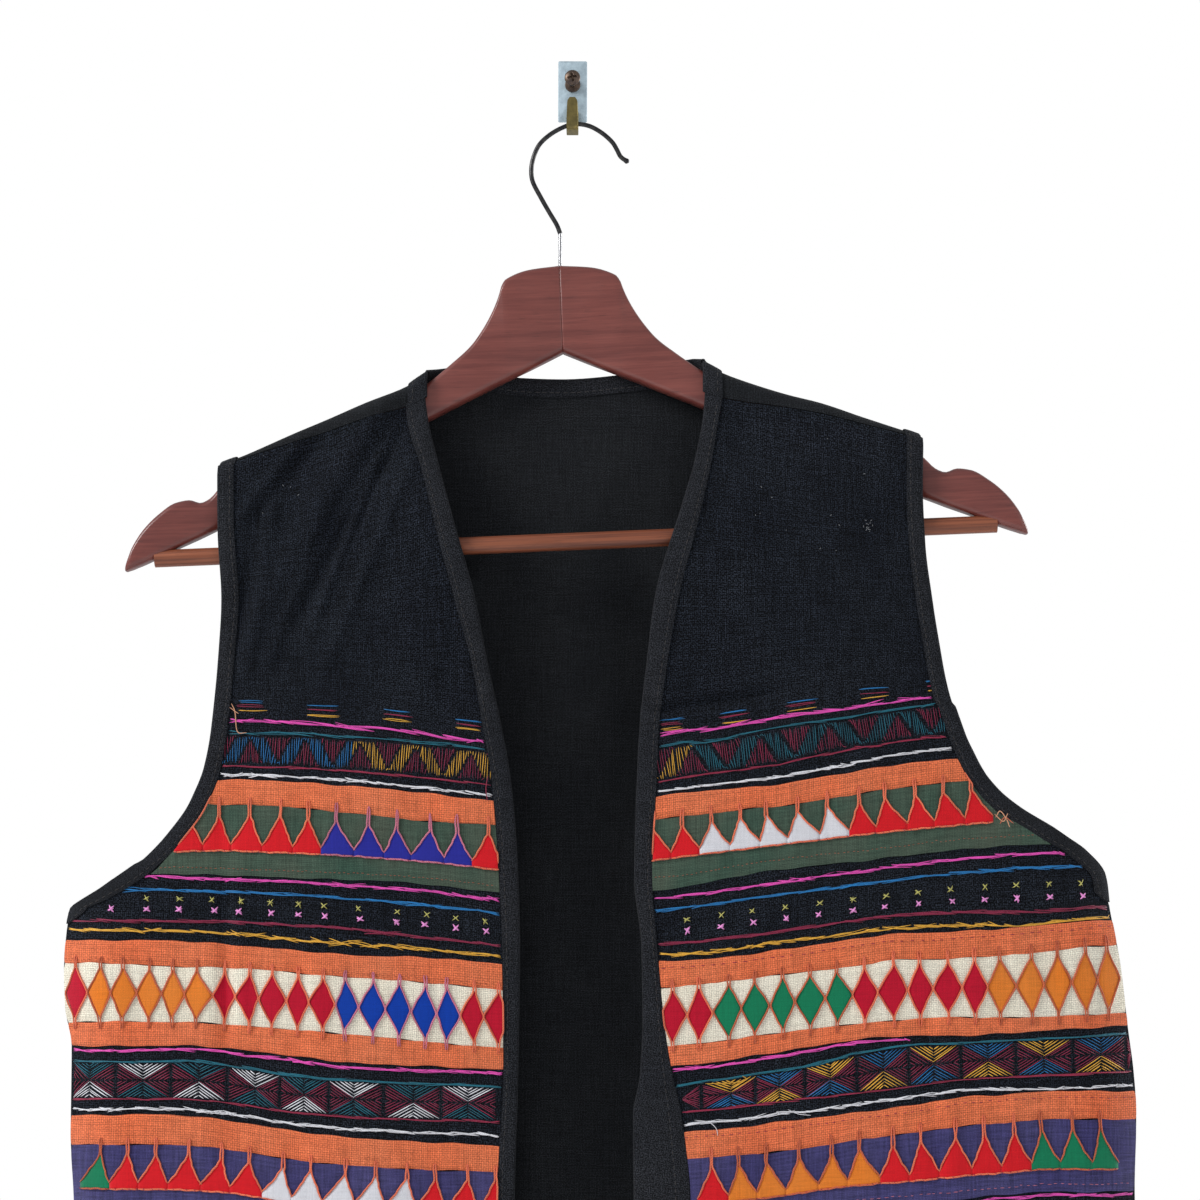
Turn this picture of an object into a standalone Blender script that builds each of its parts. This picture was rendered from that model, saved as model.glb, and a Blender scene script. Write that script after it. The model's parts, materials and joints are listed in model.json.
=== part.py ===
"""A patchwork cotton vest on a wooden hanger that hangs from a small wall hook.

Metres, +Z up. The wall is the plane y = 0 and the vest hangs in front of it, towards -Y. The origin is
on the back of the wall plate. Right and left are the wearer's, so the right front is at -X.
"""

import math

import bmesh
import bpy
import numpy as np
from mathutils import Vector

OBJECT_NAME = "patchwork_vest"
RIGHT, LEFT = "right", "left"

# Cloth
CLOTH = 0.0010  # wall of a panel
STRIP = 0.0010  # wall of a strip sewn on a panel
PATCH_RISE = 0.0008  # how far a patch stands above its strip
HEM_RISE = 0.0008  # how much the turned hem thickens a panel
BINDING_LEG = 0.0008  # each face of the folded binding
BINDING_CLEAR = 0.0005  # between the binding and the cloth inside it
GAP = 0.0004  # between pieces that touch
SEAM = 0.0004  # between panels at a seam
ARMHOLE_LEG = 0.0072  # how far the armhole binding reaches over the panel
NECK_LEG = 0.0088

# Garment
TILT = math.radians(2.4)  # the hanger hangs with its left end up
SHOULDER_ROLL = 0.0080  # height over which the cloth turns over the hanger
ROLL_POWER = 2.6  # above 2 the roll has a flatter top and sharper shoulders
SIDE_ROUND = 0.030  # width over which front and back close to the side seam
MITRE_SHARE = 0.05  # how far apart the three rings of a binding's corner start
NECK_FADE = 0.012  # how fast the shoulder roll dies out inside the neck
SIDE_INSET = {
    # z, distance of the last column of points from the side seam, which follows the patches
    RIGHT: ((-0.7400, 0.0175), (-0.5300, 0.0175), (-0.4600, 0.0122), (-0.4150, 0.0105)),
    LEFT: ((-0.7400, 0.0220), (-0.5200, 0.0220), (-0.4400, 0.0160), (-0.4050, 0.0120)),
}
UNDERARM_ROW = 18
HEM_ROW = 34

# Front edge by height: the open edge, and the seam of the edge binding
FRONT_EDGE = {
    RIGHT: (
        # z, open edge x, binding seam x
        (-0.1440, -0.0735, -0.0840),
        (-0.1570, -0.0735, -0.0825),
        (-0.1700, -0.0720, -0.0805),
        (-0.1930, -0.0660, -0.0735),
        (-0.2260, -0.0568, -0.0650),
        (-0.2580, -0.0475, -0.0565),
        (-0.2900, -0.0408, -0.0478),
        (-0.3200, -0.0338, -0.0425),
        (-0.3450, -0.0295, -0.0382),
        (-0.3800, -0.0265, -0.0350),
        (-0.4250, -0.0250, -0.0328),
        (-0.4800, -0.0256, -0.0318),
        (-0.5440, -0.0271, -0.0344),
        (-0.6200, -0.0262, -0.0340),
        (-0.7400, -0.0235, -0.0315),
    ),
    LEFT: (
        # z, open edge x, binding seam x
        (-0.1380, 0.0655, 0.0745),
        (-0.1500, 0.0668, 0.0752),
        (-0.1640, 0.0660, 0.0730),
        (-0.1870, 0.0620, 0.0690),
        (-0.2120, 0.0550, 0.0635),
        (-0.2580, 0.0412, 0.0519),
        (-0.2860, 0.0376, 0.0470),
        (-0.3200, 0.0338, 0.0425),
        (-0.3510, 0.0322, 0.0410),
        (-0.3920, 0.0312, 0.0388),
        (-0.4240, 0.0345, 0.0411),
        (-0.4600, 0.0350, 0.0442),
        (-0.4840, 0.0338, 0.0478),
        (-0.5020, 0.0305, 0.0520),
        (-0.5440, 0.0308, 0.0565),
        (-0.6200, 0.0330, 0.0510),
        (-0.7400, 0.0345, 0.0430),
    ),
}

# Outer edge by height: the armhole down to the underarm, then the side seam
OUTER_EDGE = {
    RIGHT: (
        # z, x
        (-0.1900, -0.1722),
        (-0.2268, -0.1710),
        (-0.2587, -0.1688),
        (-0.2810, -0.1698),
        (-0.3200, -0.1730),
        (-0.3390, -0.1762),
        (-0.3570, -0.1830),
        (-0.3710, -0.1930),
        (-0.3860, -0.2075),
        (-0.3970, -0.2240),
        (-0.4080, -0.2408),
        (-0.4150, -0.2426),
        (-0.4350, -0.2448),
        (-0.4540, -0.2438),
        (-0.4720, -0.2402),
        (-0.5150, -0.2396),
        (-0.5450, -0.2374),
        (-0.6500, -0.2350),
        (-0.7400, -0.2340),
    ),
    LEFT: (
        # z, x
        (-0.1770, 0.1715),
        (-0.2080, 0.1705),
        (-0.2310, 0.1712),
        (-0.2587, 0.1744),
        (-0.2810, 0.1778),
        (-0.3000, 0.1812),
        (-0.3200, 0.1876),
        (-0.3370, 0.1948),
        (-0.3510, 0.2052),
        (-0.3610, 0.2175),
        (-0.3700, 0.2335),
        (-0.3800, 0.2480),
        (-0.3910, 0.2580),
        (-0.4060, 0.2602),
        (-0.4300, 0.2647),
        (-0.4600, 0.2678),
        (-0.5020, 0.2712),
        (-0.5450, 0.2695),
        (-0.6500, 0.2715),
        (-0.7400, 0.2725),
    ),
}

# Rows of a front panel: heights at its front edge and at its outer edge
PANEL_ROWS = (
    # what lies there, right front edge, right outer, left front edge, left outer
    ("shoulder seam", -0.1590, -0.1930, -0.1560, -0.1790),
    ("yoke", -0.1760, -0.2050, -0.1730, -0.1925),
    ("yoke", -0.1950, -0.2200, -0.1920, -0.2080),
    ("yoke", -0.2150, -0.2360, -0.2120, -0.2240),
    ("yoke", -0.2350, -0.2530, -0.2320, -0.2410),
    ("yoke", -0.2560, -0.2700, -0.2540, -0.2580),
    ("yoke", -0.2790, -0.2880, -0.2780, -0.2760),
    ("dashes", -0.3230, -0.3080, -0.3200, -0.3010),
    ("stitches top", -0.3310, -0.3240, -0.3320, -0.3140),
    ("stitches base", -0.3450, -0.3380, -0.3460, -0.3240),
    ("first orange", -0.3555, -0.3455, -0.3555, -0.3370),
    ("green", -0.3660, -0.3570, -0.3655, -0.3465),
    ("green patches base", -0.3890, -0.3810, -0.3860, -0.3665),
    ("green base", -0.3995, -0.3910, -0.3980, -0.3765),
    ("pink line", -0.4030, -0.3945, -0.4040, -0.3815),
    ("blue line", -0.4095, -0.3985, -0.4095, -0.3865),
    ("crosses", -0.4165, -0.4025, -0.4170, -0.3915),
    ("crosses base", -0.4205, -0.4055, -0.4200, -0.3950),
    ("underarm", -0.4250, -0.4090, -0.4250, -0.3985),
    ("gold line", -0.4300, -0.4150, -0.4310, -0.4070),
    ("second orange", -0.4335, -0.4235, -0.4335, -0.4145),
    ("cream", -0.4455, -0.4345, -0.4460, -0.4245),
    ("cream middle", -0.4590, -0.4480, -0.4600, -0.4405),
    ("third orange", -0.4730, -0.4615, -0.4735, -0.4570),
    ("third orange base", -0.4830, -0.4730, -0.4830, -0.4635),
    ("nest top", -0.4915, -0.4810, -0.4930, -0.4680),
    ("nest base", -0.5070, -0.4970, -0.5040, -0.4860),
    ("fourth orange", -0.5180, -0.5045, -0.5130, -0.4950),
    ("navy", -0.5300, -0.5185, -0.5240, -0.5070),
    ("navy patches base", -0.5505, -0.5390, -0.5480, -0.5320),
    ("navy base", -0.5600, -0.5490, -0.5580, -0.5420),
    ("skirt", -0.6000, -0.5900, -0.5990, -0.5830),
    ("skirt", -0.6600, -0.6490, -0.6590, -0.6420),
    ("hem top", -0.7240, -0.7140, -0.7250, -0.7060),
    ("hem", -0.7360, -0.7260, -0.7370, -0.7180),
)
SAG = {RIGHT: 1.7, LEFT: 1.25}  # how late the rows drop towards the front edge
UNDERARM_Z = {RIGHT: PANEL_ROWS[UNDERARM_ROW][2], LEFT: PANEL_ROWS[UNDERARM_ROW][4]}
HEM_Z = {RIGHT: PANEL_ROWS[HEM_ROW][2], LEFT: PANEL_ROWS[HEM_ROW][4]}
FRONT_STEPS = 12  # even steps between the front binding's seam and the armhole's
FRONT_LAST = FRONT_STEPS + 2  # the last column of points, at the armhole and side
SLOPE_STEP = 0.002  # step over which a table's slope is read
STEEPEST = 2.5  # square of the steepest armhole slope that widens its binding's leg

# Grid of the back panel
BACK_SHOULDER_STEPS = 4
BACK_NECK_STEPS = 8
BACK_ROLL = (0, 50, 90, 130)  # degrees over the shoulder, after the row on the front seam
BACK_FALL = (0.10, 0.22, 0.36, 0.52, 0.68, 0.80, 0.90, 1.0)  # rows down to the underarm
BACK_SKIRT = (0.10, 0.30, 0.55, 0.80, 0.963, 1.0)  # rows from there to the hem
BACK_INSET = 0.0010  # the back's armhole lies this much inside the front's
BACK_REACH = 0.17  # half width at which the back's side depth is read
BACK_BOW = 1.6
NEAR_WALL = -0.0030  # the back never comes nearer the wall than this

# Shoulder line of the cloth from the neck to the armhole, and the seam on its front
SHOULDER = {
    RIGHT: (
        # x, top z, seam z
        (-0.0722, -0.1424, -0.1562),
        (-0.0823, -0.1495, -0.1608),
        (-0.1050, -0.1596, -0.1690),
        (-0.1350, -0.1735, -0.1797),
        (-0.1626, -0.1868, -0.1893),
        (-0.1725, -0.1906, -0.1930),
    ),
    LEFT: (
        # x, top z, seam z
        (0.0630, -0.1362, -0.1530),
        (0.0746, -0.1424, -0.1566),
        (0.0875, -0.1475, -0.1590),
        (0.1063, -0.1540, -0.1622),
        (0.1231, -0.1588, -0.1657),
        (0.1429, -0.1661, -0.1712),
        (0.1717, -0.1765, -0.1788),
    ),
}
BACK_NECK = (
    # x, z of the open edge behind the neck
    (-0.0722, -0.1443),
    (-0.0480, -0.1436),
    (-0.0060, -0.1432),
    (0.0300, -0.1405),
    (0.0630, -0.1385),
)

# Depth of the cloth's outer faces, by height: front edge, middle and outer edge of a front
FRONT_DEPTH = (
    # z, at the front edge, at the middle, at the outer edge
    (-0.1450, -0.0264, -0.0315, -0.0378),
    (-0.1800, -0.0300, -0.0340, -0.0385),
    (-0.2100, -0.0385, -0.0398, -0.0400),
    (-0.2300, -0.0402, -0.0405, -0.0405),
    (-0.2700, -0.0385, -0.0395, -0.0390),
    (-0.3600, -0.0360, -0.0380, -0.0345),
    (-0.4500, -0.0345, -0.0370, -0.0330),
    (-0.5500, -0.0340, -0.0365, -0.0325),
    (-0.7400, -0.0330, -0.0355, -0.0320),
)
BACK_DEPTH = (
    # z, at the centre, at the armhole or side
    (-0.1450, -0.0045, -0.0192),
    (-0.2500, -0.0045, -0.0165),
    (-0.4200, -0.0045, -0.0080),
    (-0.7400, -0.0045, -0.0070),
)
SIDE_SEAM_DEPTH = (
    # z, y
    (-0.1450, -0.0240),
    (-0.4200, -0.0215),
    (-0.7400, -0.0200),
)

# Folds: from a top point to a low point, with a width and a rise towards the viewer
FRONT_FOLDS = (
    # x top, z top, x low, z low, width, rise
    (-0.0855, -0.1680, -0.1340, -0.2600, 0.0085, -0.0042),
    (-0.0960, -0.1700, -0.1460, -0.2620, 0.0100, 0.0030),
    (-0.1250, -0.1800, -0.1600, -0.2680, 0.0100, -0.0022),
    (-0.0700, -0.2300, -0.0900, -0.3300, 0.0160, 0.0016),
    (-0.1650, -0.4050, -0.1610, -0.4700, 0.0160, -0.0010),
    (-0.0900, -0.5700, -0.0950, -0.7100, 0.0260, 0.0030),
    (-0.1750, -0.5800, -0.1800, -0.7200, 0.0240, -0.0026),
    (-0.1100, -0.4400, -0.1120, -0.5600, 0.0300, 0.0012),
    (0.0830, -0.1650, 0.0700, -0.2150, 0.0090, -0.0016),
    (0.0900, -0.3050, 0.0350, -0.3120, 0.0060, -0.0016),
    (0.1250, -0.2000, 0.1200, -0.3000, 0.0200, 0.0016),
    (0.1850, -0.5800, 0.1880, -0.7100, 0.0260, 0.0030),
    (0.0950, -0.5700, 0.0980, -0.7200, 0.0240, -0.0026),
    (0.1500, -0.4200, 0.1520, -0.5600, 0.0300, 0.0012),
)
BACK_FOLDS = (
    # x top, z top, x low, z low, width, rise
    (0.0250, -0.1600, 0.0620, -0.1710, 0.0070, 0.0018),
    (-0.0500, -0.2100, -0.0750, -0.4200, 0.0200, 0.0030),
    (0.0350, -0.2300, 0.0500, -0.5200, 0.0180, -0.0026),
    (-0.0100, -0.2600, -0.0080, -0.6900, 0.0240, 0.0034),
    (0.1300, -0.2200, 0.1450, -0.6600, 0.0260, -0.0028),
    (-0.1400, -0.2400, -0.1550, -0.6800, 0.0260, -0.0026),
)

# Hanger, from the top of its crown: one arm by its distance from the glued centre
CROWN = (-0.0064, -0.0863)
ARM_PROFILE = (
    # distance out, top below the crown, underside below the crown
    (0.0002, 0.0000, 0.0447),
    (0.0150, 0.0016, 0.0517),
    (0.0275, 0.0062, 0.0574),
    (0.0298, 0.0095, 0.0585),
    (0.0315, 0.0148, 0.0593),
    (0.0350, 0.0228, 0.0609),
    (0.0400, 0.0314, 0.0633),
    (0.0465, 0.0400, 0.0664),
    (0.0553, 0.0478, 0.0706),
    (0.0680, 0.0578, 0.0768),
    (0.0800, 0.0653, 0.0827),
    (0.1200, 0.0828, 0.1024),
    (0.1720, 0.1073, 0.1280),
    (0.1785, 0.1140, 0.1310),
    (0.1832, 0.1160, 0.1332),
    (0.1885, 0.1145, 0.1355),
    (0.1950, 0.1156, 0.1383),
    (0.2040, 0.1215, 0.1425),
    (0.2115, 0.1290, 0.1458),
    (0.2170, 0.1375, 0.1480),
    (0.2205, 0.1455, 0.1500),
)
ARM_THICKNESS = 0.0108
ARM_ROUNDING = 0.0034
ARM_CENTRE_DEPTH = -0.0122
ARM_SWEEP = 0.0210  # how far the arm's end comes forward
ARM_SWEEP_POWER = 1.2
ARM_REACH = {RIGHT: 0.985, LEFT: 1.012}
ARM_LENGTH = 0.2205
BAR_DROP = 0.1430
BAR_REACH = 0.2060
BAR_RADIUS = 0.0043
BAR_DEPTH = -0.0325
BAR_CLEARANCE = 0.0003

# Wire hook of the hanger, from its tip to its foot in the crown
WIRE_RADIUS = 0.0011
WIRE_FOOT_RADIUS = 0.0009
WIRE_TIP_RADIUS = 0.0014
WIRE_FOOT_X = -0.0061
WIRE_FOOT = -0.1000
WIRE_HOLE_CLEARANCE = 0.0003
WIRE_FOOT_TOP = -0.0690
WIRE_POINTS = (
    # x, z
    (0.0286, -0.0322),
    (0.0246, -0.0293),
    (0.0226, -0.0256),
    (0.0201, -0.0215),
    (0.0150, -0.0168),
    (0.0084, -0.0131),
    (0.0013, -0.0121),
    (-0.0042, -0.0136),
    (-0.0108, -0.0173),
    (-0.0164, -0.0225),
    (-0.0194, -0.0288),
    (-0.0207, -0.0355),
    (-0.0200, -0.0421),
    (-0.0163, -0.0496),
    (-0.0117, -0.0579),
    (-0.0079, -0.0644),
)

# Wall hook
PLATE_WIDTH = 0.0148
PLATE_TOP = 0.0248
PLATE_BOTTOM = -0.0075
PLATE_THICKNESS = 0.0010
SCREW_HEIGHT = 0.0120
SCREW_HOLE_RADIUS = 0.0023
SCREW_RADIUS = 0.0019
SCREW_HEAD_RADIUS = 0.0040
SCREW_HEAD_DEPTH = -0.0125
TONGUE_WIDTH = 0.0060
TONGUE_STRIP = 0.0010
TONGUE_TIP = 0.0012
TONGUE_FRONT = -0.0150
TONGUE_BEND = 0.0030  # outer radius of the bend at the plate
TONGUE_FRONT_BEND = 0.0026
TONGUE_RISE = 0.0130  # height of the tongue's back leg on the plate
WIRE_REST = -0.0130  # height of the wire's centre where it rests on the tongue
METAL_GAP = 0.0003  # between metal pieces that touch
COLLAR_THICKNESS = 0.0010
SCREW_HEAD_THICKNESS = 0.0023
SCREW_SIDES = 16

# Patches: a row of diamonds or triangles on a strip, by its first and last centre
PATCHES = {
    # strip: (shape, count, first x, last x)
    (RIGHT, "green"): ("triangle", 11, -0.1760, -0.0445),
    (RIGHT, "cream"): ("diamond", 18, -0.2385, -0.0372),
    (RIGHT, "navy"): ("triangle", 13, -0.2290, -0.0395),
    (LEFT, "green"): ("triangle", 12, 0.0440, 0.1990),
    (LEFT, "cream"): ("diamond", 17, 0.0487, 0.2570),
    (LEFT, "navy"): ("triangle", 13, 0.0690, 0.2560),
}
PATCH_INSET = 0.72  # size of a diamond's flat top beside its outline
TRIANGLE_INSET = 0.60
TRIANGLE_TOP, TRIANGLE_BASE = 0.34, 0.90  # where a triangle's flat top starts and ends, down its height
PATCH_RIM = 0.06  # bare strip above and below a patch, of its height
NARROWEST_CELL = 0.0062  # a narrower rest of a strip takes no patch
STRIP_CLEAR = 0.0006  # between a strip's end and the binding or the side seam
STRIP_ROWS = (
    # strip, its name in the row table, the row where it ends
    ("first_orange", "first orange", "green"),
    ("green", "green", "green base"),
    ("second_orange", "second orange", "cream"),
    ("cream", "cream", "third orange"),
    ("third_orange", "third orange", "third orange base"),
    ("fourth_orange", "fourth orange", "navy"),
    ("navy", "navy", "navy base"),
)
STRIP_PARTING = 0.0004  # between one strip and the next

# Colour, roughness and metallic value of each material
MATERIALS = {
    "coarse_navy_cotton": ((0.010, 0.011, 0.016), 0.90, 0.0),
    "fine_charcoal_cotton": ((0.014, 0.014, 0.017), 0.88, 0.0),
    "binding_cotton": ((0.026, 0.027, 0.031), 0.86, 0.0),
    "orange_cotton": ((0.730, 0.145, 0.058), 0.85, 0.0),
    "green_cotton": ((0.048, 0.098, 0.072), 0.85, 0.0),
    "cream_cotton": ((0.830, 0.768, 0.610), 0.85, 0.0),
    "navy_cotton": ((0.045, 0.042, 0.156), 0.85, 0.0),
    "mahogany_wood": ((0.223, 0.061, 0.045), 0.42, 0.0),
    "bar_wood": ((0.305, 0.090, 0.032), 0.45, 0.0),
    "dark_steel": ((0.030, 0.028, 0.030), 0.35, 1.0),
    "zinc_plate": ((0.580, 0.690, 0.760), 0.35, 0.9),
    "brass_strip": ((0.260, 0.209, 0.060), 0.40, 1.0),
    "bronze_screw": ((0.070, 0.053, 0.053), 0.40, 1.0),
}


def smooth(table, at, column=1):
    """Reads a column of a table at given places by a cubic that keeps to the rows and never overshoots."""
    rows = np.array(sorted(row[: column + 1] for row in table), dtype=float)
    where, value = rows[:, 0], rows[:, column]
    step = np.diff(where)
    slope = np.diff(value) / step
    tangent = np.zeros(len(where))
    tangent[0], tangent[-1] = slope[0], slope[-1]
    same_way = slope[:-1] * slope[1:] > 0
    mean = 2 * slope[:-1] * slope[1:] / np.where(same_way, slope[:-1] + slope[1:], 1)
    tangent[1:-1] = np.where(same_way, mean, 0)
    at = np.clip(at, where[0], where[-1])
    k = np.clip(np.searchsorted(where, at, side="right") - 1, 0, len(step) - 1)
    t = (at - where[k]) / step[k]
    start = value[k] * (1 + 2 * t) * (1 - t) ** 2 + step[k] * tangent[k] * t * (1 - t) ** 2
    end = value[k + 1] * t**2 * (3 - 2 * t) + step[k] * tangent[k + 1] * t**2 * (t - 1)
    return start + end


def three_way(table, z, across):
    """Reads three columns at a height and joins them by a parabola across the cloth, 0 to 1."""
    first, middle, last = (smooth(table, z, column) for column in (1, 2, 3))
    bow = middle - (first + last) / 2
    return first + (last - first) * across + 4 * bow * across * (1 - across)


def folds(table, x, z):
    """The sum of soft ridges, each a bell across its line that dies out beyond its two ends."""
    total = np.zeros(np.broadcast(x, z).shape)
    for x_top, z_top, x_low, z_low, width, rise in table:
        run = np.array((x_low - x_top, z_low - z_top))
        length = np.hypot(*run)
        run = run / length
        along = (x - x_top) * run[0] + (z - z_top) * run[1]
        across = (x - x_top) * run[1] - (z - z_top) * run[0]
        beyond = np.maximum(np.maximum(-along, along - length), 0) / (2 * width)
        total = total + rise * np.exp(-((across / width) ** 2) - beyond**2)
    return total


def by_side(x, read):
    """Calls read(side) for each side and takes its values where x is on that side."""
    return np.where(x < 0, read(RIGHT), read(LEFT))


def shoulder_top(x):
    return by_side(x, lambda side: smooth(SHOULDER[side], x))


def outer_x(x, z):
    """The side line of the cloth, as a distance from x = 0; above the underarm it runs straight up."""
    low = np.minimum(z, -0.41)
    return by_side(x, lambda side: np.abs(smooth(OUTER_EDGE[side], low)))


def front_sheet(x, z):
    edge = by_side(x, lambda side: np.abs(smooth(FRONT_EDGE[side], z)))
    side = np.maximum(by_side(x, lambda s: np.abs(smooth(OUTER_EDGE[s], z))), edge + 0.01)
    across = np.clip((np.abs(x) - edge) / (side - edge), 0, 1)
    return three_way(FRONT_DEPTH, z, across) - folds(FRONT_FOLDS, x, z)


def back_sheet(x, z):
    centre, side = smooth(BACK_DEPTH, z, 1), smooth(BACK_DEPTH, z, 2)
    across = np.clip(np.abs(x) / BACK_REACH, 0, 1.3)
    flat = centre + (side - centre) * across**BACK_BOW
    return np.minimum(flat - folds(BACK_FOLDS, x, z), NEAR_WALL)


def closed_to_side(flat, x, z):
    """Bends a flat sheet round to the side seam by a parabola over the last stretch of its width."""
    seam = smooth(SIDE_SEAM_DEPTH, z)
    inward = np.clip((outer_x(x, z) - np.abs(x)) / SIDE_ROUND, 0, 1)
    return seam + (flat - seam) * (1 - (1 - inward) ** 2)


def over_shoulder(flat, other, x, z):
    """Turns a sheet over the shoulder, to the middle of both sheets, by a quarter of a squarish ellipse."""
    neck = by_side(x, lambda side: abs(SHOULDER[side][0][0]))
    fade = np.clip(1 - (neck - np.abs(x)) / NECK_FADE, 0, 1)
    into_roll = np.clip((z - shoulder_top(x)) / SHOULDER_ROLL + 1, 0, 1) * fade
    middle = (flat + other) / 2
    return middle + (flat - middle) * (1 - into_roll**ROLL_POWER) ** (1 / ROLL_POWER)


def front_y(x, z):
    front, back = closed_to_side(front_sheet(x, z), x, z), closed_to_side(back_sheet(x, z), x, z)
    return over_shoulder(front, back, x, z)


def back_y(x, z):
    front, back = closed_to_side(front_sheet(x, z), x, z), closed_to_side(back_sheet(x, z), x, z)
    return over_shoulder(back, front, x, z)


def sheet_normals(depth, x, z, way):
    """Unit normals of the sheet y = depth(x, z) from its two slopes, pointing to way along Y."""
    step = 0.0004
    slope_x = (depth(x + step, z) - depth(x - step, z)) / (2 * step)
    slope_z = (depth(x, z + step) - depth(x, z - step)) / (2 * step)
    normal = np.stack((-slope_x * way, np.full(x.shape, float(way)), -slope_z * way), axis=2)
    return normal / np.linalg.norm(normal, axis=2, keepdims=True)


class Panel:
    """A panel of cloth: a grid of points on its outer face and the direction outwards at each."""

    def __init__(self, points, normals, used=None):
        self.points = points
        self.normals = normals
        self.used = used

    def at(self, row, column, lift):
        """The point at a fractional row and column, lifted off the outer face."""
        row = np.clip(row, 0, self.points.shape[0] - 1)
        column = np.clip(column, 0, self.points.shape[1] - 1)
        lifted = self.points + self.normals * lift
        r = np.minimum(np.floor(row).astype(int), self.points.shape[0] - 2)
        c = np.minimum(np.floor(column).astype(int), self.points.shape[1] - 2)
        dr, dc = (row - r)[..., None], (column - c)[..., None]
        upper = lifted[r, c] * (1 - dc) + lifted[r, c + 1] * dc
        lower = lifted[r + 1, c] * (1 - dc) + lifted[r + 1, c + 1] * dc
        return upper * (1 - dr) + lower * dr


def row_index(name):
    return [row[0] for row in PANEL_ROWS].index(name)


def outer_and_leg(side, z):
    """The outer edge's x and how far along a row the armhole binding reaches, more where the edge slants."""
    above, below = (smooth(OUTER_EDGE[side], z + step) for step in (SLOPE_STEP, -SLOPE_STEP))
    slant = (above - below) / (2 * SLOPE_STEP)
    return smooth(OUTER_EDGE[side], z), ARMHOLE_LEG * math.sqrt(1 + min(slant**2, STEEPEST))


def front_columns(side, z_edge, z_outer):
    """The x of each column: open edge, binding's seam, even steps, armhole seam, outer edge."""
    edge = smooth(FRONT_EDGE[side], z_edge, 1)
    seam = smooth(FRONT_EDGE[side], z_edge, 2)
    outer, leg = outer_and_leg(side, z_outer)
    if z_outer < UNDERARM_Z[side]:
        leg = smooth(SIDE_INSET[side], z_outer)
    inner = outer - np.sign(outer) * leg
    share = np.linspace(0, 1, FRONT_STEPS + 1)
    return np.concatenate(([edge], seam + (inner - seam) * share, [outer]))


def front_panel(side):
    """Rows run from the shoulder seam to the hem, columns from the open edge to the armhole and side."""
    first = 1 if side == RIGHT else 3
    flat = []
    for row in PANEL_ROWS:
        z_edge, z_outer = row[first], row[first + 1]
        x = front_columns(side, z_edge, z_outer)
        inward = (x - x[-1]) / (x[0] - x[-1])
        z = z_outer + (z_edge - z_outer) * inward ** SAG[side]
        if row[0] == "shoulder seam":
            z = by_side(x, lambda s: smooth(SHOULDER[s], x, 2)) - SEAM / 2
        flat.append(np.stack((x, z), axis=1))
    flat = np.array(flat)
    x, z = flat[..., 0], flat[..., 1]
    points = np.stack((x, front_y(x, z), z), axis=2)
    seam_rows = slice(UNDERARM_ROW, None)
    points[seam_rows, -1, 1] -= SEAM / 2
    normals = sheet_normals(front_y, x, z, -1)
    normals[seam_rows, -1] = (-1 if side == RIGHT else 1, 0, 0)
    return Panel(points, normals)


def back_top_columns():
    """The x of each column at the shoulders and nape, and how many of them lie on one shoulder."""
    sides = {}
    for side in (RIGHT, LEFT):
        neck_x, armhole_x = SHOULDER[side][0][0], SHOULDER[side][-1][0]
        way = np.sign(neck_x)
        leg_in = neck_x + way * NECK_LEG
        leg_out = armhole_x - way * (ARMHOLE_LEG + BACK_INSET)
        steps = leg_in + (leg_out - leg_in) * np.linspace(0, 1, BACK_SHOULDER_STEPS + 1)
        sides[side] = np.concatenate(([neck_x], steps, [armhole_x - way * BACK_INSET]))
    nape = np.linspace(sides[RIGHT][0], sides[LEFT][0], BACK_NECK_STEPS + 1)[1:-1]
    return np.concatenate((sides[RIGHT][::-1], nape, sides[LEFT])), len(sides[RIGHT])


def back_heights(top_x, in_shoulder):
    """Heights of the back's grid: the front seams, over the roll, the nape, down to the underarm and hem."""
    top = shoulder_top(top_x)
    seam = by_side(top_x, lambda side: smooth(SHOULDER[side], top_x, 2)) + SEAM / 2
    start = np.minimum(top - SHOULDER_ROLL, top - 0.5 * (top - seam))
    rows = [seam]
    for r, angle in enumerate(BACK_ROLL, start=1):
        height = start + (top - start) * math.sin(math.radians(angle))
        rows.append(np.maximum(height, seam + (top - seam) * 0.3 * r) if angle <= 90 else height)
    rows[-1] = np.where(in_shoulder, rows[-1], smooth(BACK_NECK, top_x))
    inset = rows[-1] - NECK_LEG
    across = np.linspace(0, 1, len(top_x))
    under = UNDERARM_Z[RIGHT] + (UNDERARM_Z[LEFT] - UNDERARM_Z[RIGHT]) * across
    hem = HEM_Z[RIGHT] + (HEM_Z[LEFT] - HEM_Z[RIGHT]) * across
    rows.append(inset)
    rows += [inset + (under - inset) * fall for fall in BACK_FALL]
    rows += [under + (hem - under) * fall for fall in BACK_SKIRT]
    return np.array(rows)


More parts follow.
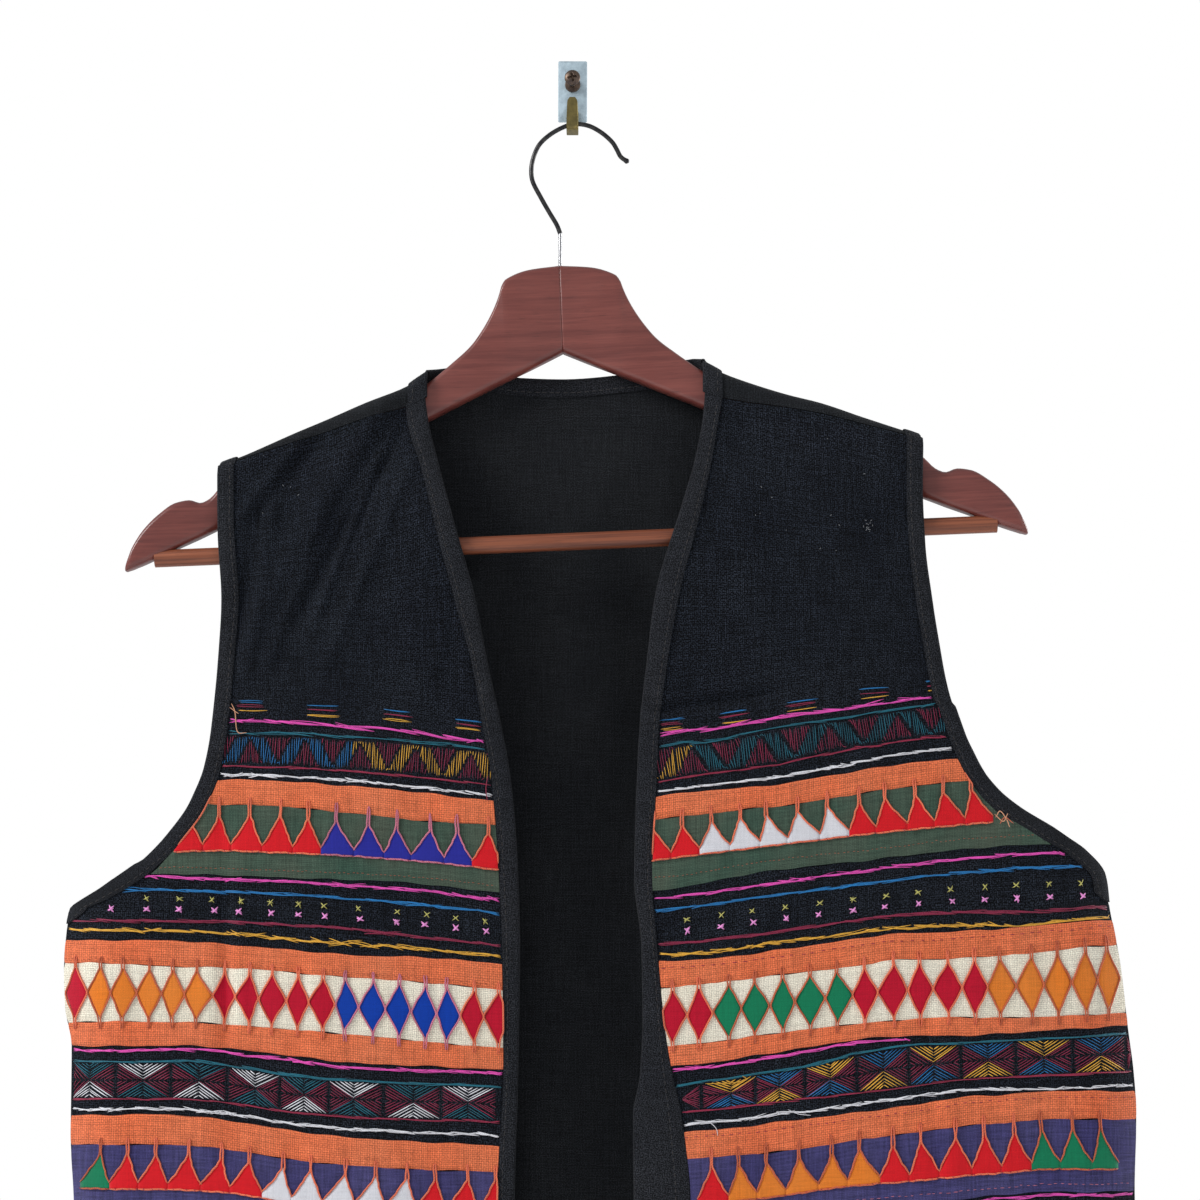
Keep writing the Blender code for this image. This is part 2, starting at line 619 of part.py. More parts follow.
def back_panel():
    """Rows run from the front shoulder seams over and down the back, columns from right to left."""
    neck = len(BACK_ROLL)
    under = neck + 1 + len(BACK_FALL)
    top_x, on_shoulder = back_top_columns()
    count = len(top_x)
    in_shoulder = (np.arange(count) < on_shoulder) | (np.arange(count) >= count - on_shoulder)
    z = back_heights(top_x, in_shoulder)
    x = np.repeat(top_x[None], len(z), axis=0)
    inner = (top_x[1:-1] - top_x[1]) / (top_x[-2] - top_x[1])
    for r in range(neck + 2, len(z)):
        inset = 0 if r >= under else BACK_INSET
        right, right_leg = outer_and_leg(RIGHT, z[r, 0])
        left, left_leg = outer_and_leg(LEFT, z[r, -1])
        right, left = right + inset, left - inset
        x[r, 1:-1] = right + right_leg + (left - left_leg - right - right_leg) * inner
        x[r, 0], x[r, -1] = right, left
    y = back_y(x, z)
    y[:3] = front_y(x[:3], z[:3])
    points = np.stack((x, y, z), axis=2)
    points[under:, (0, -1), 1] += SEAM / 2
    normals = sheet_normals(back_y, x, z, 1)
    normals[:3] = sheet_normals(front_y, x[:3], z[:3], -1)
    normals[3, in_shoulder] = (0, 0, 1)
    normals[under:, 0] = (-1, 0, 0)
    normals[under:, -1] = (1, 0, 0)
    used = np.ones((len(z) - 1, count - 1), dtype=bool)
    used[:neck] = in_shoulder[:-1] & in_shoulder[1:]
    panel = Panel(points, normals, used)
    panel.neck_row, panel.under_row = neck, under
    panel.neck_columns = (on_shoulder - 1, count - on_shoulder)
    return panel


def add_object(name, vertices, faces, material):
    mesh = bpy.data.meshes.new(name)
    mesh.from_pydata([tuple(v) for v in vertices], [], [tuple(int(i) for i in face) for face in faces])
    mesh.update()
    obj = bpy.data.objects.new(name, mesh)
    parts.objects.link(obj)
    mesh.materials.append(materials[material])
    shape = bmesh.new()
    shape.from_mesh(mesh)
    bmesh.ops.recalc_face_normals(shape, faces=shape.faces)
    if shape.calc_volume(signed=True) < 0:
        bmesh.ops.reverse_faces(shape, faces=shape.faces)
    shape.to_mesh(mesh)
    shape.free()
    mesh.shade_smooth()
    mesh.set_sharp_from_angle(angle=math.radians(40))
    return obj


def closed_wall(name, outer, inner, used, material):
    """Closes two grids of points, an outer and an inner face, into one wall with faces round its border."""
    rows, columns = outer.shape[:2]
    index = np.arange(rows * columns).reshape(rows, columns)
    if used is None:
        used = np.ones((rows - 1, columns - 1), dtype=bool)
    a, b = index[:-1, :-1][used], index[:-1, 1:][used]
    c, d = index[1:, 1:][used], index[1:, :-1][used]
    faces = list(zip(a, b, c, d))
    shift = rows * columns
    border = {}
    for face in faces:
        for i in range(4):
            edge = (face[i], face[(i + 1) % 4])
            if (edge[1], edge[0]) in border:
                del border[(edge[1], edge[0])]
            else:
                border[edge] = True
    back = [(q + shift, p + shift, o + shift, n + shift) for n, o, p, q in faces]
    rim = [(end, start, start + shift, end + shift) for start, end in border]
    vertices = np.concatenate((outer.reshape(-1, 3), inner.reshape(-1, 3)))
    return add_trimmed(name, vertices, faces + back + rim, material)


def add_trimmed(name, vertices, faces, material):
    """Adds an object from only the points that its faces use."""
    used = sorted({int(i) for face in faces for i in face})
    place = {old: new for new, old in enumerate(used)}
    faces = [tuple(place[int(i)] for i in face) for face in faces]
    return add_object(name, vertices[used], faces, material)


def add_panel(name, panel, material, hem_rows):
    """A panel's wall lies inside its outer face; the turned hem is thicker."""
    thickness = np.full(panel.points.shape[:2], CLOTH)
    thickness[-hem_rows:, 2:-2] += HEM_RISE
    inner = panel.points - panel.normals * thickness[..., None]
    return closed_wall(name, panel.points, inner, panel.used, material)


def binding(name, edge, inset, edge_out, inset_out, material):
    """A folded binding round a cloth edge: a channel whose two legs reach in over both faces of the cloth."""
    way = edge - inset
    way = way / np.linalg.norm(way, axis=1, keepdims=True)
    clear, leg = BINDING_CLEAR, BINDING_LEG
    section = (
        inset + inset_out * (clear + leg),
        edge + edge_out * (clear + leg) + way * clear,
        edge + edge_out * (leg * 0.3) + way * (clear + leg),
        edge - edge_out * (CLOTH + leg * 0.3) + way * (clear + leg),
        edge - edge_out * (CLOTH + clear + leg) + way * clear,
        inset - inset_out * (CLOTH + clear + leg),
        inset - inset_out * (CLOTH + clear),
        edge - edge_out * (CLOTH + clear) + way * clear,
        edge + edge_out * clear + way * clear,
        inset + inset_out * clear,
    )
    rings = np.stack(section, axis=1)
    count, sides = rings.shape[:2]
    index = np.arange(count * sides).reshape(count, sides)
    faces = []
    for k in range(sides):
        j = (k + 1) % sides
        faces += list(zip(index[:-1, k], index[:-1, j], index[1:, j], index[1:, k]))
    for ring in (index[0], index[-1]):
        faces += [
            (ring[0], ring[1], ring[8], ring[9]),
            (ring[1], ring[2], ring[3], ring[4]),
            (ring[1], ring[4], ring[7], ring[8]),
            (ring[4], ring[5], ring[6], ring[7]),
        ]
    return add_object(name, rings.reshape(-1, 3), faces, material)


def path_of(pieces):
    """Joins (points, insets, normals, inset normals) runs of a cloth edge into one path."""
    return [np.concatenate([piece[k] for piece in pieces]) for k in range(4)]


def panel_run(panel, rows, column, inset_column):
    return (
        panel.points[rows, column],
        panel.points[rows, inset_column],
        panel.normals[rows, column],
        panel.normals[rows, inset_column],
    )


def add_bindings(fronts, back):
    join_row = 1
    for side in (RIGHT, LEFT):
        rows = np.arange(HEM_ROW, join_row if side == RIGHT else -1, -1)
        add_run(f"{side}_front_binding", [panel_run(fronts[side], rows, 0, 1)])
    right_column, left_column = back.neck_columns
    wrap = np.arange(0, back.neck_row)
    across = np.arange(right_column + 1, left_column)
    nape = (
        back.points[back.neck_row, across],
        back.points[back.neck_row + 1, across],
        back.normals[back.neck_row, across],
        back.normals[back.neck_row + 1, across],
    )
    runs = [
        panel_run(fronts[RIGHT], np.array([join_row, 0]), 0, 1),
        panel_run(back, wrap, right_column, right_column - 1),
        mitre(back, right_column, -1),
        nape,
        [run[::-1] for run in mitre(back, left_column, 1)],
        panel_run(back, wrap[::-1], left_column, left_column + 1),
    ]
    add_run("neck_binding", runs)
    for side, column, inset in ((RIGHT, 0, 1), (LEFT, -1, -2)):
        front_rows = np.arange(UNDERARM_ROW - 1, -1, -1)
        back_rows = np.arange(0, back.under_row)
        runs = [
            panel_run(fronts[side], front_rows, FRONT_LAST, FRONT_LAST - 1),
            panel_run(back, back_rows, column, inset),
        ]
        add_run(f"{side}_armhole_binding", runs)


def mitre(back, column, outwards):
    """Three rings of the binding round the back neck's corner, from the shoulder to the nape."""
    row = back.neck_row
    edges = ((row, column),) * 3
    steps = ((row - 1, column), (row, column), (row, column - outwards))
    insets = ((row, column + outwards), (row + 1, column + outwards), (row + 1, column))
    edge, step, inset, edge_out, inset_out = (
        np.array([grid[place] for place in places])
        for grid, places in (
            (back.points, edges),
            (back.points, steps),
            (back.points, insets),
            (back.normals, edges),
            (back.normals, insets),
        )
    )
    return edge + (step - edge) * MITRE_SHARE, inset, edge_out, inset_out


def add_run(name, pieces):
    edge, inset, edge_out, inset_out = path_of([tuple(np.array(p) for p in piece) for piece in pieces])
    binding(name, edge, inset, edge_out, inset_out, "binding_cotton")


def column_at(panel, row, x):
    """The fractional column where a row passes a given x."""
    across = np.abs(panel.at(np.full(FRONT_LAST + 1, float(row)), np.arange(FRONT_LAST + 1.0), 0.0)[:, 0])
    return np.interp(np.abs(x), across, np.arange(FRONT_LAST + 1.0))


def strip_span(panel, row):
    """First and last fractional column of a strip at a row, clear of the bindings and the side seam."""
    x = np.abs(panel.points[row, :, 0])
    first = 1 + STRIP_CLEAR / (x[2] - x[1])
    if row >= UNDERARM_ROW:
        return first, FRONT_LAST - 3 * STRIP_CLEAR / (x[-1] - x[-2])
    return first, FRONT_LAST - 1 - STRIP_CLEAR / (x[-2] - x[-3])


def row_parted(panel, row, by):
    """A fractional row moved down by a distance, to part one strip from the next."""
    drop = abs(panel.points[row + 1, 5, 2] - panel.points[row, 5, 2])
    return row + by / drop


def plain_strip(panel, top, base):
    """Grid of (row, column) places of a strip with no patches."""
    first_row, last_row = row_parted(panel, top, STRIP_PARTING), float(base)
    rows = np.concatenate(([first_row], np.arange(top + 1, base), [last_row]))
    ends = np.array([strip_span(panel, min(int(round(row)), HEM_ROW - 1)) for row in (top, base)])
    share = (rows - rows[0]) / (rows[-1] - rows[0])
    first = ends[0, 0] + (ends[1, 0] - ends[0, 0]) * share
    last = ends[0, 1] + (ends[1, 1] - ends[0, 1]) * share
    inner = np.arange(2, FRONT_LAST if top >= UNDERARM_ROW else FRONT_LAST - 1)
    columns = np.array([np.concatenate(([f], inner, [end])) for f, end in zip(first, last)])
    return np.repeat(rows[:, None], columns.shape[1], axis=1), columns


def add_strip(name, panel, top, base, material, patches):
    """A strip is made from the panel's own points, moved out; patches raise its outer face."""
    rows, columns = plain_strip(panel, top, base)
    if patches is None:
        outer = panel.at(rows, columns, GAP + STRIP)
        inner = panel.at(rows, columns, GAP)
        return closed_wall(name, outer, inner, None, material)
    shape, count, first_x, last_x = patches
    pitch = abs(last_x - first_x) / (count - 1)
    low, high = sorted((abs(first_x), abs(last_x)))
    bounds = low - pitch / 2 + pitch * np.arange(count + 1)
    return patched_strip(name, panel, rows, columns, bounds, shape, material)


def patched_strip(name, panel, rows, columns, bounds, shape, material):
    """Cells side by side: each has its patch raised as a smaller copy of its outline with sloping sides."""
    top, base = rows[0, 0], rows[-1, 0]
    patch_base = base if shape == "diamond" else rows[-2, 0]
    middle = (top + patch_base) / 2
    first, last = (np.array((columns[0, k], columns[-1, k])) for k in (0, -1))
    vertices, faces = [], []

    def end_column(ends, row):
        return ends[0] + (ends[1] - ends[0]) * (row - top) / (base - top)

    def place(row, x, lift):
        column = column_at(panel, row, x)
        column = min(max(column, end_column(first, row)), end_column(last, row))
        vertices.append(panel.at(np.array(row), np.array(column), lift))
        return len(vertices) - 1

    face_lift, under_lift = GAP + STRIP, GAP
    levels = (top, middle, base) if shape == "diamond" else (top, patch_base, base)
    low_end = [abs(panel.at(np.array(r), np.array(end_column(first, r)), 0.0)[0]) for r in levels]
    high_end = [abs(panel.at(np.array(r), np.array(end_column(last, r)), 0.0)[0]) for r in levels]
    inside = [b for b in bounds if max(low_end) + 0.0015 < b < min(high_end) - 0.0015]
    lines = [low_end] + [[b] * len(levels) for b in inside] + [high_end]
    if top >= UNDERARM_ROW:
        for column in (FRONT_LAST - 1.0, FRONT_LAST - 2.0):
            fixed = [abs(panel.at(np.array(r), np.array(column), 0.0)[0]) for r in levels]
            nearest = min(range(len(lines)), key=lambda k: abs(lines[k][0] - fixed[0]))
            lines[nearest] = fixed
    outer = [[place(r, x, face_lift) for r, x in zip(levels, line)] for line in lines]
    under = [[place(r, x, under_lift) for r, x in zip(levels, line)] for line in lines]
    last_cell = len(lines) - 2
    for cell in range(len(lines) - 1):
        a, b = outer[cell], outer[cell + 1]
        c, d = under[cell], under[cell + 1]
        for k in range(2):
            faces.append((c[k], c[k + 1], d[k + 1], d[k]))
        faces.append((a[0], b[0], d[0], c[0]))
        faces.append((a[2], c[2], d[2], b[2]))
        if cell == 0:
            faces += [(a[k], c[k], c[k + 1], a[k + 1]) for k in range(2)]
        if cell == last_cell:
            faces += [(b[k], b[k + 1], d[k + 1], d[k]) for k in range(2)]
        faces += patch_faces(place, levels, lines[cell], lines[cell + 1], a, b, shape, face_lift)
    return add_object(name, np.array(vertices), faces, material)


def patch_faces(place, levels, near, far, a, b, shape, face_lift):
    """The outer faces of one cell: flat corners, four or three sloping sides and a flat raised top."""
    height = levels[-1] - levels[0] if shape == "diamond" else levels[1] - levels[0]
    rim = PATCH_RIM * height
    if far[1] - near[1] < NARROWEST_CELL:
        return [(a[0], a[1], b[1], b[0]), (a[1], a[2], b[2], b[1])]
    mid_x = (near[1] + far[1]) / 2
    raised = face_lift + PATCH_RISE
    if shape == "diamond":
        tip = place(levels[0] + rim, mid_x, face_lift)
        foot = place(levels[2] - rim, mid_x, face_lift)
        reach = (far[1] - near[1]) / 2 * PATCH_INSET
        centre = levels[1]
        tops = (
            place(centre - (centre - levels[0] - rim) * PATCH_INSET, mid_x, raised),
            place(centre, mid_x + reach, raised),
            place(centre + (levels[2] - rim - centre) * PATCH_INSET, mid_x, raised),
            place(centre, mid_x - reach, raised),
        )
        outline = (tip, b[1], foot, a[1])
        flat = [(a[0], a[1], tip), (a[0], tip, b[0]), (b[0], tip, b[1])]
        flat += [(a[2], foot, a[1]), (a[2], b[2], foot), (b[2], b[1], foot)]
    else:
        tip = place(levels[0] + rim, mid_x, face_lift)
        reach = (far[1] - near[1]) / 2 * TRIANGLE_INSET
        tops = (
            place(levels[0] + height * TRIANGLE_TOP, mid_x, raised),
            place(levels[0] + height * TRIANGLE_BASE, mid_x + reach, raised),
            place(levels[0] + height * TRIANGLE_BASE, mid_x - reach, raised),
        )
        outline = (tip, b[1], a[1])
        flat = [(a[0], a[1], tip), (a[0], tip, b[0]), (b[0], tip, b[1])]
        flat.append((a[1], a[2], b[2], b[1]))
    sides = len(outline)
    slopes = [
        (outline[k], outline[(k + 1) % sides], tops[(k + 1) % sides], tops[k]) for k in range(sides)
    ]
    return flat + slopes + [tops]


def add_strips(fronts):
    colours = {"green": "green_cotton", "cream": "cream_cotton", "navy": "navy_cotton"}
    for side in (RIGHT, LEFT):
        for strip, top, base in STRIP_ROWS:
            add_strip(
                f"{side}_{strip}_strip",
                fronts[side],
                row_index(top),
                row_index(base),
                colours.get(strip, "orange_cotton"),
                PATCHES.get((side, strip)),
            )


def hanger_frame(side, out, below, depth):
    """A place on the hanger: out from the centre, below the crown, turned by the hanger's tilt."""
    way = -1 if side == RIGHT else 1
    across = way * np.asarray(out) * np.where(np.asarray(out) > 0.001, ARM_REACH[side], 1)
    x = CROWN[0] + across * math.cos(TILT) + np.asarray(below) * math.sin(TILT)
    z = CROWN[1] + across * math.sin(TILT) - np.asarray(below) * math.cos(TILT)
    return np.stack((x, np.broadcast_to(depth, x.shape), z), axis=-1)


def arm_depth(out):
    return ARM_CENTRE_DEPTH - ARM_SWEEP * (np.asarray(out) / ARM_LENGTH) ** ARM_SWEEP_POWER


def add_arm(side):
    """Rounded rectangles along the arm, each from the top to the underside of the profile."""
    out, top, under = (np.array(column) for column in zip(*ARM_PROFILE))
    half, r = ARM_THICKNESS / 2, ARM_ROUNDING
    section = []
    for face, level, inward in ((-1, top, 1), (1, top, 1), (1, under, -1), (-1, under, -1)):
        near_edge = (face * half, level + inward * r)
        near_face = (face * (half - r), level)
        corner_points = (near_edge, near_face) if (face < 0) == (inward > 0) else (near_face, near_edge)
        section += corner_points
    rings = [hanger_frame(side, out, below, arm_depth(out) + depth) for depth, below in section]
    rings = np.stack(rings, axis=1)
    count, sides = rings.shape[:2]
    index = np.arange(count * sides).reshape(count, sides)
    faces = [tuple(index[0]), tuple(index[-1])]
    for k in range(sides):
        j = (k + 1) % sides
        faces += list(zip(index[:-1, k], index[:-1, j], index[1:, j], index[1:, k]))
    arm = add_object(f"hanger_{side}_arm", rings.reshape(-1, 3), faces, "mahogany_wood")
    for cutter in ("bar_cutter", "wire_cutter"):
        cut = arm.modifiers.new(cutter, "BOOLEAN")
        cut.operation = "DIFFERENCE"
        cut.solver = "EXACT"
        cut.object = bpy.data.objects[cutter]


def rod(name, start, end, radius, sides, collection, material=None):
    """A straight round rod between two points."""
    start, end = np.array(start), np.array(end)
    axis = (end - start) / np.linalg.norm(end - start)
    bpy.ops.mesh.primitive_cylinder_add(
        vertices=sides, radius=radius, depth=float(np.linalg.norm(end - start)), location=(0, 0, 0)
    )
    obj = bpy.context.object
    obj.name = name
    obj.data.name = name
    obj.rotation_mode = "QUATERNION"
    obj.rotation_quaternion = Vector((0, 0, 1)).rotation_difference(Vector(axis))
    obj.location = tuple((start + end) / 2)
    for old in list(obj.users_collection):
        old.objects.unlink(obj)
    collection.objects.link(obj)
    if material:
        obj.data.materials.append(materials[material])
        obj.data.shade_smooth()
        obj.data.set_sharp_from_angle(angle=math.radians(40))
    else:
        obj.hide_render = True
        obj.display_type = "WIRE"
    return obj


def add_hanger():
    for_bar = [hanger_frame(side, BAR_REACH, BAR_DROP, BAR_DEPTH) for side in (RIGHT, LEFT)]
    way = (for_bar[1] - for_bar[0]) / np.linalg.norm(for_bar[1] - for_bar[0])
    end_gap = way * BAR_CLEARANCE
    rod("bar_cutter", for_bar[0] - end_gap, for_bar[1] + end_gap, BAR_RADIUS + BAR_CLEARANCE, 16, cutters)
    foot = (WIRE_FOOT_X, ARM_CENTRE_DEPTH, WIRE_FOOT)
    above = (WIRE_FOOT_X, ARM_CENTRE_DEPTH, WIRE_FOOT_TOP)
    hole_end = (WIRE_FOOT_X, ARM_CENTRE_DEPTH, WIRE_FOOT - WIRE_HOLE_CLEARANCE)
    rod("wire_cutter", hole_end, above, WIRE_RADIUS + WIRE_HOLE_CLEARANCE, 12, cutters)
    add_arm(RIGHT)
    add_arm(LEFT)
    rod("hanger_bar", for_bar[0], for_bar[1], BAR_RADIUS, 16, parts, "bar_wood")
    points = [(x, ARM_CENTRE_DEPTH, z) for x, z in WIRE_POINTS]
    points += [above, foot]
    wire("hanger_hook", points)


def smooth_route(points, steps):
    """A curve through points by cubic pieces whose tangents join each point's two neighbours."""
    points = np.array(points)
    tangents = np.zeros_like(points)
    tangents[1:-1] = (points[2:] - points[:-2]) / 2
    tangents[0], tangents[-1] = points[1] - points[0], points[-1] - points[-2]
    t = np.linspace(0, 1, steps, endpoint=False)[:, None]
    pieces = []
    for k in range(len(points) - 1):
        start = points[k] * (1 + 2 * t) * (1 - t) ** 2 + tangents[k] * t * (1 - t) ** 2
        end = points[k + 1] * t**2 * (3 - 2 * t) + tangents[k + 1] * t**2 * (t - 1)
        pieces.append(start + end)
    return np.concatenate(pieces + [points[-1:]])


def wire(name, points):
    """The hook's wire, with a slightly fuller tip and a thinner foot."""
    route = smooth_route(points, 2)
    curve = bpy.data.curves.new(name, "CURVE")
    curve.dimensions = "3D"
    curve.bevel_depth = WIRE_RADIUS
    curve.bevel_resolution = 2
    curve.use_fill_caps = True
    spline = curve.splines.new("POLY")
    spline.points.add(len(route) - 1)
    for k, (point, place) in enumerate(zip(spline.points, route)):
        point.co = (*place, 1)
        point.radius = WIRE_TIP_RADIUS / WIRE_RADIUS if k == 0 else 1
        if place[2] < WIRE_FOOT_TOP + 0.0001:
            point.radius = WIRE_FOOT_RADIUS / WIRE_RADIUS
    obj = bpy.data.objects.new(name, curve)
    parts.objects.link(obj)
    curve.materials.append(materials["dark_steel"])


def add_wall_hook():
    """The plate lies on the wall; the tongue is a bent strip under and in front of the wire."""
    bpy.ops.mesh.primitive_cube_add(size=1)
    plate = bpy.context.object
    plate.name = "wall_plate"
    plate.data.name = "wall_plate"
    plate.scale = (PLATE_WIDTH, PLATE_THICKNESS, PLATE_TOP - PLATE_BOTTOM)
    plate.location = (0, -PLATE_THICKNESS / 2, (PLATE_TOP + PLATE_BOTTOM) / 2)
    bpy.ops.object.transform_apply(location=True, rotation=False, scale=True)
    for old in list(plate.users_collection):
        old.objects.unlink(plate)
    parts.objects.link(plate)
    plate.data.materials.append(materials["zinc_plate"])
    front, behind = (0, -3 * PLATE_THICKNESS, SCREW_HEIGHT), (0, 2 * PLATE_THICKNESS, SCREW_HEIGHT)
    hole = rod("plate_cutter", front, behind, SCREW_HOLE_RADIUS, SCREW_SIDES, cutters)
    cut = plate.modifiers.new("screw hole", "BOOLEAN")
    cut.operation = "DIFFERENCE"
    cut.solver = "EXACT"
    cut.object = hole
    add_tongue()
    add_screw()


def tongue_line(back, low, inset):
    """The side line of the bent strip, moved in by inset: down, forward under the wire and up."""
    back_centre = (back - TONGUE_BEND, low + TONGUE_BEND)
    front_centre = (TONGUE_FRONT + TONGUE_FRONT_BEND, low + TONGUE_FRONT_BEND)
    line = [(back - inset, low + TONGUE_RISE), (back - inset, low + TONGUE_BEND)]
    line += bend(back_centre, TONGUE_BEND - inset, 0, -90)
    line += bend(front_centre, TONGUE_FRONT_BEND - inset, -90, -180)
    return line + [(TONGUE_FRONT + inset, TONGUE_TIP)]


def add_tongue():
    """A strip bent to a J seen from the side, lofted straight across its width."""
    back = -PLATE_THICKNESS - METAL_GAP
    low = WIRE_REST - WIRE_RADIUS - METAL_GAP - TONGUE_STRIP
    outer = tongue_line(back, low, 0)
    outline = outer + tongue_line(back, low, TONGUE_STRIP)[::-1]
    count, half = len(outline), TONGUE_WIDTH / 2
    near = np.array([(-half, y, z) for y, z in outline])
    far = np.array([(half, y, z) for y, z in outline])
    faces = [(k, (k + 1) % count, count + (k + 1) % count, count + k) for k in range(count)]
    for shift in (0, count):
        for k in range(len(outer) - 1):
            faces.append((shift + k, shift + k + 1, shift + count - 2 - k, shift + count - 1 - k))
    add_object("wall_hook_tongue", np.concatenate((near, far)), faces, "brass_strip")


def bend(centre, radius, start, end):
    """Points along a round bend, by angle in degrees."""
    angles = np.radians(np.linspace(start, end, 5))
    return [(centre[0] + radius * math.cos(a), centre[1] + radius * math.sin(a)) for a in angles]


def add_screw():
    """A turned profile: a shank in the plate's hole, a base collar and a pan head that stands proud."""
    collar = -PLATE_THICKNESS - METAL_GAP
    profile = (
        # radius, y
        (SCREW_RADIUS, -METAL_GAP),
        (SCREW_RADIUS, collar),
        (SCREW_HEAD_RADIUS, collar),
        (SCREW_HEAD_RADIUS, collar - COLLAR_THICKNESS),
        (SCREW_RADIUS, collar - COLLAR_THICKNESS - METAL_GAP),
        (SCREW_RADIUS, SCREW_HEAD_DEPTH),
        (SCREW_HEAD_RADIUS, SCREW_HEAD_DEPTH),
        (SCREW_HEAD_RADIUS, SCREW_HEAD_DEPTH - SCREW_HEAD_THICKNESS / 2),
        (SCREW_HEAD_RADIUS * 0.7, SCREW_HEAD_DEPTH - SCREW_HEAD_THICKNESS),
    )
    line = [(0, profile[0][1]), *profile, (0, profile[-1][1])]
    mesh = bpy.data.meshes.new("wall_screw")
    edges = [(k, k + 1) for k in range(len(line) - 1)]
    mesh.from_pydata([(radius, y, 0) for radius, y in line], edges, [])
    obj = bpy.data.objects.new("wall_screw", mesh)
    parts.objects.link(obj)
    obj.location = (0, 0, SCREW_HEIGHT)
    mesh.materials.append(materials["bronze_screw"])
    turn = obj.modifiers.new("turned", "SCREW")
    turn.axis = "Y"
    turn.steps = turn.render_steps = SCREW_SIDES
    turn.use_merge_vertices = True
    turn.merge_threshold = 0.00001
    turn.use_normal_calculate = True


def make_materials():
    made = {}
    for name, (colour, roughness, metallic) in MATERIALS.items():
        material = bpy.data.materials.new(name)
        material.use_nodes = True
        shader = material.node_tree.nodes["Principled BSDF"]
        shader.inputs["Base Color"].default_value = (*colour, 1)
        shader.inputs["Roughness"].default_value = roughness
        shader.inputs["Metallic"].default_value = metallic
        made[name] = material
    return made


for old_object in list(bpy.data.objects):
    bpy.data.objects.remove(old_object)
parts = bpy.data.collections.new(OBJECT_NAME)
cutters = bpy.data.collections.new("cutters")
for collection in (parts, cutters):
    bpy.context.scene.collection.children.link(collection)
materials = make_materials()
front_panels = {side: front_panel(side) for side in (RIGHT, LEFT)}
whole_back = back_panel()
for side_name, front in front_panels.items():
    add_panel(f"{side_name}_front_panel", front, "coarse_navy_cotton", 2)
add_panel("back_panel", whole_back, "fine_charcoal_cotton", 2)
add_bindings(front_panels, whole_back)
add_strips(front_panels)
add_hanger()
add_wall_hook()
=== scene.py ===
"""The patchwork vest on its hanger and wall hook, dressed with cloth, stitching, wood and metal.

Metres, +Z up, in the frame's own axes: the wall is y = 0 and the vest hangs in front of it, towards -Y.
Right and left are the wearer's, so the right front is at -X.
"""

import json
import math

import bpy
import numpy as np
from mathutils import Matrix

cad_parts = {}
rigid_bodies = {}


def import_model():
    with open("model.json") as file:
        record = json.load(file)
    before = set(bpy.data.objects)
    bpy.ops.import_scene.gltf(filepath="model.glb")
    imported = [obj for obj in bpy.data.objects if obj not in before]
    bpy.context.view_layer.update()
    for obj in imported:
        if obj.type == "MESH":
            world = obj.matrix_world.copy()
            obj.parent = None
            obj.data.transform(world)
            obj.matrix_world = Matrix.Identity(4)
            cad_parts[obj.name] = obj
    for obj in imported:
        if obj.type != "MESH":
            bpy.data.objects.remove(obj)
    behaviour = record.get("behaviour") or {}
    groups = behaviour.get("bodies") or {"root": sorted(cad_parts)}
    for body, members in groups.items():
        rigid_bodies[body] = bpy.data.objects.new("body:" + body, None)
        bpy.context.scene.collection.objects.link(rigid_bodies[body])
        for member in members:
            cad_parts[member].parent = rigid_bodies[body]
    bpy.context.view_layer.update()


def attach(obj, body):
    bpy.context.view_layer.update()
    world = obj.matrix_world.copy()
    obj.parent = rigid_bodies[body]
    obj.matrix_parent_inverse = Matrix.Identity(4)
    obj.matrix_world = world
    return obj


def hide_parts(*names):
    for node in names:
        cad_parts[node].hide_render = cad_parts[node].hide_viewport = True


RIGHT, LEFT = "right", "left"
SIDES = (RIGHT, LEFT)

# Cloth
PANEL_WALL = 0.0009
STRIP_LIFT = 0.0004  # where a strip's inner face lies above the panel
STRIP_WALL = 0.0007
PATCH_LIFT = 0.0013
PATCH_WALL = 0.0004
BINDING_CLEAR = 0.0004
BINDING_LEG = 0.0007
ARMHOLE_LEG = 0.0072
NECK_LEG = 0.0088
SHOULDER_EASE = 0.017  # height over which a front's rows turn from the shoulder seam to their own lines
SEAM = 0.0004
SHOULDER_ROLL = 0.0080
ROLL_POWER = 2.6
SIDE_ROUND = 0.030
SIDE_ROUND_TOP = -0.41  # height above which the round of the sides keeps its place
SIDE_OVERLAP = 0.00012  # front over back at the side seam
NECK_FADE = 0.012
NARROWEST_FRONT = 0.01
HEM_TURNING = 0.0007  # what the hem's turning adds to the wall
SLOPE_STEP = 0.002
STEEPEST = 2.5
BACK_INSET = 0.0010
BACK_REACH = 0.17
BACK_BOW = 1.6
NEAR_WALL = -0.0030
SAG = {RIGHT: 1.7, LEFT: 1.25}

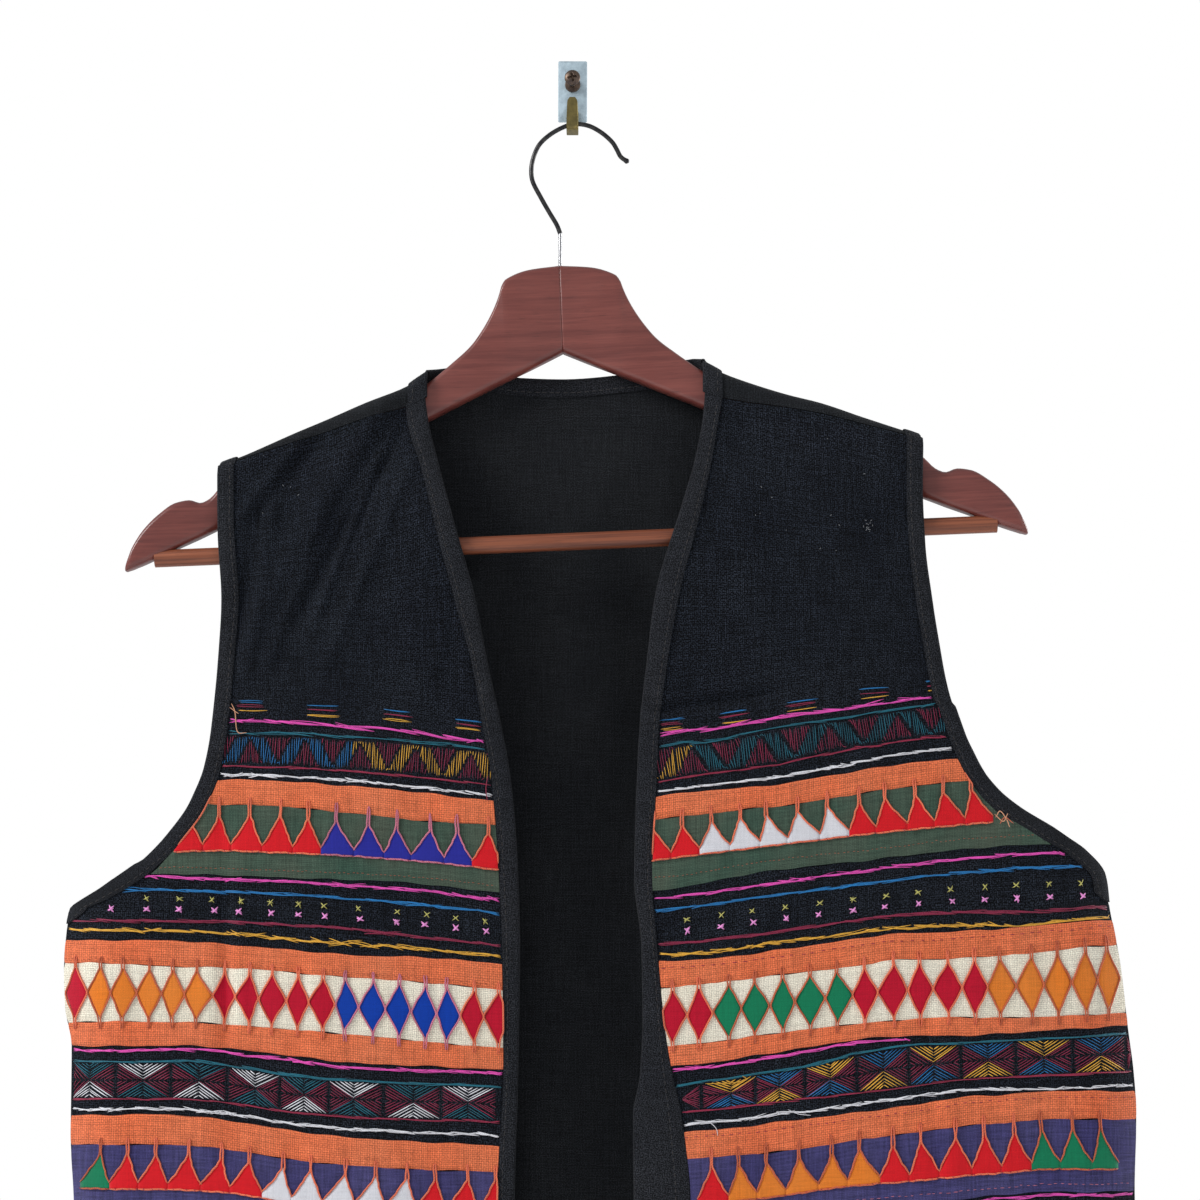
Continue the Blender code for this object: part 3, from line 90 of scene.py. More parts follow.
# How far a line across a front lies above its plain curve, in tenths of a millimetre, at eleven even places
# from the outer edge to the front seam; each row is for a line that meets the front seam at its first number
BEND_UNIT = 0.0001
BEND_STEPS = 10  # steps between the places of a row
BENDS = {
    RIGHT: (
        (-0.3300, 0, 0, 0, 2, 0, -2, 0, 0, -2, -5, -5),
        (-0.3555, 0, 0, 0, 0, 0, 0, -2, -5, -5, -5, -2),
        (-0.3666, 7, 0, 0, 0, -5, -10, -17, -24, -24, -14, -7),
        (-0.3890, 0, 10, 17, 17, 17, 17, 17, 14, 12, 7, 0),
        (-0.3995, 0, 10, 10, 7, 7, 10, 12, 14, 12, 5, 0),
        (-0.4033, 14, 19, 17, 14, 17, 17, 14, 14, 14, 5, 0),
        (-0.4098, 10, 14, 17, 19, 19, 19, 17, 14, 12, 5, 0),
        (-0.4190, 0, 7, 10, 14, 14, 14, 14, 12, 10, 5, 2),
        (-0.4250, 5, 10, 14, 19, 26, 26, 24, 19, 12, 5, 0),
        (-0.4302, 0, 2, 5, 10, 7, 0, -5, -5, 0, 0, 0),
        (-0.4335, 10, 7, 12, 14, 5, -5, -10, -10, -2, 0, 0),
        (-0.4458, 10, 10, 5, 5, 10, 5, 0, 0, 0, 0, 0),
        (-0.4731, -5, 5, 10, 17, 10, 7, 5, 0, -5, -5, 0),
        (-0.4849, 0, 0, 10, 19, 5, -10, -22, -29, -22, -12, -5),
        (-0.4918, 2, 5, 10, 19, 0, -22, -29, -29, -24, -14, -7),
        (-0.5064, -2, 5, 10, 14, 0, -22, -29, -31, -26, -14, -10),
        (-0.5150, -7, 0, 10, 12, -5, -26, -36, -36, -34, -24, -14),
        (-0.5500, -5, 0, 5, 7, 0, -24, -34, -34, -34, -24, -12),
        (-0.6200, 0, 0, 0, 0, 0, 0, 0, 0, 0, 0, 0),
    ),
    LEFT: (
        (-0.3150, 0, 0, 0, 0, 0, 0, 0, 0, 0, 0, 0),
        (-0.3242, -5, -7, -10, -14, -19, -14, -12, -14, -17, -5, 7),
        (-0.3302, 29, 29, 24, 14, 10, 10, 7, 0, -10, 0, 5),
        (-0.3457, 19, 17, 12, 7, 5, -5, -14, -14, -10, -5, -5),
        (-0.3522, 24, 19, 17, 10, -5, -10, -17, -12, -5, 0, 5),
        (-0.3555, 24, 19, 17, 12, 5, 0, -10, -7, 5, 14, 19),
        (-0.3651, 10, 10, 5, 2, -5, -10, -17, -12, -10, -2, 5),
        (-0.3856, 10, 12, 12, 12, 12, 12, 10, 10, 10, 10, 10),
        (-0.3978, 0, 7, 14, 17, 12, 7, 14, 14, 5, -10, -12),
        (-0.4032, 5, 12, 19, 19, 17, 12, 10, 2, 0, 0, 0),
        (-0.4088, 5, 12, 19, 22, 22, 17, 12, 10, 5, 0, 2),
        (-0.4165, 0, 5, 12, 17, 17, 14, 12, 7, 5, -2, -5),
        (-0.4245, 10, 5, 5, 19, 31, 34, 22, 10, 0, -5, 0),
        (-0.4301, -5, -10, -19, 0, 14, 19, 14, 10, 0, -5, 5),
        (-0.4330, 24, 19, 14, 14, 17, 29, 19, 5, -5, -5, 5),
        (-0.4455, 5, 0, -10, -5, 0, 17, 5, 5, 0, 0, 5),
        (-0.4728, 5, 5, 7, 19, 38, 36, 36, 29, 17, 5, 5),
        (-0.4830, 5, 5, 5, 10, 19, 36, 43, 29, 14, 2, 5),
        (-0.4910, 5, 7, 14, 26, 38, 53, 43, 14, 5, 0, 0),
        (-0.5037, 19, 24, 29, 34, 38, 26, 19, 14, 7, 7, 5),
        (-0.5092, 10, 14, 19, 34, 43, 34, 24, 10, 7, -2, 0),
        (-0.5128, 10, 24, 38, 41, 43, 24, 19, 10, 2, -2, 5),
        (-0.5237, -5, 10, 24, 24, 24, 12, 5, -10, -22, -19, -14),
        (-0.5475, 10, 24, 38, 38, 38, 34, 34, 29, 14, 10, 5),
        (-0.5572, 0, 14, 29, 29, 29, 29, 29, 24, 14, 10, 5),
        (-0.6200, 0, 0, 0, 0, 0, 0, 0, 0, 0, 0, 0),
    ),
}

# Front edge by height: the open edge, and the seam of the edge binding
FRONT_EDGE = {
    RIGHT: (
        # z, open edge x, binding seam x
        (-0.1440, -0.0735, -0.0840),
        (-0.1570, -0.0735, -0.0825),
        (-0.1700, -0.0720, -0.0805),
        (-0.1930, -0.0660, -0.0735),
        (-0.2260, -0.0568, -0.0650),
        (-0.2580, -0.0475, -0.0565),
        (-0.2900, -0.0408, -0.0478),
        (-0.3200, -0.0338, -0.0425),
        (-0.3450, -0.0295, -0.0382),
        (-0.3800, -0.0265, -0.0350),
        (-0.4250, -0.0250, -0.0328),
        (-0.4800, -0.0256, -0.0318),
        (-0.5440, -0.0271, -0.0344),
        (-0.6200, -0.0262, -0.0340),
        (-0.7400, -0.0235, -0.0315),
    ),
    LEFT: (
        # z, open edge x, binding seam x
        (-0.1380, 0.0655, 0.0745),
        (-0.1500, 0.0668, 0.0752),
        (-0.1640, 0.0660, 0.0730),
        (-0.1870, 0.0620, 0.0690),
        (-0.2120, 0.0550, 0.0635),
        (-0.2580, 0.0412, 0.0519),
        (-0.2860, 0.0376, 0.0470),
        (-0.3200, 0.0338, 0.0425),
        (-0.3510, 0.0322, 0.0410),
        (-0.3920, 0.0312, 0.0388),
        (-0.4240, 0.0345, 0.0411),
        (-0.4600, 0.0350, 0.0442),
        (-0.4840, 0.0338, 0.0478),
        (-0.5020, 0.0305, 0.0520),
        (-0.5440, 0.0308, 0.0565),
        (-0.6200, 0.0330, 0.0510),
        (-0.7400, 0.0345, 0.0430),
    ),
}

# Outer edge by height: the armhole down to the underarm, then the side seam
OUTER_EDGE = {
    RIGHT: (
        # z, x
        (-0.1900, -0.1722),
        (-0.2268, -0.1710),
        (-0.2587, -0.1688),
        (-0.2810, -0.1698),
        (-0.3200, -0.1730),
        (-0.3390, -0.1762),
        (-0.3570, -0.1830),
        (-0.3710, -0.1930),
        (-0.3860, -0.2075),
        (-0.3970, -0.2240),
        (-0.4080, -0.2420),
        (-0.4150, -0.2436),
        (-0.4350, -0.2448),
        (-0.4540, -0.2438),
        (-0.4720, -0.2402),
        (-0.5150, -0.2396),
        (-0.5450, -0.2374),
        (-0.6500, -0.2350),
        (-0.7400, -0.2340),
    ),
    LEFT: (
        # z, x
        (-0.1770, 0.1715),
        (-0.2080, 0.1705),
        (-0.2310, 0.1712),
        (-0.2587, 0.1744),
        (-0.2810, 0.1778),
        (-0.3000, 0.1812),
        (-0.3200, 0.1876),
        (-0.3370, 0.1948),
        (-0.3510, 0.2052),
        (-0.3610, 0.2175),
        (-0.3700, 0.2335),
        (-0.3800, 0.2480),
        (-0.3910, 0.2580),
        (-0.4060, 0.2602),
        (-0.4300, 0.2647),
        (-0.4600, 0.2678),
        (-0.5020, 0.2712),
        (-0.5450, 0.2695),
        (-0.6500, 0.2715),
        (-0.7400, 0.2725),
    ),
}

# Levels of the cloth: the height of a line across a front, at its front edge and at its outer edge
LEVELS = {
    # name: (right front edge, right outer), (left front edge, left outer)
    "shoulder": ((-0.1590, -0.1930), (-0.1560, -0.1790)),
    "yoke": ((-0.2350, -0.2530), (-0.2320, -0.2410)),
    "first dash": ((-0.3216, -0.3081), (-0.3160, -0.3005)),
    "last dash": ((-0.3262, -0.3126), (-0.3204, -0.3049)),
    "first pink": ((-0.3272, -0.3170), (-0.3242, -0.3049)),
    "first teal": ((-0.3302, -0.3228), (-0.3302, -0.3117)),
    "upright top": ((-0.3317, -0.3242), (-0.3312, -0.3127)),
    "upright base": ((-0.3462, -0.3380), (-0.3457, -0.3245)),
    "dark red": ((-0.3478, -0.3390), (-0.3467, -0.3257)),
    "first white": ((-0.3529, -0.3431), (-0.3522, -0.3320)),
    "first orange": ((-0.3555, -0.3455), (-0.3555, -0.3370)),
    "green": ((-0.3666, -0.3575), (-0.3651, -0.3465)),
    "green patches base": ((-0.3890, -0.3810), (-0.3856, -0.3660)),
    "green base": ((-0.3995, -0.3915), (-0.3978, -0.3765)),
    "second pink": ((-0.4033, -0.3938), (-0.4032, -0.3809)),
    "blue": ((-0.4098, -0.3997), (-0.4088, -0.3875)),
    "green crosses": ((-0.4143, -0.4033), (-0.4140, -0.3950)),
    "pink crosses": ((-0.4190, -0.4080), (-0.4190, -0.4010)),
    "underarm": ((-0.4250, -0.4090), (-0.4250, -0.3985)),
    "maroon": ((-0.4250, -0.4140), (-0.4245, -0.4071)),
    "gold": ((-0.4302, -0.4176), (-0.4301, -0.4112)),
    "second orange": ((-0.4335, -0.4230), (-0.4330, -0.4148)),
    "cream": ((-0.4458, -0.4341), (-0.4455, -0.4250)),
    "third orange": ((-0.4731, -0.4612), (-0.4728, -0.4574)),
    "third orange base": ((-0.4830, -0.4725), (-0.4823, -0.4634)),
    "third pink": ((-0.4849, -0.4745), (-0.4842, -0.4650)),
    "third teal": ((-0.4910, -0.4800), (-0.4910, -0.4672)),
    "nest top": ((-0.4918, -0.4808), (-0.4920, -0.4682)),
    "nest base": ((-0.5064, -0.4968), (-0.5035, -0.4859)),
    "third dark red": ((-0.5072, -0.4976), (-0.5040, -0.4866)),
    "third white": ((-0.5129, -0.5020), (-0.5092, -0.4922)),
    "fourth orange": ((-0.5177, -0.5046), (-0.5128, -0.4950)),
    "navy": ((-0.5300, -0.5185), (-0.5237, -0.5068)),
    "navy patches base": ((-0.5498, -0.5389), (-0.5475, -0.5315)),
    "navy base": ((-0.5594, -0.5485), (-0.5572, -0.5410)),
    "fourth pink": ((-0.5612, -0.5502), (-0.5590, -0.5425)),
    "fourth white": ((-0.5662, -0.5555), (-0.5640, -0.5475)),
    "hem top": ((-0.7240, -0.7140), (-0.7250, -0.7060)),
    "hem": ((-0.7360, -0.7260), (-0.7370, -0.7180)),
}
PANEL_LEVELS = (
    # level that a front panel runs through, rows of its grid from there to the next
    ("shoulder", 56),
    ("yoke", 46),
    ("first dash", 56),
    ("underarm", 60),
    ("navy base", 30),
    ("hem top", 4),
    ("hem", 0),
)
PANEL_ACROSS = 130

# Shoulder line of the cloth from the neck to the armhole, and the seam on its front
SHOULDER = {
    RIGHT: (
        # x, top z, seam z
        (-0.0722, -0.1424, -0.1562),
        (-0.0823, -0.1495, -0.1608),
        (-0.1050, -0.1596, -0.1690),
        (-0.1350, -0.1735, -0.1797),
        (-0.1626, -0.1868, -0.1893),
        (-0.1725, -0.1906, -0.1930),
    ),
    LEFT: (
        # x, top z, seam z
        (0.0656, -0.1372, -0.1536),
        (0.0746, -0.1424, -0.1566),
        (0.0875, -0.1475, -0.1590),
        (0.1063, -0.1540, -0.1622),
        (0.1231, -0.1588, -0.1657),
        (0.1429, -0.1661, -0.1712),
        (0.1717, -0.1765, -0.1788),
    ),
}
BACK_NECK = (
    # x, z of the open edge behind the neck
    (-0.0722, -0.1410),
    (-0.0670, -0.1390),
    (-0.0590, -0.1380),
    (-0.0440, -0.1402),
    (-0.0250, -0.1427),
    (-0.0060, -0.1432),
    (0.0300, -0.1405),
    (0.0460, -0.1376),
    (0.0540, -0.1345),
    (0.0605, -0.1336),
    (0.0656, -0.1352),
)

# Depth of the cloth's outer faces
FRONT_DEPTH = (
    # z, at the front edge, at the middle, at the outer edge
    (-0.1450, -0.0264, -0.0315, -0.0378),
    (-0.1800, -0.0300, -0.0340, -0.0385),
    (-0.2100, -0.0385, -0.0398, -0.0400),
    (-0.2300, -0.0402, -0.0405, -0.0405),
    (-0.2700, -0.0385, -0.0395, -0.0390),
    (-0.3600, -0.0360, -0.0380, -0.0345),
    (-0.4500, -0.0345, -0.0370, -0.0330),
    (-0.5500, -0.0340, -0.0365, -0.0325),
    (-0.7400, -0.0330, -0.0355, -0.0320),
)
BACK_DEPTH = (
    # z, at the centre, at the armhole or side
    (-0.1450, -0.0045, -0.0192),
    (-0.2500, -0.0045, -0.0165),
    (-0.4200, -0.0045, -0.0080),
    (-0.7400, -0.0045, -0.0070),
)
SIDE_SEAM_DEPTH = (
    # z, y
    (-0.1450, -0.0240),
    (-0.4200, -0.0215),
    (-0.7400, -0.0200),
)

# Folds: from a top point to a low point, with a width and a rise towards the viewer
FRONT_FOLDS = (
    # x top, z top, x low, z low, width, rise
    (-0.0855, -0.1680, -0.1340, -0.2600, 0.0085, -0.0042),
    (-0.0960, -0.1700, -0.1460, -0.2620, 0.0100, 0.0030),
    (-0.1250, -0.1800, -0.1600, -0.2680, 0.0100, -0.0022),
    (-0.0700, -0.2300, -0.0900, -0.3300, 0.0160, 0.0016),
    (-0.1650, -0.4050, -0.1610, -0.4700, 0.0160, -0.0010),
    (-0.0900, -0.5700, -0.0950, -0.7100, 0.0260, 0.0030),
    (-0.1750, -0.5800, -0.1800, -0.7200, 0.0240, -0.0026),
    (-0.1100, -0.4400, -0.1120, -0.5600, 0.0300, 0.0012),
    (0.0830, -0.1650, 0.0700, -0.2150, 0.0090, -0.0016),
    (0.0900, -0.3050, 0.0350, -0.3120, 0.0060, -0.0016),
    (0.1250, -0.2000, 0.1200, -0.3000, 0.0200, 0.0016),
    (0.1850, -0.5800, 0.1880, -0.7100, 0.0260, 0.0030),
    (0.0950, -0.5700, 0.0980, -0.7200, 0.0240, -0.0026),
    (0.1500, -0.4200, 0.1520, -0.5600, 0.0300, 0.0012),
)
BACK_FOLDS = (
    # x top, z top, x low, z low, width, rise
    (0.0250, -0.1600, 0.0620, -0.1710, 0.0070, 0.0018),
    (-0.0500, -0.2100, -0.0750, -0.4200, 0.0200, 0.0030),
    (0.0350, -0.2300, 0.0500, -0.5200, 0.0180, -0.0026),
    (-0.0100, -0.2600, -0.0080, -0.6900, 0.0240, 0.0034),
    (0.1300, -0.2200, 0.1450, -0.6600, 0.0260, -0.0028),
    (-0.1400, -0.2400, -0.1550, -0.6800, 0.0260, -0.0026),
)
# Creases finer than the solids' folds
FRONT_CREASES = (
    # x top, z top, x low, z low, width, rise
    (-0.0890, -0.1800, -0.1020, -0.2200, 0.0026, -0.0008),
    (-0.0885, -0.1745, -0.1215, -0.2640, 0.0027, 0.0018),
    (-0.0955, -0.1880, -0.1370, -0.2640, 0.0027, 0.0017),
    (-0.0920, -0.1900, -0.1200, -0.2660, 0.0024, -0.0009),
    (-0.1225, -0.2240, -0.1450, -0.2860, 0.0038, 0.0019),
    (-0.0780, -0.1900, -0.1010, -0.2480, 0.0036, 0.0016),
    (-0.1000, -0.2450, -0.1180, -0.2900, 0.0036, 0.0014),
    (-0.1250, -0.1810, -0.1520, -0.2160, 0.0034, -0.0009),
    (-0.1350, -0.1830, -0.1590, -0.2160, 0.0032, 0.0016),
    (-0.1520, -0.2120, -0.1630, -0.2850, 0.0034, -0.0009),
    (-0.1450, -0.2160, -0.1560, -0.2900, 0.0040, 0.0016),
    (-0.0560, -0.2550, -0.0600, -0.3050, 0.0040, -0.0008),
    (-0.1700, -0.3400, -0.1650, -0.4060, 0.0040, -0.0008),
    (-0.1655, -0.4060, -0.1640, -0.4650, 0.0038, -0.0016),
    (-0.1590, -0.3900, -0.1570, -0.4750, 0.0042, 0.0012),
    (-0.1720, -0.4300, -0.1730, -0.5200, 0.0046, 0.0010),
    (0.1760, -0.4700, 0.1820, -0.5500, 0.0044, 0.0012),
    (0.1690, -0.4600, 0.1740, -0.5500, 0.0038, -0.0010),
    (-0.1215, -0.4300, -0.1235, -0.4900, 0.0050, 0.0005),
    (-0.0720, -0.3900, -0.0700, -0.5000, 0.0060, 0.0005),
    (-0.2050, -0.4200, -0.2080, -0.5100, 0.0070, -0.0006),
    (-0.0560, -0.2700, -0.0800, -0.3150, 0.0045, 0.0005),
    (0.0380, -0.3125, 0.0960, -0.3035, 0.0024, -0.0022),
    (0.0420, -0.3090, 0.0900, -0.3010, 0.0034, 0.0008),
    (0.0760, -0.1750, 0.0850, -0.2300, 0.0060, 0.0008),
    (0.1450, -0.1950, 0.1520, -0.2600, 0.0060, -0.0007),
    (0.1020, -0.2500, 0.1080, -0.3000, 0.0055, -0.0005),
    (0.0800, -0.4300, 0.0780, -0.5100, 0.0060, 0.0005),
    (0.1220, -0.3500, 0.1260, -0.4300, 0.0060, -0.0006),
    (0.1900, -0.3900, 0.1960, -0.4700, 0.0060, 0.0006),
    (0.2300, -0.4200, 0.2270, -0.5100, 0.0070, -0.0007),
    (-0.0560, -0.5900, -0.0600, -0.7300, 0.0080, 0.0010),
    (-0.1320, -0.6000, -0.1340, -0.7300, 0.0100, -0.0009),
    (0.0720, -0.5900, 0.0760, -0.7300, 0.0090, 0.0009),
    (0.1420, -0.6000, 0.1450, -0.7300, 0.0100, -0.0010),
)
BACK_CREASES = (
    # x top, z top, x low, z low, width, rise
    (-0.0200, -0.1650, 0.0500, -0.1600, 0.0040, 0.0009),
    (-0.0350, -0.1720, 0.0300, -0.1700, 0.0045, -0.0007),
    (0.0500, -0.1900, 0.0420, -0.2500, 0.0060, 0.0008),
    (-0.0150, -0.3000, -0.0180, -0.4600, 0.0070, 0.0008),
    (0.0120, -0.3600, 0.0150, -0.5400, 0.0080, -0.0008),
    (-0.1000, -0.1950, -0.1150, -0.2800, 0.0060, 0.0010),
    (0.1050, -0.1850, 0.1180, -0.2700, 0.0070, -0.0009),
    (-0.1900, -0.4200, -0.1850, -0.5500, 0.0090, 0.0010),
    (0.2050, -0.4100, 0.2000, -0.5600, 0.0090, 0.0010),
    (-0.0900, -0.5500, -0.0950, -0.7300, 0.0110, 0.0011),
    (0.0900, -0.5600, 0.0860, -0.7300, 0.0120, -0.0010),
    (-0.0620, -0.3350, -0.0820, -0.7400, 0.0140, 0.0060),
    (0.0430, -0.3900, 0.0560, -0.7400, 0.0120, 0.0054),
    (0.1540, -0.4000, 0.1660, -0.7200, 0.0130, 0.0056),
    (-0.1720, -0.4350, -0.1800, -0.7400, 0.0120, 0.0054),
    (-0.0180, -0.5200, -0.0230, -0.7400, 0.0090, 0.0042),
    (0.1060, -0.5300, 0.1120, -0.7400, 0.0100, 0.0046),
    (-0.1260, -0.5600, -0.1310, -0.7400, 0.0085, 0.0040),
    (-0.0480, -0.2450, -0.1420, -0.3550, 0.0075, 0.0036),
    (-0.0850, -0.3100, -0.1620, -0.3900, 0.0070, 0.0032),
    (0.0560, -0.2600, 0.1380, -0.3650, 0.0070, 0.0034),
    (0.0980, -0.3300, 0.1760, -0.4050, 0.0075, 0.0032),
)


# Grid of the back: the same rows and columns as the solid's, finer
BACK_SHOULDER_STEPS = 20
BACK_NECK_STEPS = 30
BACK_ROLL = (0, 12, 24, 36, 48, 60, 72, 84, 90, 96, 108, 120, 130)  # degrees over the shoulder
BACK_FALL_STEPS = 60
BACK_SKIRT_STEPS = 60

# Bindings and strips
SEAM_STITCH = 0.26  # how far in from its seam a binding is stitched, in shares of its width
SEAM_STITCH_STEP = 0.0036
SEAM_STITCH_LENGTH = 0.0026
SEAM_STITCH_RADIUS = 0.00017
CORNER_DROP = 0.0056
STRIPS = (
    # strip, level of its top, level of its base
    ("first_orange", "first orange", "green"),
    ("green", "green", "green base"),
    ("second_orange", "second orange", "cream"),
    ("cream", "cream", "third orange"),
    ("third_orange", "third orange", "third orange base"),
    ("fourth_orange", "fourth orange", "navy"),
    ("navy", "navy", "navy base"),
)
STRIP_ACROSS, STRIP_DOWN = 150, 12
EDGE_WAVER = 0.00035  # how far a strip's turned edge strays from its line
# Rows of patches: centres follow each other evenly, colours are given from the first x to the last
PATCHES = {
    # strip: (shape, level of the patches' base, first x, last x, ((colour, count), ...))
    (RIGHT, "green"): (
        "triangle",
        "green patches base",
        -0.1835,
        -0.0397,
        (("red", 5), ("violet", 5), ("red", 1)),
    ),
    (RIGHT, "cream"): (
        "diamond",
        "third orange",
        -0.2365,
        -0.0350,
        (("crimson", 1), ("orange", 5), ("crimson", 5), ("cobalt", 5), ("crimson", 2)),
    ),
    (RIGHT, "navy"): (
        "triangle",
        "navy patches base",
        -0.2257,
        -0.0367,
        (("green", 1), ("red", 5), ("white", 5), ("red", 3)),
    ),
    (LEFT, "green"): (
        "triangle",
        "green patches base",
        0.0414,
        0.1961,
        (("red", 2), ("white", 5), ("red", 5)),
    ),
    (LEFT, "cream"): (
        "diamond",
        "third orange",
        0.0489,
        0.2576,
        (("crimson", 2), ("green", 5), ("crimson", 5), ("orange", 5)),
    ),
    (LEFT, "navy"): (
        "triangle",
        "navy patches base",
        0.0670,
        0.2532,
        (("red", 1), ("orange", 5), ("red", 5), ("green", 3)),
    ),
}

# Shape of the patches, and the pitch of their cloth's threads
PATCH_PITCH = 0.00036
PATCH_LEAN = {(LEFT, "green"): -0.20, (RIGHT, "navy"): 0.13, (LEFT, "navy"): -0.12}  # of a patch's width
PATCH_TOP = {"triangle": 0.21, "diamond": 0.07}
PATCH_BASE = {"triangle": 1.0, "diamond": 0.93}
NOTCH = 0.86  # how far down the strip of a row of triangles the notches between them reach

# Wooden hanger, hung with its left end up
TILT = math.radians(2.4)
CROWN = (-0.0064, -0.0863)
ARM_PROFILE = (
    # distance out, top below the crown, underside below the crown
    (0.0002, 0.0000, 0.0447),
    (0.0150, 0.0016, 0.0517),
    (0.0275, 0.0062, 0.0574),
    (0.0298, 0.0095, 0.0585),
    (0.0315, 0.0148, 0.0593),
    (0.0350, 0.0228, 0.0609),
    (0.0400, 0.0314, 0.0633),
    (0.0465, 0.0400, 0.0664),
    (0.0553, 0.0478, 0.0706),
    (0.0680, 0.0578, 0.0768),
    (0.0800, 0.0653, 0.0827),
    (0.1200, 0.0828, 0.1024),
    (0.1720, 0.1073, 0.1280),
    (0.1785, 0.1140, 0.1310),
    (0.1832, 0.1160, 0.1332),
    (0.1885, 0.1145, 0.1355),
    (0.1950, 0.1156, 0.1383),
    (0.2040, 0.1215, 0.1425),
    (0.2115, 0.1290, 0.1458),
    (0.2170, 0.1375, 0.1480),
    (0.2205, 0.1455, 0.1500),
)
ARM_HALF = 0.0054
ARM_END = 0.004  # the stretch over which an arm is drawn in at its end
ARM_GROOVE = 0.00025  # how far each arm sinks where the two are glued
ARM_ROUNDING = 0.0036
ARM_CENTRE_DEPTH = -0.0122
ARM_SWEEP = 0.0210
ARM_SWEEP_POWER = 1.2
ARM_REACH = {RIGHT: 0.985, LEFT: 1.012}
ARM_LENGTH = 0.2205
BAR_DROP = 0.1430
BAR_REACH = 0.2060
BAR_RADIUS = 0.0043
BAR_DEPTH = -0.0325
WIRE_RADIUS = 0.0011
WIRE_TIP = 0.00135  # radius of the round drop at the wire's end
WIRE_PAINT = 0.00005
SHANK_RADIUS = 0.00085
WIRE_FOOT_X = -0.0061
WIRE_FOOT = -0.1000
WIRE_FOOT_TOP = -0.0690
WIRE_POINTS = (
    # x, z
    (0.0286, -0.0322),
    (0.0246, -0.0293),
    (0.0226, -0.0256),
    (0.0201, -0.0215),
    (0.0150, -0.0168),
    (0.0084, -0.0131),
    (0.0013, -0.0121),
    (-0.0042, -0.0136),
    (-0.0108, -0.0173),
    (-0.0164, -0.0225),
    (-0.0194, -0.0288),
    (-0.0207, -0.0355),
    (-0.0200, -0.0421),
    (-0.0163, -0.0496),
    (-0.0117, -0.0579),
    (-0.0079, -0.0644),
)

# Plate, tongue and screw on the wall
PLATE_WIDTH = 0.0148
PLATE_TOP = 0.0248
PLATE_BOTTOM = -0.0075
PLATE_THICKNESS = 0.0010
SCREW_HEIGHT = 0.0120
SCREW_RADIUS = 0.0019
SCREW_HEAD_RADIUS = 0.0040
SCREW_HEAD_DEPTH = -0.0125
SCREW_HEAD_THICKNESS = 0.0023
COLLAR_THICKNESS = 0.0010
TONGUE_WIDTH = 0.0060
TONGUE_STRIP = 0.0010
TONGUE_TIP = 0.0012
TONGUE_FRONT = -0.0150
TONGUE_BEND = 0.0030
TONGUE_FRONT_BEND = 0.0026
TONGUE_RISE = 0.0130
WIRE_REST = -0.0130
METAL_GAP = 0.0003

# Stitching
CORD_RADIUS = 0.00043
NECK_HALF = 0.0005  # half the distance between the two cords of a neck
FLOSS = (
    # level, colour, stitches side by side, spread, radius, mean stitch length
    ("first pink", "pink", 3, 0.0011, 0.00019, 0.020),
    ("first teal", "teal", 2, 0.0009, 0.00016, 0.026),
    ("dark red", "dark_red", 2, 0.0006, 0.00016, 0.018),
    ("first white", "white", 3, 0.0008, 0.00018, 0.0105),
    ("second pink", "pink", 3, 0.0009, 0.00019, 0.0140),
    ("blue", "blue", 3, 0.0008, 0.00019, 0.0170),
    ("maroon", "maroon", 3, 0.0008, 0.00018, 0.0180),
    ("gold", "gold", 3, 0.0010, 0.00019, 0.0125),
    ("third pink", "pink", 3, 0.0008, 0.00019, 0.0140),
    ("third teal", "teal", 3, 0.0006, 0.00017, 0.020),
    ("third dark red", "dark_red", 2, 0.0005, 0.00017, 0.018),
    ("third white", "white", 3, 0.0008, 0.00018, 0.0115),
    ("fourth pink", "pink", 3, 0.0009, 0.00019, 0.014),
    ("fourth white", "white", 3, 0.0008, 0.00018, 0.0115),
)
RUNNING = (
    # side, top level, base level, share of the way down, colour, stitch, radius, lift
    (LEFT, "first orange", "green", 0.16, "rust", 0.0016, 0.00014, 0.0012),
    (LEFT, "second orange", "cream", 0.26, "dark_red", 0.0028, 0.00017, 0.0012),
    (RIGHT, "second orange", "cream", 0.82, "rust", 0.0018, 0.00013, 0.0012),
    (LEFT, "fourth orange", "navy", 0.22, "dark_red", 0.0024, 0.00016, 0.0012),
    (LEFT, "navy patches base", "navy base", 0.66, "violet_pink", 0.0019, 0.00016, 0.0012),
    (LEFT, "green patches base", "green base", 0.60, "rust", 0.0013, 0.00011, 0.0012),
    (RIGHT, "green patches base", "green base", 0.72, "rust", 0.0013, 0.00011, 0.0012),
)
LINT = (
    # x, z of bits of lint; the last is a heap of them
    *((0.1255, -0.1788), (0.1430, -0.1968), (0.0927, -0.2032), (0.0977, -0.2085), (0.0896, -0.2174)),
    *((0.0918, -0.2165), (0.1262, -0.2176), (0.1045, -0.2248), (0.1302, -0.2226), (0.1208, -0.2340)),
    *((0.1284, -0.2350), (-0.1408, -0.2022), (-0.1372, -0.2030), (-0.1502, -0.2160), (-0.1330, -0.2070)),
    (0.1446, -0.2226),
)
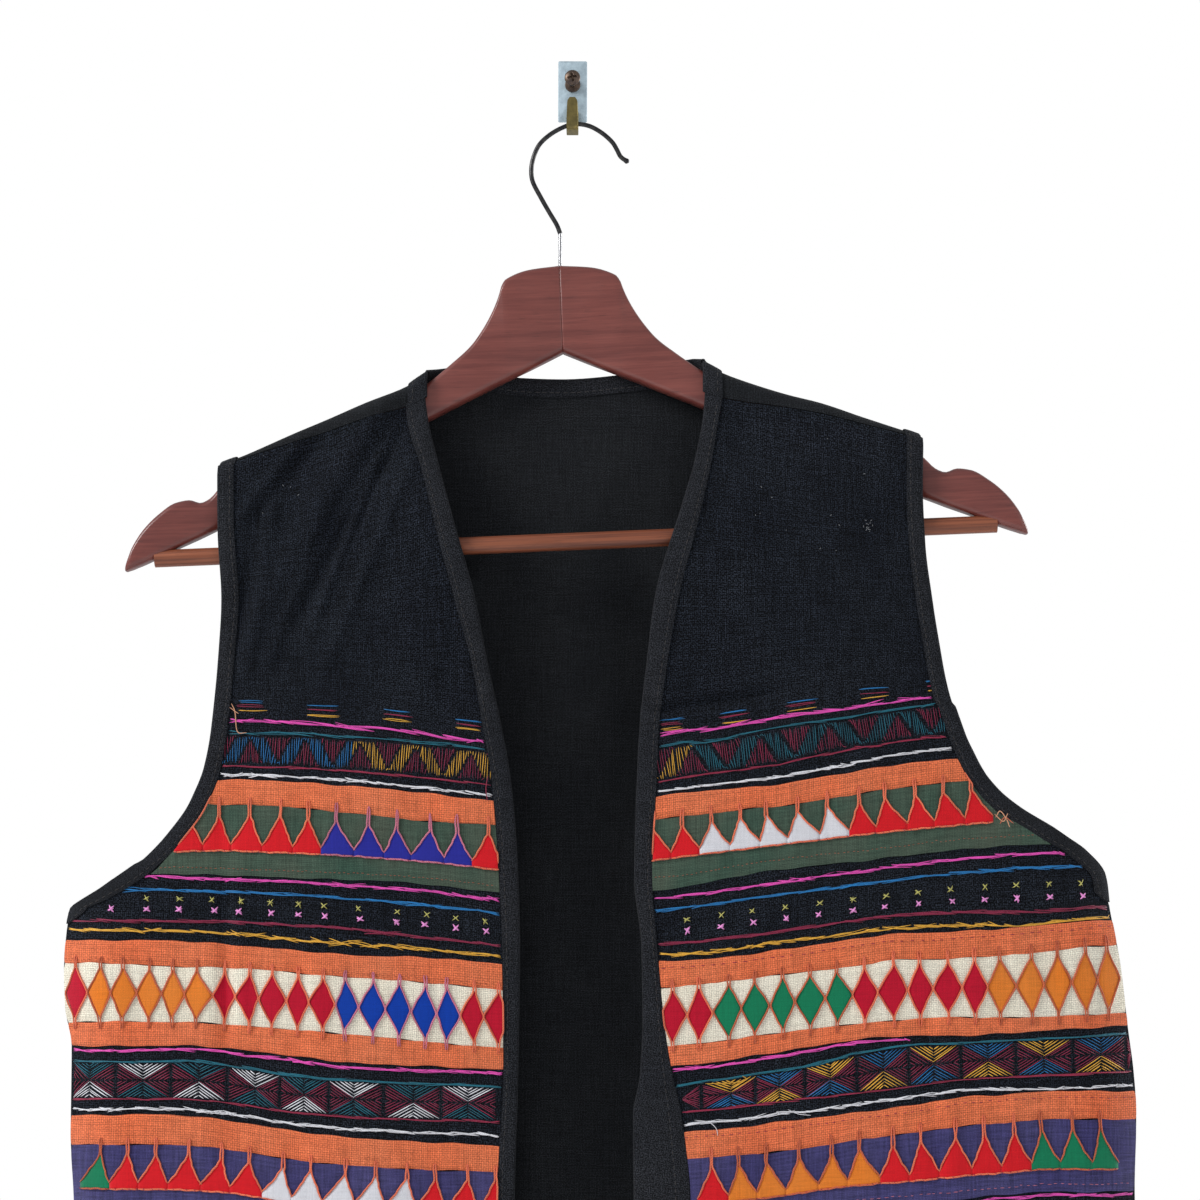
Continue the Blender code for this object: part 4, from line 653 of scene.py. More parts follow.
LOOSE = (
    # name, colour, radius, lift, x and z of the points it runs through
    (
        "peach", "peach", 0.00024, 0.0005,
        ((-0.1640, -0.3090), (-0.1622, -0.3130), (-0.1608, -0.3225), (-0.1562, -0.3232)),
    ),
    ("peach_end", "peach", 0.00018, 0.0005, ((-0.1662, -0.3098), (-0.1625, -0.3125), (-0.1602, -0.3140))),
    (
        "white_curl", "white", 0.00018, 0.0005,
        ((0.0590, -0.5070), (0.0655, -0.5080), (0.0690, -0.5108), (0.0698, -0.5142)),
    ),
    ("white_end", "white", 0.00018, 0.0005, ((0.1030, -0.5020), (0.1080, -0.5040), (0.1139, -0.5046))),
    (
        "gold_loop", "gold", 0.00020, 0.0005,
        ((0.0640, -0.4900), (0.0770, -0.4895), (0.0832, -0.4878), (0.0815, -0.4862)),
    ),
    ("red_end", "dark_red", 0.00020, 0.0005, ((-0.0400, -0.3440), (-0.0409, -0.3500), (-0.0402, -0.3560))),
    (
        "tuft_a", "peach", 0.00026, 0.0016,
        ((0.2040, -0.3640), (0.2062, -0.3610), (0.2090, -0.3650), (0.2100, -0.3690)),
    ),
    ("tuft_b", "peach", 0.00024, 0.0018, ((0.2035, -0.3625), (0.2075, -0.3660), (0.2092, -0.3625))),
    ("tuft_c", "coral", 0.00022, 0.0014, ((0.2060, -0.3670), (0.2085, -0.3640), (0.2120, -0.3672))),
)
FLOSS_ENDS = {(LEFT, "third pink"): 0.161}  # x where a line stops short of the side seam
UPRIGHT_PITCH = 0.00115
UPRIGHT_PERIOD = {RIGHT: 0.0266, LEFT: 0.0330}
UPRIGHT_LEAN = {RIGHT: -0.0004, LEFT: 0.0012}  # how far a stitch's foot lies towards +X of its top
UPRIGHT_COLOURS = {
    # side: (x the colours start at, colour of the zigzag, colour of the wedges)
    RIGHT: ((-0.20, "blue", "maroon"), (-0.105, "gold", "maroon")),
    LEFT: ((0.0, "gold", "maroon"), (0.058, "teal", "maroon"), (0.180, "teal", "pink")),
}
DASHES = {
    # side: first x, last x, z of the top dash at both
    RIGHT: (
        (-0.1612, -0.1482, -0.3078, -0.3082),
        (-0.1268, -0.1125, -0.3096, -0.3104),
        (-0.0902, -0.0768, -0.3120, -0.3136),
        (-0.0556, -0.0436, -0.3164, -0.3180),
    ),
    LEFT: (
        (0.0434, 0.0533, -0.3170, -0.3160),
        (0.0722, 0.0850, -0.3140, -0.3118),
        (0.1038, 0.1177, -0.3086, -0.3066),
        (0.1396, 0.1530, -0.3022, -0.3010),
        (0.1722, 0.1756, -0.2985, -0.2980),
    ),
}
DASH_DROP = 0.0023  # from one dash of a group to the next
DASH_COLOURS = ("blue", "maroon", "gold")
CROSSES = {
    RIGHT: (
        *(-0.2030, -0.1875, -0.1715, -0.1582, -0.1432, -0.1300, -0.1177),
        *(-0.1014, -0.0831, -0.0686, -0.0552, -0.0407),
    ),
    LEFT: tuple(0.0556 + 0.01585 * k for k in range(13)),
}
FIRST_CROSS_PINK_ONLY = -0.2203
NEST_CROSSINGS = {
    RIGHT: (-0.2560, -0.2297, -0.2034, -0.1765, -0.1496, -0.1262, -0.1026, -0.0744, -0.0486, -0.0210),
    LEFT: (0.0480, 0.0762, 0.0992, 0.1232, 0.1486, 0.1725, 0.1984, 0.2252, 0.2530, 0.2800),
}
NEST_COLOURS = {
    # side: colours of the upper and lower triangles, by turns from the front's lower x
    RIGHT: (("white", "teal"), ("teal", "white")),
    LEFT: (("blue", "gold"), ("gold", "blue")),
}
NEST_STEPS = (0.90, 0.72, 0.54, 0.36, 0.18)
COUCHING = {
    # colour of a patch: colour of the cord round it
    "red": "coral",
    "crimson": "coral",
    "violet": "violet_pink",
    "cobalt": "violet_pink",
    "orange": "rust",
    "green": "rust",
    "white": "coral",
}
STITCH_LIFT = {"cloth": 0.0001, "strip": 0.0014}
FLOSS_SHORTEST = 0.002
FLOSS_WANDER = 0.0005
FLOSS_PILE = 0.00025  # how far one stitch may lie above another
UPRIGHT_RADIUS = 0.00014
UPRIGHT_JITTER = 0.00016
UPRIGHT_WANDER = 0.00045
DASH_RADIUS = 0.00017
DASH_WANDER = (0.0007, 0.0008)  # of a dash's start and of its end
DASH_WAVE = 0.00022
CROSS_ROWS = (
    # level, thread, reach of an arm, radius
    ("green crosses", "lime", 0.0016, 0.00022),
    ("pink crosses", "light_pink", 0.0017, 0.00040),
)
CROSS_TURN = math.radians(42)
CROSS_APART = 0.0002  # from the middle of a pair of strands to either
CROSS_WANDER = 0.0004
CROSS_LIFTS = (0, 0.0001, 0.0004, 0.0005)
NEST_SIZES = (0.97, 0.80, 0.62, 0.44, 0.26)  # of the diamonds one inside the other
NEST_JITTER = 0.00013
NEST_BRIGHT = ("white", "gold")
NEST_BRIGHT_RADIUS = 0.00024
NEST_RADIUS = 0.00018
RUNNING_STEP = 1.7  # from stitch to stitch, in stitches
LINT_HEAP = 14
LINT_HEAP_WIDTH = 0.0016
LINT_RADIUS = 0.00014
TIE_STEP = 0.0034
TIE_HALF = (0.00045, 0.00055)  # half a tie's reach across and down
TIE_RADIUS = 0.00016
CORD_NECK_TOP = {"diamond": -0.13, "triangle": -0.16}  # where a cord's neck begins above the strip
CORD_TAIL = 1.11  # how far down the strip a diamond's cord ends


def smooth(table, at, column=1):
    """Reads a column of a table at given places by a cubic that keeps to the rows and never overshoots."""
    rows = np.array(sorted(row[: column + 1] for row in table), dtype=float)
    where, value = rows[:, 0], rows[:, column]
    step = np.diff(where)
    slope = np.diff(value) / step
    tangent = np.zeros(len(where))
    tangent[0], tangent[-1] = slope[0], slope[-1]
    same_way = slope[:-1] * slope[1:] > 0
    mean = 2 * slope[:-1] * slope[1:] / np.where(same_way, slope[:-1] + slope[1:], 1)
    tangent[1:-1] = np.where(same_way, mean, 0)
    at = np.clip(at, where[0], where[-1])
    k = np.clip(np.searchsorted(where, at, side="right") - 1, 0, len(step) - 1)
    t = (at - where[k]) / step[k]
    start = value[k] * (1 + 2 * t) * (1 - t) ** 2 + step[k] * tangent[k] * t * (1 - t) ** 2
    end = value[k + 1] * t**2 * (3 - 2 * t) + step[k] * tangent[k + 1] * t**2 * (t - 1)
    return start + end


def three_way(table, z, across):
    """Three columns at a height, joined by a parabola across the cloth, 0 to 1."""
    first, middle, last = (smooth(table, z, column) for column in (1, 2, 3))
    bow = middle - (first + last) / 2
    return first + (last - first) * across + 4 * bow * across * (1 - across)


def folds(table, x, z):
    """The sum of soft ridges: each is rise * exp(-(distance / width)^2), and dies out past its two ends."""
    total = np.zeros(np.broadcast(x, z).shape)
    for x_top, z_top, x_low, z_low, width, rise in table:
        length = math.hypot(x_low - x_top, z_low - z_top)
        run = ((x_low - x_top) / length, (z_low - z_top) / length)
        along = (x - x_top) * run[0] + (z - z_top) * run[1]
        across = (x - x_top) * run[1] - (z - z_top) * run[0]
        beyond = np.maximum(np.maximum(-along, along - length), 0) / (2 * width)
        total = total + rise * np.exp(-((across / width) ** 2) - beyond**2)
    return total


def by_side(x, read):
    """read(side) for each side, taken where x is on that side."""
    return np.where(x < 0, read(RIGHT), read(LEFT))


def shoulder_top(x):
    """The height of the shoulder line at x, read from SHOULDER on that side."""
    return by_side(x, lambda side: smooth(SHOULDER[side], x))


def outer_x(x, z):
    """How far out the outer edge lies; above SIDE_ROUND_TOP it stays as far out as there."""
    low = np.minimum(z, SIDE_ROUND_TOP)
    return by_side(x, lambda side: np.abs(smooth(OUTER_EDGE[side], low)))


def unevenness(x, z):
    """Slow waves of unlike lengths, a few tenths of a millimetre high, that no two places share."""
    wave = np.sin(61 * x + 23 * z) * np.sin(37 * z - 11 * x + 1.3)
    return 0.00035 * wave + 0.0002 * np.sin(140 * x + 2 * np.sin(40 * z)) * np.sin(95 * z + 0.7)


def front_sheet(x, z):
    """The front's y before its sides are closed: its depth across, less the relief of folds."""
    edge = by_side(x, lambda side: np.abs(smooth(FRONT_EDGE[side], z)))
    side = np.maximum(by_side(x, lambda s: np.abs(smooth(OUTER_EDGE[s], z))), edge + NARROWEST_FRONT)
    across = np.clip((np.abs(x) - edge) / (side - edge), 0, 1)
    relief = folds(FRONT_FOLDS, x, z) + folds(FRONT_CREASES, x, z) + unevenness(x, z)
    return three_way(FRONT_DEPTH, z, across) - relief


def back_sheet(x, z):
    """The back's y before its sides are closed: a bow by a power of x, less the relief of folds."""
    centre, side = smooth(BACK_DEPTH, z, 1), smooth(BACK_DEPTH, z, 2)
    across = np.clip(np.abs(x) / BACK_REACH, 0, 1.3)
    flat = centre + (side - centre) * across**BACK_BOW
    relief = folds(BACK_FOLDS, x, z) + folds(BACK_CREASES, x, z) + unevenness(x + 0.4, z)
    return np.minimum(flat - relief, NEAR_WALL)


def closed_to_side(flat, x, z):
    """Bends a flat sheet round to the side seam by a parabola over the last stretch of its width."""
    seam = smooth(SIDE_SEAM_DEPTH, z)
    inward = np.clip((outer_x(x, z) - np.abs(x)) / SIDE_ROUND, 0, 1)
    return seam + (flat - seam) * (1 - (1 - inward) ** 2)


def over_shoulder(flat, other, x, z):
    """Turns a sheet over the shoulder, to the middle of both sheets, by a quarter of a squarish ellipse."""
    neck = by_side(x, lambda side: abs(SHOULDER[side][0][0]))
    fade = np.clip(1 - (neck - np.abs(x)) / NECK_FADE, 0, 1)
    into_roll = np.clip((z - shoulder_top(x)) / SHOULDER_ROLL + 1, 0, 1) * fade
    middle = (flat + other) / 2
    return middle + (flat - middle) * (1 - into_roll**ROLL_POWER) ** (1 / ROLL_POWER)


def both_sheets(x, z):
    """The front and the back, each bent round to the side seam."""
    return closed_to_side(front_sheet(x, z), x, z), closed_to_side(back_sheet(x, z), x, z)


def front_y(x, z):
    """The y of the front's outer face, with its turn over the shoulder."""
    front, back = both_sheets(x, z)
    return over_shoulder(front, back, x, z)


def back_y(x, z):
    """The y of the back's outer face, with its turn over the shoulder."""
    front, back = both_sheets(x, z)
    return over_shoulder(back, front, x, z)


def sheet_normals(depth, x, z, way):
    """Unit normals of y = depth(x, z) from its two slopes, pointing to way along Y."""
    step = 0.0004
    slope_x = (depth(x + step, z) - depth(x - step, z)) / (2 * step)
    slope_z = (depth(x, z + step) - depth(x, z - step)) / (2 * step)
    normal = np.stack((-slope_x * way, np.full(np.shape(x), float(way)), -slope_z * way), axis=-1)
    return normal / np.linalg.norm(normal, axis=-1, keepdims=True)


def level(side, name):
    """A named level's two heights: at the front edge and at the outer edge."""
    return np.array(LEVELS[name][SIDES.index(side)])


def between(side, first, last, share):
    """Levels part of the way from one named level to another, as (..., 2) heights."""
    first, last = level(side, first), level(side, last)
    return first + (last - first) * np.asarray(share, dtype=float)[..., None]


def flat_place(side, heights, x):
    """The z of a level's line at x: it falls to the front seam by a power of the way in, plus its bend."""
    heights = np.asarray(heights)
    at_edge, at_outer = heights[..., 0], heights[..., 1]
    edge = smooth(FRONT_EDGE[side], at_edge, 2)
    outer = smooth(OUTER_EDGE[side], at_outer)
    inward = np.clip((x - outer) / (edge - outer), 0, 1.3)
    return at_outer + (at_edge - at_outer) * inward ** SAG[side] + line_bend(side, at_edge, inward)


def line_bend(side, at_edge, inward):
    """BENDS read at a line and a place: straight between rows, a Catmull-Rom spline between places."""
    table = np.array(BENDS[side])
    at_edge, inward = np.broadcast_arrays(at_edge, inward)
    row = np.interp(-at_edge, -table[:, 0], np.arange(len(table)))
    upper = np.minimum(row.astype(int), len(table) - 2)
    share = row - upper
    place = np.clip(inward, 0, 1) * BEND_STEPS
    start = np.minimum(place.astype(int), BEND_STEPS - 1)
    t = place - start
    values = []
    for step in (-1, 0, 1, 2):
        column = 1 + np.clip(start + step, 0, BEND_STEPS)
        values.append(table[upper, column] * (1 - share) + table[upper + 1, column] * share)
    p, q, r, s = values
    cubic = q + 0.5 * t * (r - p + t * (2 * p - 5 * q + 4 * r - s + t * (3 * (q - r) + s - p)))
    return cubic * BEND_UNIT


def on_front(side, heights, x, lift):
    """Points on a front at the levels' lines and x, moved off the cloth, with the normals there."""
    heights, x = np.asarray(heights), np.asarray(x, dtype=float)
    x = np.broadcast_to(x, np.broadcast(x, heights[..., 0]).shape)
    return off_front(x, flat_place(side, heights, x), lift)


def off_front(x, z, lift):
    """Points on the fronts at x and z, moved off the cloth along its normals, with the normals."""
    normals = sheet_normals(front_y, x, z, -1)
    points = np.stack((x, front_y(x, z), z), axis=-1)
    return points + normals * np.broadcast_to(lift, x.shape)[..., None], normals


def front_span(side, heights, clear=0.0):
    """The x of the edge binding's seam and of the outer seam on a level's line."""
    heights = np.asarray(heights)
    seam = smooth(FRONT_EDGE[side], heights[..., 0], 2)
    outer, leg = outer_and_leg(side, heights[..., 1])
    below = heights[..., 1] <= level(side, "underarm")[1]
    inner = outer - np.sign(outer) * np.where(below, 0.0006, leg)
    way = np.sign(outer)
    return seam + way * clear, inner - way * clear


def outer_and_leg(side, z):
    """The outer edge's x and how far along a row the armhole binding reaches, more where the edge slants."""
    slant = smooth(OUTER_EDGE[side], z + SLOPE_STEP) - smooth(OUTER_EDGE[side], z - SLOPE_STEP)
    slant = slant / (2 * SLOPE_STEP)
    return smooth(OUTER_EDGE[side], z), ARMHOLE_LEG * np.sqrt(1 + np.minimum(slant**2, STEEPEST))


def add_mesh(name, vertices, faces, material, uv=None, sharp=None):
    """A mesh object from arrays of points and of faces of one length; uv is given for each point.

    The faces are turned outwards by the sign of the volume they enclose: the sum of corner times area.
    """
    vertices, faces = np.asarray(vertices, dtype=np.float32), np.asarray(faces, dtype=np.int32)
    corners = vertices[faces].astype(float)
    spans = np.cross(corners[:, 1] - corners[:, 0], corners[:, 2] - corners[:, 0])
    spans += np.cross(corners[:, 2] - corners[:, 0], corners[:, -1] - corners[:, 0])
    if (spans * (corners[:, 0] - vertices.mean(axis=0))).sum() < 0:
        faces = faces[:, ::-1]
    mesh = bpy.data.meshes.new(name)
    mesh.vertices.add(len(vertices))
    mesh.vertices.foreach_set("co", vertices.ravel())
    count, sides = faces.shape
    mesh.loops.add(count * sides)
    mesh.loops.foreach_set("vertex_index", faces.ravel())
    mesh.polygons.add(count)
    mesh.polygons.foreach_set("loop_start", np.arange(0, count * sides, sides, dtype=np.int32))
    mesh.polygons.foreach_set("loop_total", np.full(count, sides, dtype=np.int32))
    mesh.update(calc_edges=True)
    if uv is not None:
        layer = mesh.uv_layers.new(name="UVMap")
        layer.data.foreach_set("uv", np.asarray(uv, dtype=np.float32)[faces.ravel()].ravel())
    mesh.materials.append(material)
    mesh.shade_smooth()
    if sharp:
        mesh.set_sharp_from_angle(angle=math.radians(sharp))
    obj = bpy.data.objects.new(name, mesh)
    vest.objects.link(obj)
    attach(obj, "root")
    return obj


def grid_faces(rows, columns, wrap=False):
    """Quads of a grid of points, one row after another; wrap joins the last column to the first."""
    index = np.arange(rows * columns).reshape(rows, columns)
    across = np.roll(index, -1, axis=1) if wrap else index[:, 1:]
    near = index if wrap else index[:, :-1]
    return np.stack((near[:-1], across[:-1], across[1:], near[1:]), axis=-1).reshape(-1, 4)


def wall_faces(used):
    """Quads of a closed wall: an outer grid, an inner grid behind it and a rim round the cells in use."""
    rows, columns = used.shape[0] + 1, used.shape[1] + 1
    shift = rows * columns
    quads = grid_faces(rows, columns)[used.ravel()]
    starts, ends = quads.ravel(), np.roll(quads, -1, axis=1).ravel()
    forward, backward = starts * shift + ends, ends * shift + starts
    rim = ~np.isin(forward, backward)
    starts, ends = starts[rim], ends[rim]
    rim_quads = np.stack((ends, starts, starts + shift, ends + shift), axis=1)
    return np.concatenate((quads, quads[:, ::-1] + shift, rim_quads))


def add_wall(name, points, normals, thickness, material, uv, used=None):
    """A thin closed wall of cloth behind a grid of outer points."""
    rows, columns = points.shape[:2]
    used = np.ones((rows - 1, columns - 1), dtype=bool) if used is None else used
    inner = points - normals * np.broadcast_to(thickness, (rows, columns))[..., None]
    faces = wall_faces(used)
    vertices = np.concatenate((points.reshape(-1, 3), inner.reshape(-1, 3)))
    uv = np.tile(uv.reshape(-1, 2), (2, 1))
    kept, faces = np.unique(faces, return_inverse=True)
    return add_mesh(name, vertices[kept], faces.reshape(-1, 4), material, uv[kept], sharp=50)


def front_levels(side):
    """Levels of every grid row of a front panel, evenly between the levels of its table."""
    pieces = []
    for (name, steps), (following, _) in zip(PANEL_LEVELS[:-1], PANEL_LEVELS[1:]):
        pieces.append(between(side, name, following, np.arange(steps) / steps))
    return np.concatenate(pieces + [level(side, PANEL_LEVELS[-1][0])[None]])


def add_front_panel(side):
    """A front: rows along the levels, the first ones eased into the shoulder seam, and a thicker hem."""
    heights = front_levels(side)
    edge, outer = smooth(FRONT_EDGE[side], heights[:, 0]), smooth(OUTER_EDGE[side], heights[:, 1])
    share = np.linspace(0, 1, PANEL_ACROSS + 1)
    x = edge[:, None] + (outer - edge)[:, None] * share
    z = flat_place(side, heights[:, None, :], x)
    near = np.clip(1 - (heights[0, 0] - heights[:, 0]) / SHOULDER_EASE, 0, 1)
    seam = smooth(SHOULDER[side], x[0], 2) - SEAM / 2
    z = z + (seam - z[0]) * near[:, None]
    points = np.stack((x, front_y(x, z), z), axis=2)
    low = heights[:, 1] <= level(side, "underarm")[1]
    points[low, -1, 1] += SIDE_OVERLAP
    normals = sheet_normals(front_y, x, z, -1)
    normals[low, -1] = (-1 if side == RIGHT else 1, 0, 0)
    uv = np.stack((x, np.repeat(heights.mean(axis=1)[:, None], x.shape[1], axis=1)), axis=2)
    hem = np.where(heights[:, 0] < level(side, "hem top")[0] + 0.001, HEM_TURNING, 0.0)
    thickness = np.full(x.shape, PANEL_WALL) + hem[:, None]
    piece = add_wall(f"{side}_front", points, normals, thickness, coarse_cloth, uv)
    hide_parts(f"{side}_front_panel")
    return piece


def back_columns():
    """The x of each column at the shoulders and nape, and how many of them lie on one shoulder."""
    sides = {}
    for side in SIDES:
        neck_x, armhole_x = SHOULDER[side][0][0], SHOULDER[side][-1][0]
        way = np.sign(neck_x)
        leg_in = neck_x + way * NECK_LEG
        leg_out = armhole_x - way * (ARMHOLE_LEG + BACK_INSET)
        steps = leg_in + (leg_out - leg_in) * np.linspace(0, 1, BACK_SHOULDER_STEPS + 1)
        sides[side] = np.concatenate(([neck_x], steps, [armhole_x - way * BACK_INSET]))
    nape = np.linspace(sides[RIGHT][0], sides[LEFT][0], BACK_NECK_STEPS + 1)[1:-1]
    return np.concatenate((sides[RIGHT][::-1], nape, sides[LEFT])), len(sides[RIGHT])


def back_grid():
    """Points and normals of the back: front seams, over the roll, the nape, down to the underarm and hem."""
    top_x, on_shoulder = back_columns()
    count, neck = len(top_x), len(BACK_ROLL)
    place = np.arange(count)
    in_shoulder = (place < on_shoulder) | (place >= count - on_shoulder)
    top = shoulder_top(top_x)
    seam = by_side(top_x, lambda side: smooth(SHOULDER[side], top_x, 2)) + SEAM / 2
    start = np.maximum(np.minimum(top - SHOULDER_ROLL, top - 0.5 * (top - seam)), seam + 0.0002)
    angles = np.radians(BACK_ROLL)
    rows = [seam] + [start + (top - start) * np.sin(angle) for angle in angles]
    open_neck = (place >= on_shoulder - 1) & (place <= count - on_shoulder)
    rows[-1] = np.where(open_neck, smooth(BACK_NECK, top_x), rows[-1])
    inset = rows[-1] - NECK_LEG
    across = np.linspace(0, 1, count)
    under, hem = (
        level(RIGHT, name)[1] + (level(LEFT, name)[1] - level(RIGHT, name)[1]) * across
        for name in ("underarm", "hem")
    )
    rows.append(inset)
    rows += [inset + (under - inset) * k / BACK_FALL_STEPS for k in range(1, BACK_FALL_STEPS + 1)]
    rows += [under + (hem - under) * k / BACK_SKIRT_STEPS for k in range(1, BACK_SKIRT_STEPS + 1)]
    z = np.array(rows)
    x = np.repeat(top_x[None], len(z), axis=0)
    low = np.arange(len(z)) >= neck + 1 + BACK_FALL_STEPS
    below = slice(neck + 2, None)
    tuck = np.where(low[below], 0, BACK_INSET)
    right, right_leg = outer_and_leg(RIGHT, z[below, 0])
    left, left_leg = outer_and_leg(LEFT, z[below, -1])
    right, left = right + tuck, left - tuck
    share = (top_x[1:-1] - top_x[1]) / (top_x[-2] - top_x[1])
    x[below, 1:-1] = (right + right_leg)[:, None] + (left - left_leg - right - right_leg)[:, None] * share
    x[below, 0], x[below, -1] = right, left
    ahead = 1 + BACK_ROLL.index(90)
    y = back_y(x, z)
    y[:ahead] = front_y(x[:ahead], z[:ahead])
    points = np.stack((x, y, z), axis=2)
    points[low, 0, 1] -= SIDE_OVERLAP
    points[low, -1, 1] -= SIDE_OVERLAP
    normals = sheet_normals(back_y, x, z, 1)
    facing = np.radians((0,) + BACK_ROLL)
    roll = np.stack((0 * facing, -np.cos(facing), np.sin(facing)), axis=1)
    roll = np.repeat(roll[:, None], count, axis=1)
    normals[:neck, in_shoulder] = roll[:neck, in_shoulder]
    blend = normals[neck, in_shoulder] + roll[neck, in_shoulder]
    normals[neck, in_shoulder] = blend / np.linalg.norm(blend, axis=1, keepdims=True)
    normals[low, 0], normals[low, -1] = (-1, 0, 0), (1, 0, 0)
    used = np.ones((len(z) - 1, count - 1), dtype=bool)
    used[:neck] = in_shoulder[:-1] & in_shoulder[1:]
    under_row = neck + 1 + BACK_FALL_STEPS
    return points, normals, used, neck, under_row, on_shoulder


def add_back(back):
    """The back in one piece, with its roll over both shoulders."""
    points, normals, used = back[:3]
    uv = points[..., (0, 2)].copy()
    piece = add_wall("back", points, normals, PANEL_WALL, fine_cloth, uv, used)
    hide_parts("back_panel")
    return piece


def add_binding(name, node, runs):
    """A folded binding carried along a cloth edge: a rounded fold, its two legs on the cloth's two faces.

    Each ring has 14 points: four along the outer leg's face, five round the fold, five on the inner leg and
    back inside. Both ends are closed.
    """
    edge, inset, edge_out, inset_out = (np.concatenate([run[k] for run in runs]) for k in range(4))
    way = edge - inset
    way = way / np.linalg.norm(way, axis=1, keepdims=True)
    clear, leg, wall = BINDING_CLEAR, BINDING_LEG, PANEL_WALL
    half = wall / 2 + clear + leg
    middle_out = (inset + edge) / 2, (edge_out + inset_out) / 2
    fold = edge - edge_out * wall / 2
    section = [
        inset + inset_out * clear,
        inset + inset_out * (clear + leg * 0.7) - way * 0.0001,
        inset + inset_out * (clear + leg) + way * 0.0006,
        middle_out[0] + middle_out[1] * (clear + leg + 0.0001),
    ]
    for angle in np.radians((80, 45, 0, -45, -80)):
        rise = half * 0.8 * math.cos(angle) - 0.0004
        section.append(fold + edge_out * half * math.sin(angle) + way * rise)
    section += [
        inset - inset_out * (wall + clear + leg) + way * 0.0004,
        inset - inset_out * (wall + clear + leg * 0.5),
        inset - inset_out * (wall + clear),
        edge - edge_out * (wall + clear) - way * 0.0008,
        edge + edge_out * clear - way * 0.0008,
    ]
    rings = np.stack(section, axis=1)
    count, sides = rings.shape[:2]
    faces = np.concatenate((grid_faces(count, sides, wrap=True), *binding_ends(count, sides)))
    along = np.concatenate(([0], np.cumsum(np.linalg.norm(np.diff(edge, axis=0), axis=1))))
    around = np.cumsum(np.linalg.norm(np.diff(rings, axis=1), axis=2), axis=1)
    around = np.concatenate((np.zeros((count, 1)), around), axis=1)
    uv = np.stack(np.broadcast_arrays(along[:, None], around), axis=2)
    piece = add_mesh(name, rings.reshape(-1, 3), faces, binding_cloth, uv.reshape(-1, 2), sharp=60)
    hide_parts(node)
    return piece


def binding_ends(count, sides):
    """Quads across a binding's first and last ring, from its outer leg's points to those that face them."""
    pairs = np.array([(k, sides - 1 - k) for k in range(sides // 2)])
    first = np.concatenate((pairs[:-1], pairs[1:, ::-1]), axis=1)
    return first, first[:, ::-1] + (count - 1) * sides


def front_edge_run(side, heights):
    """Points and normals of the open edge and of the binding's seam at a front's levels."""
    seam = smooth(FRONT_EDGE[side], heights[:, 0], 2)
    edge = smooth(FRONT_EDGE[side], heights[:, 0])
    points, normals = on_front(side, heights, edge, 0)
    inset, inset_normals = on_front(side, heights, seam, 0)
    return points, inset, normals, inset_normals


def armhole_run(side, heights):
    """An armhole's edge on the front: its points, its seam a leg further in, and both normals."""
    outer, leg = outer_and_leg(side, heights[:, 1])
    points, normals = on_front(side, heights, outer, 0)
    inset, inset_normals = on_front(side, heights, outer - np.sign(outer) * leg, 0)
    return points, inset, normals, inset_normals


def corner_run(side):
    """The lowest end of an armhole binding: its seam slants out to the side seam below the underarm."""
    share = np.linspace(1, 0.12, 6)
    heights = level(side, "underarm") - CORNER_DROP * share[:, None]
    _, leg = outer_and_leg(side, np.repeat(level(side, "underarm")[1], len(share)))
    outer = smooth(OUTER_EDGE[side], heights[:, 1])
    points, normals = on_front(side, heights, outer, 0)
    inset, inset_normals = on_front(side, heights, outer - np.sign(outer) * (leg * (1 - share) + 0.0012), 0)
    return points, inset, normals, inset_normals


def back_run(back, rows, column, inset_column):
    """A run on the back's grid: points of its edge, of the seam beside it, and both normals."""
    points, normals = back[:2]
    return (
        points[rows, column],
        points[rows, inset_column],
        normals[rows, column],
        normals[rows, inset_column],
    )


def turned(run):
    """The same run from its other end."""
    return [part[::-1] for part in run]


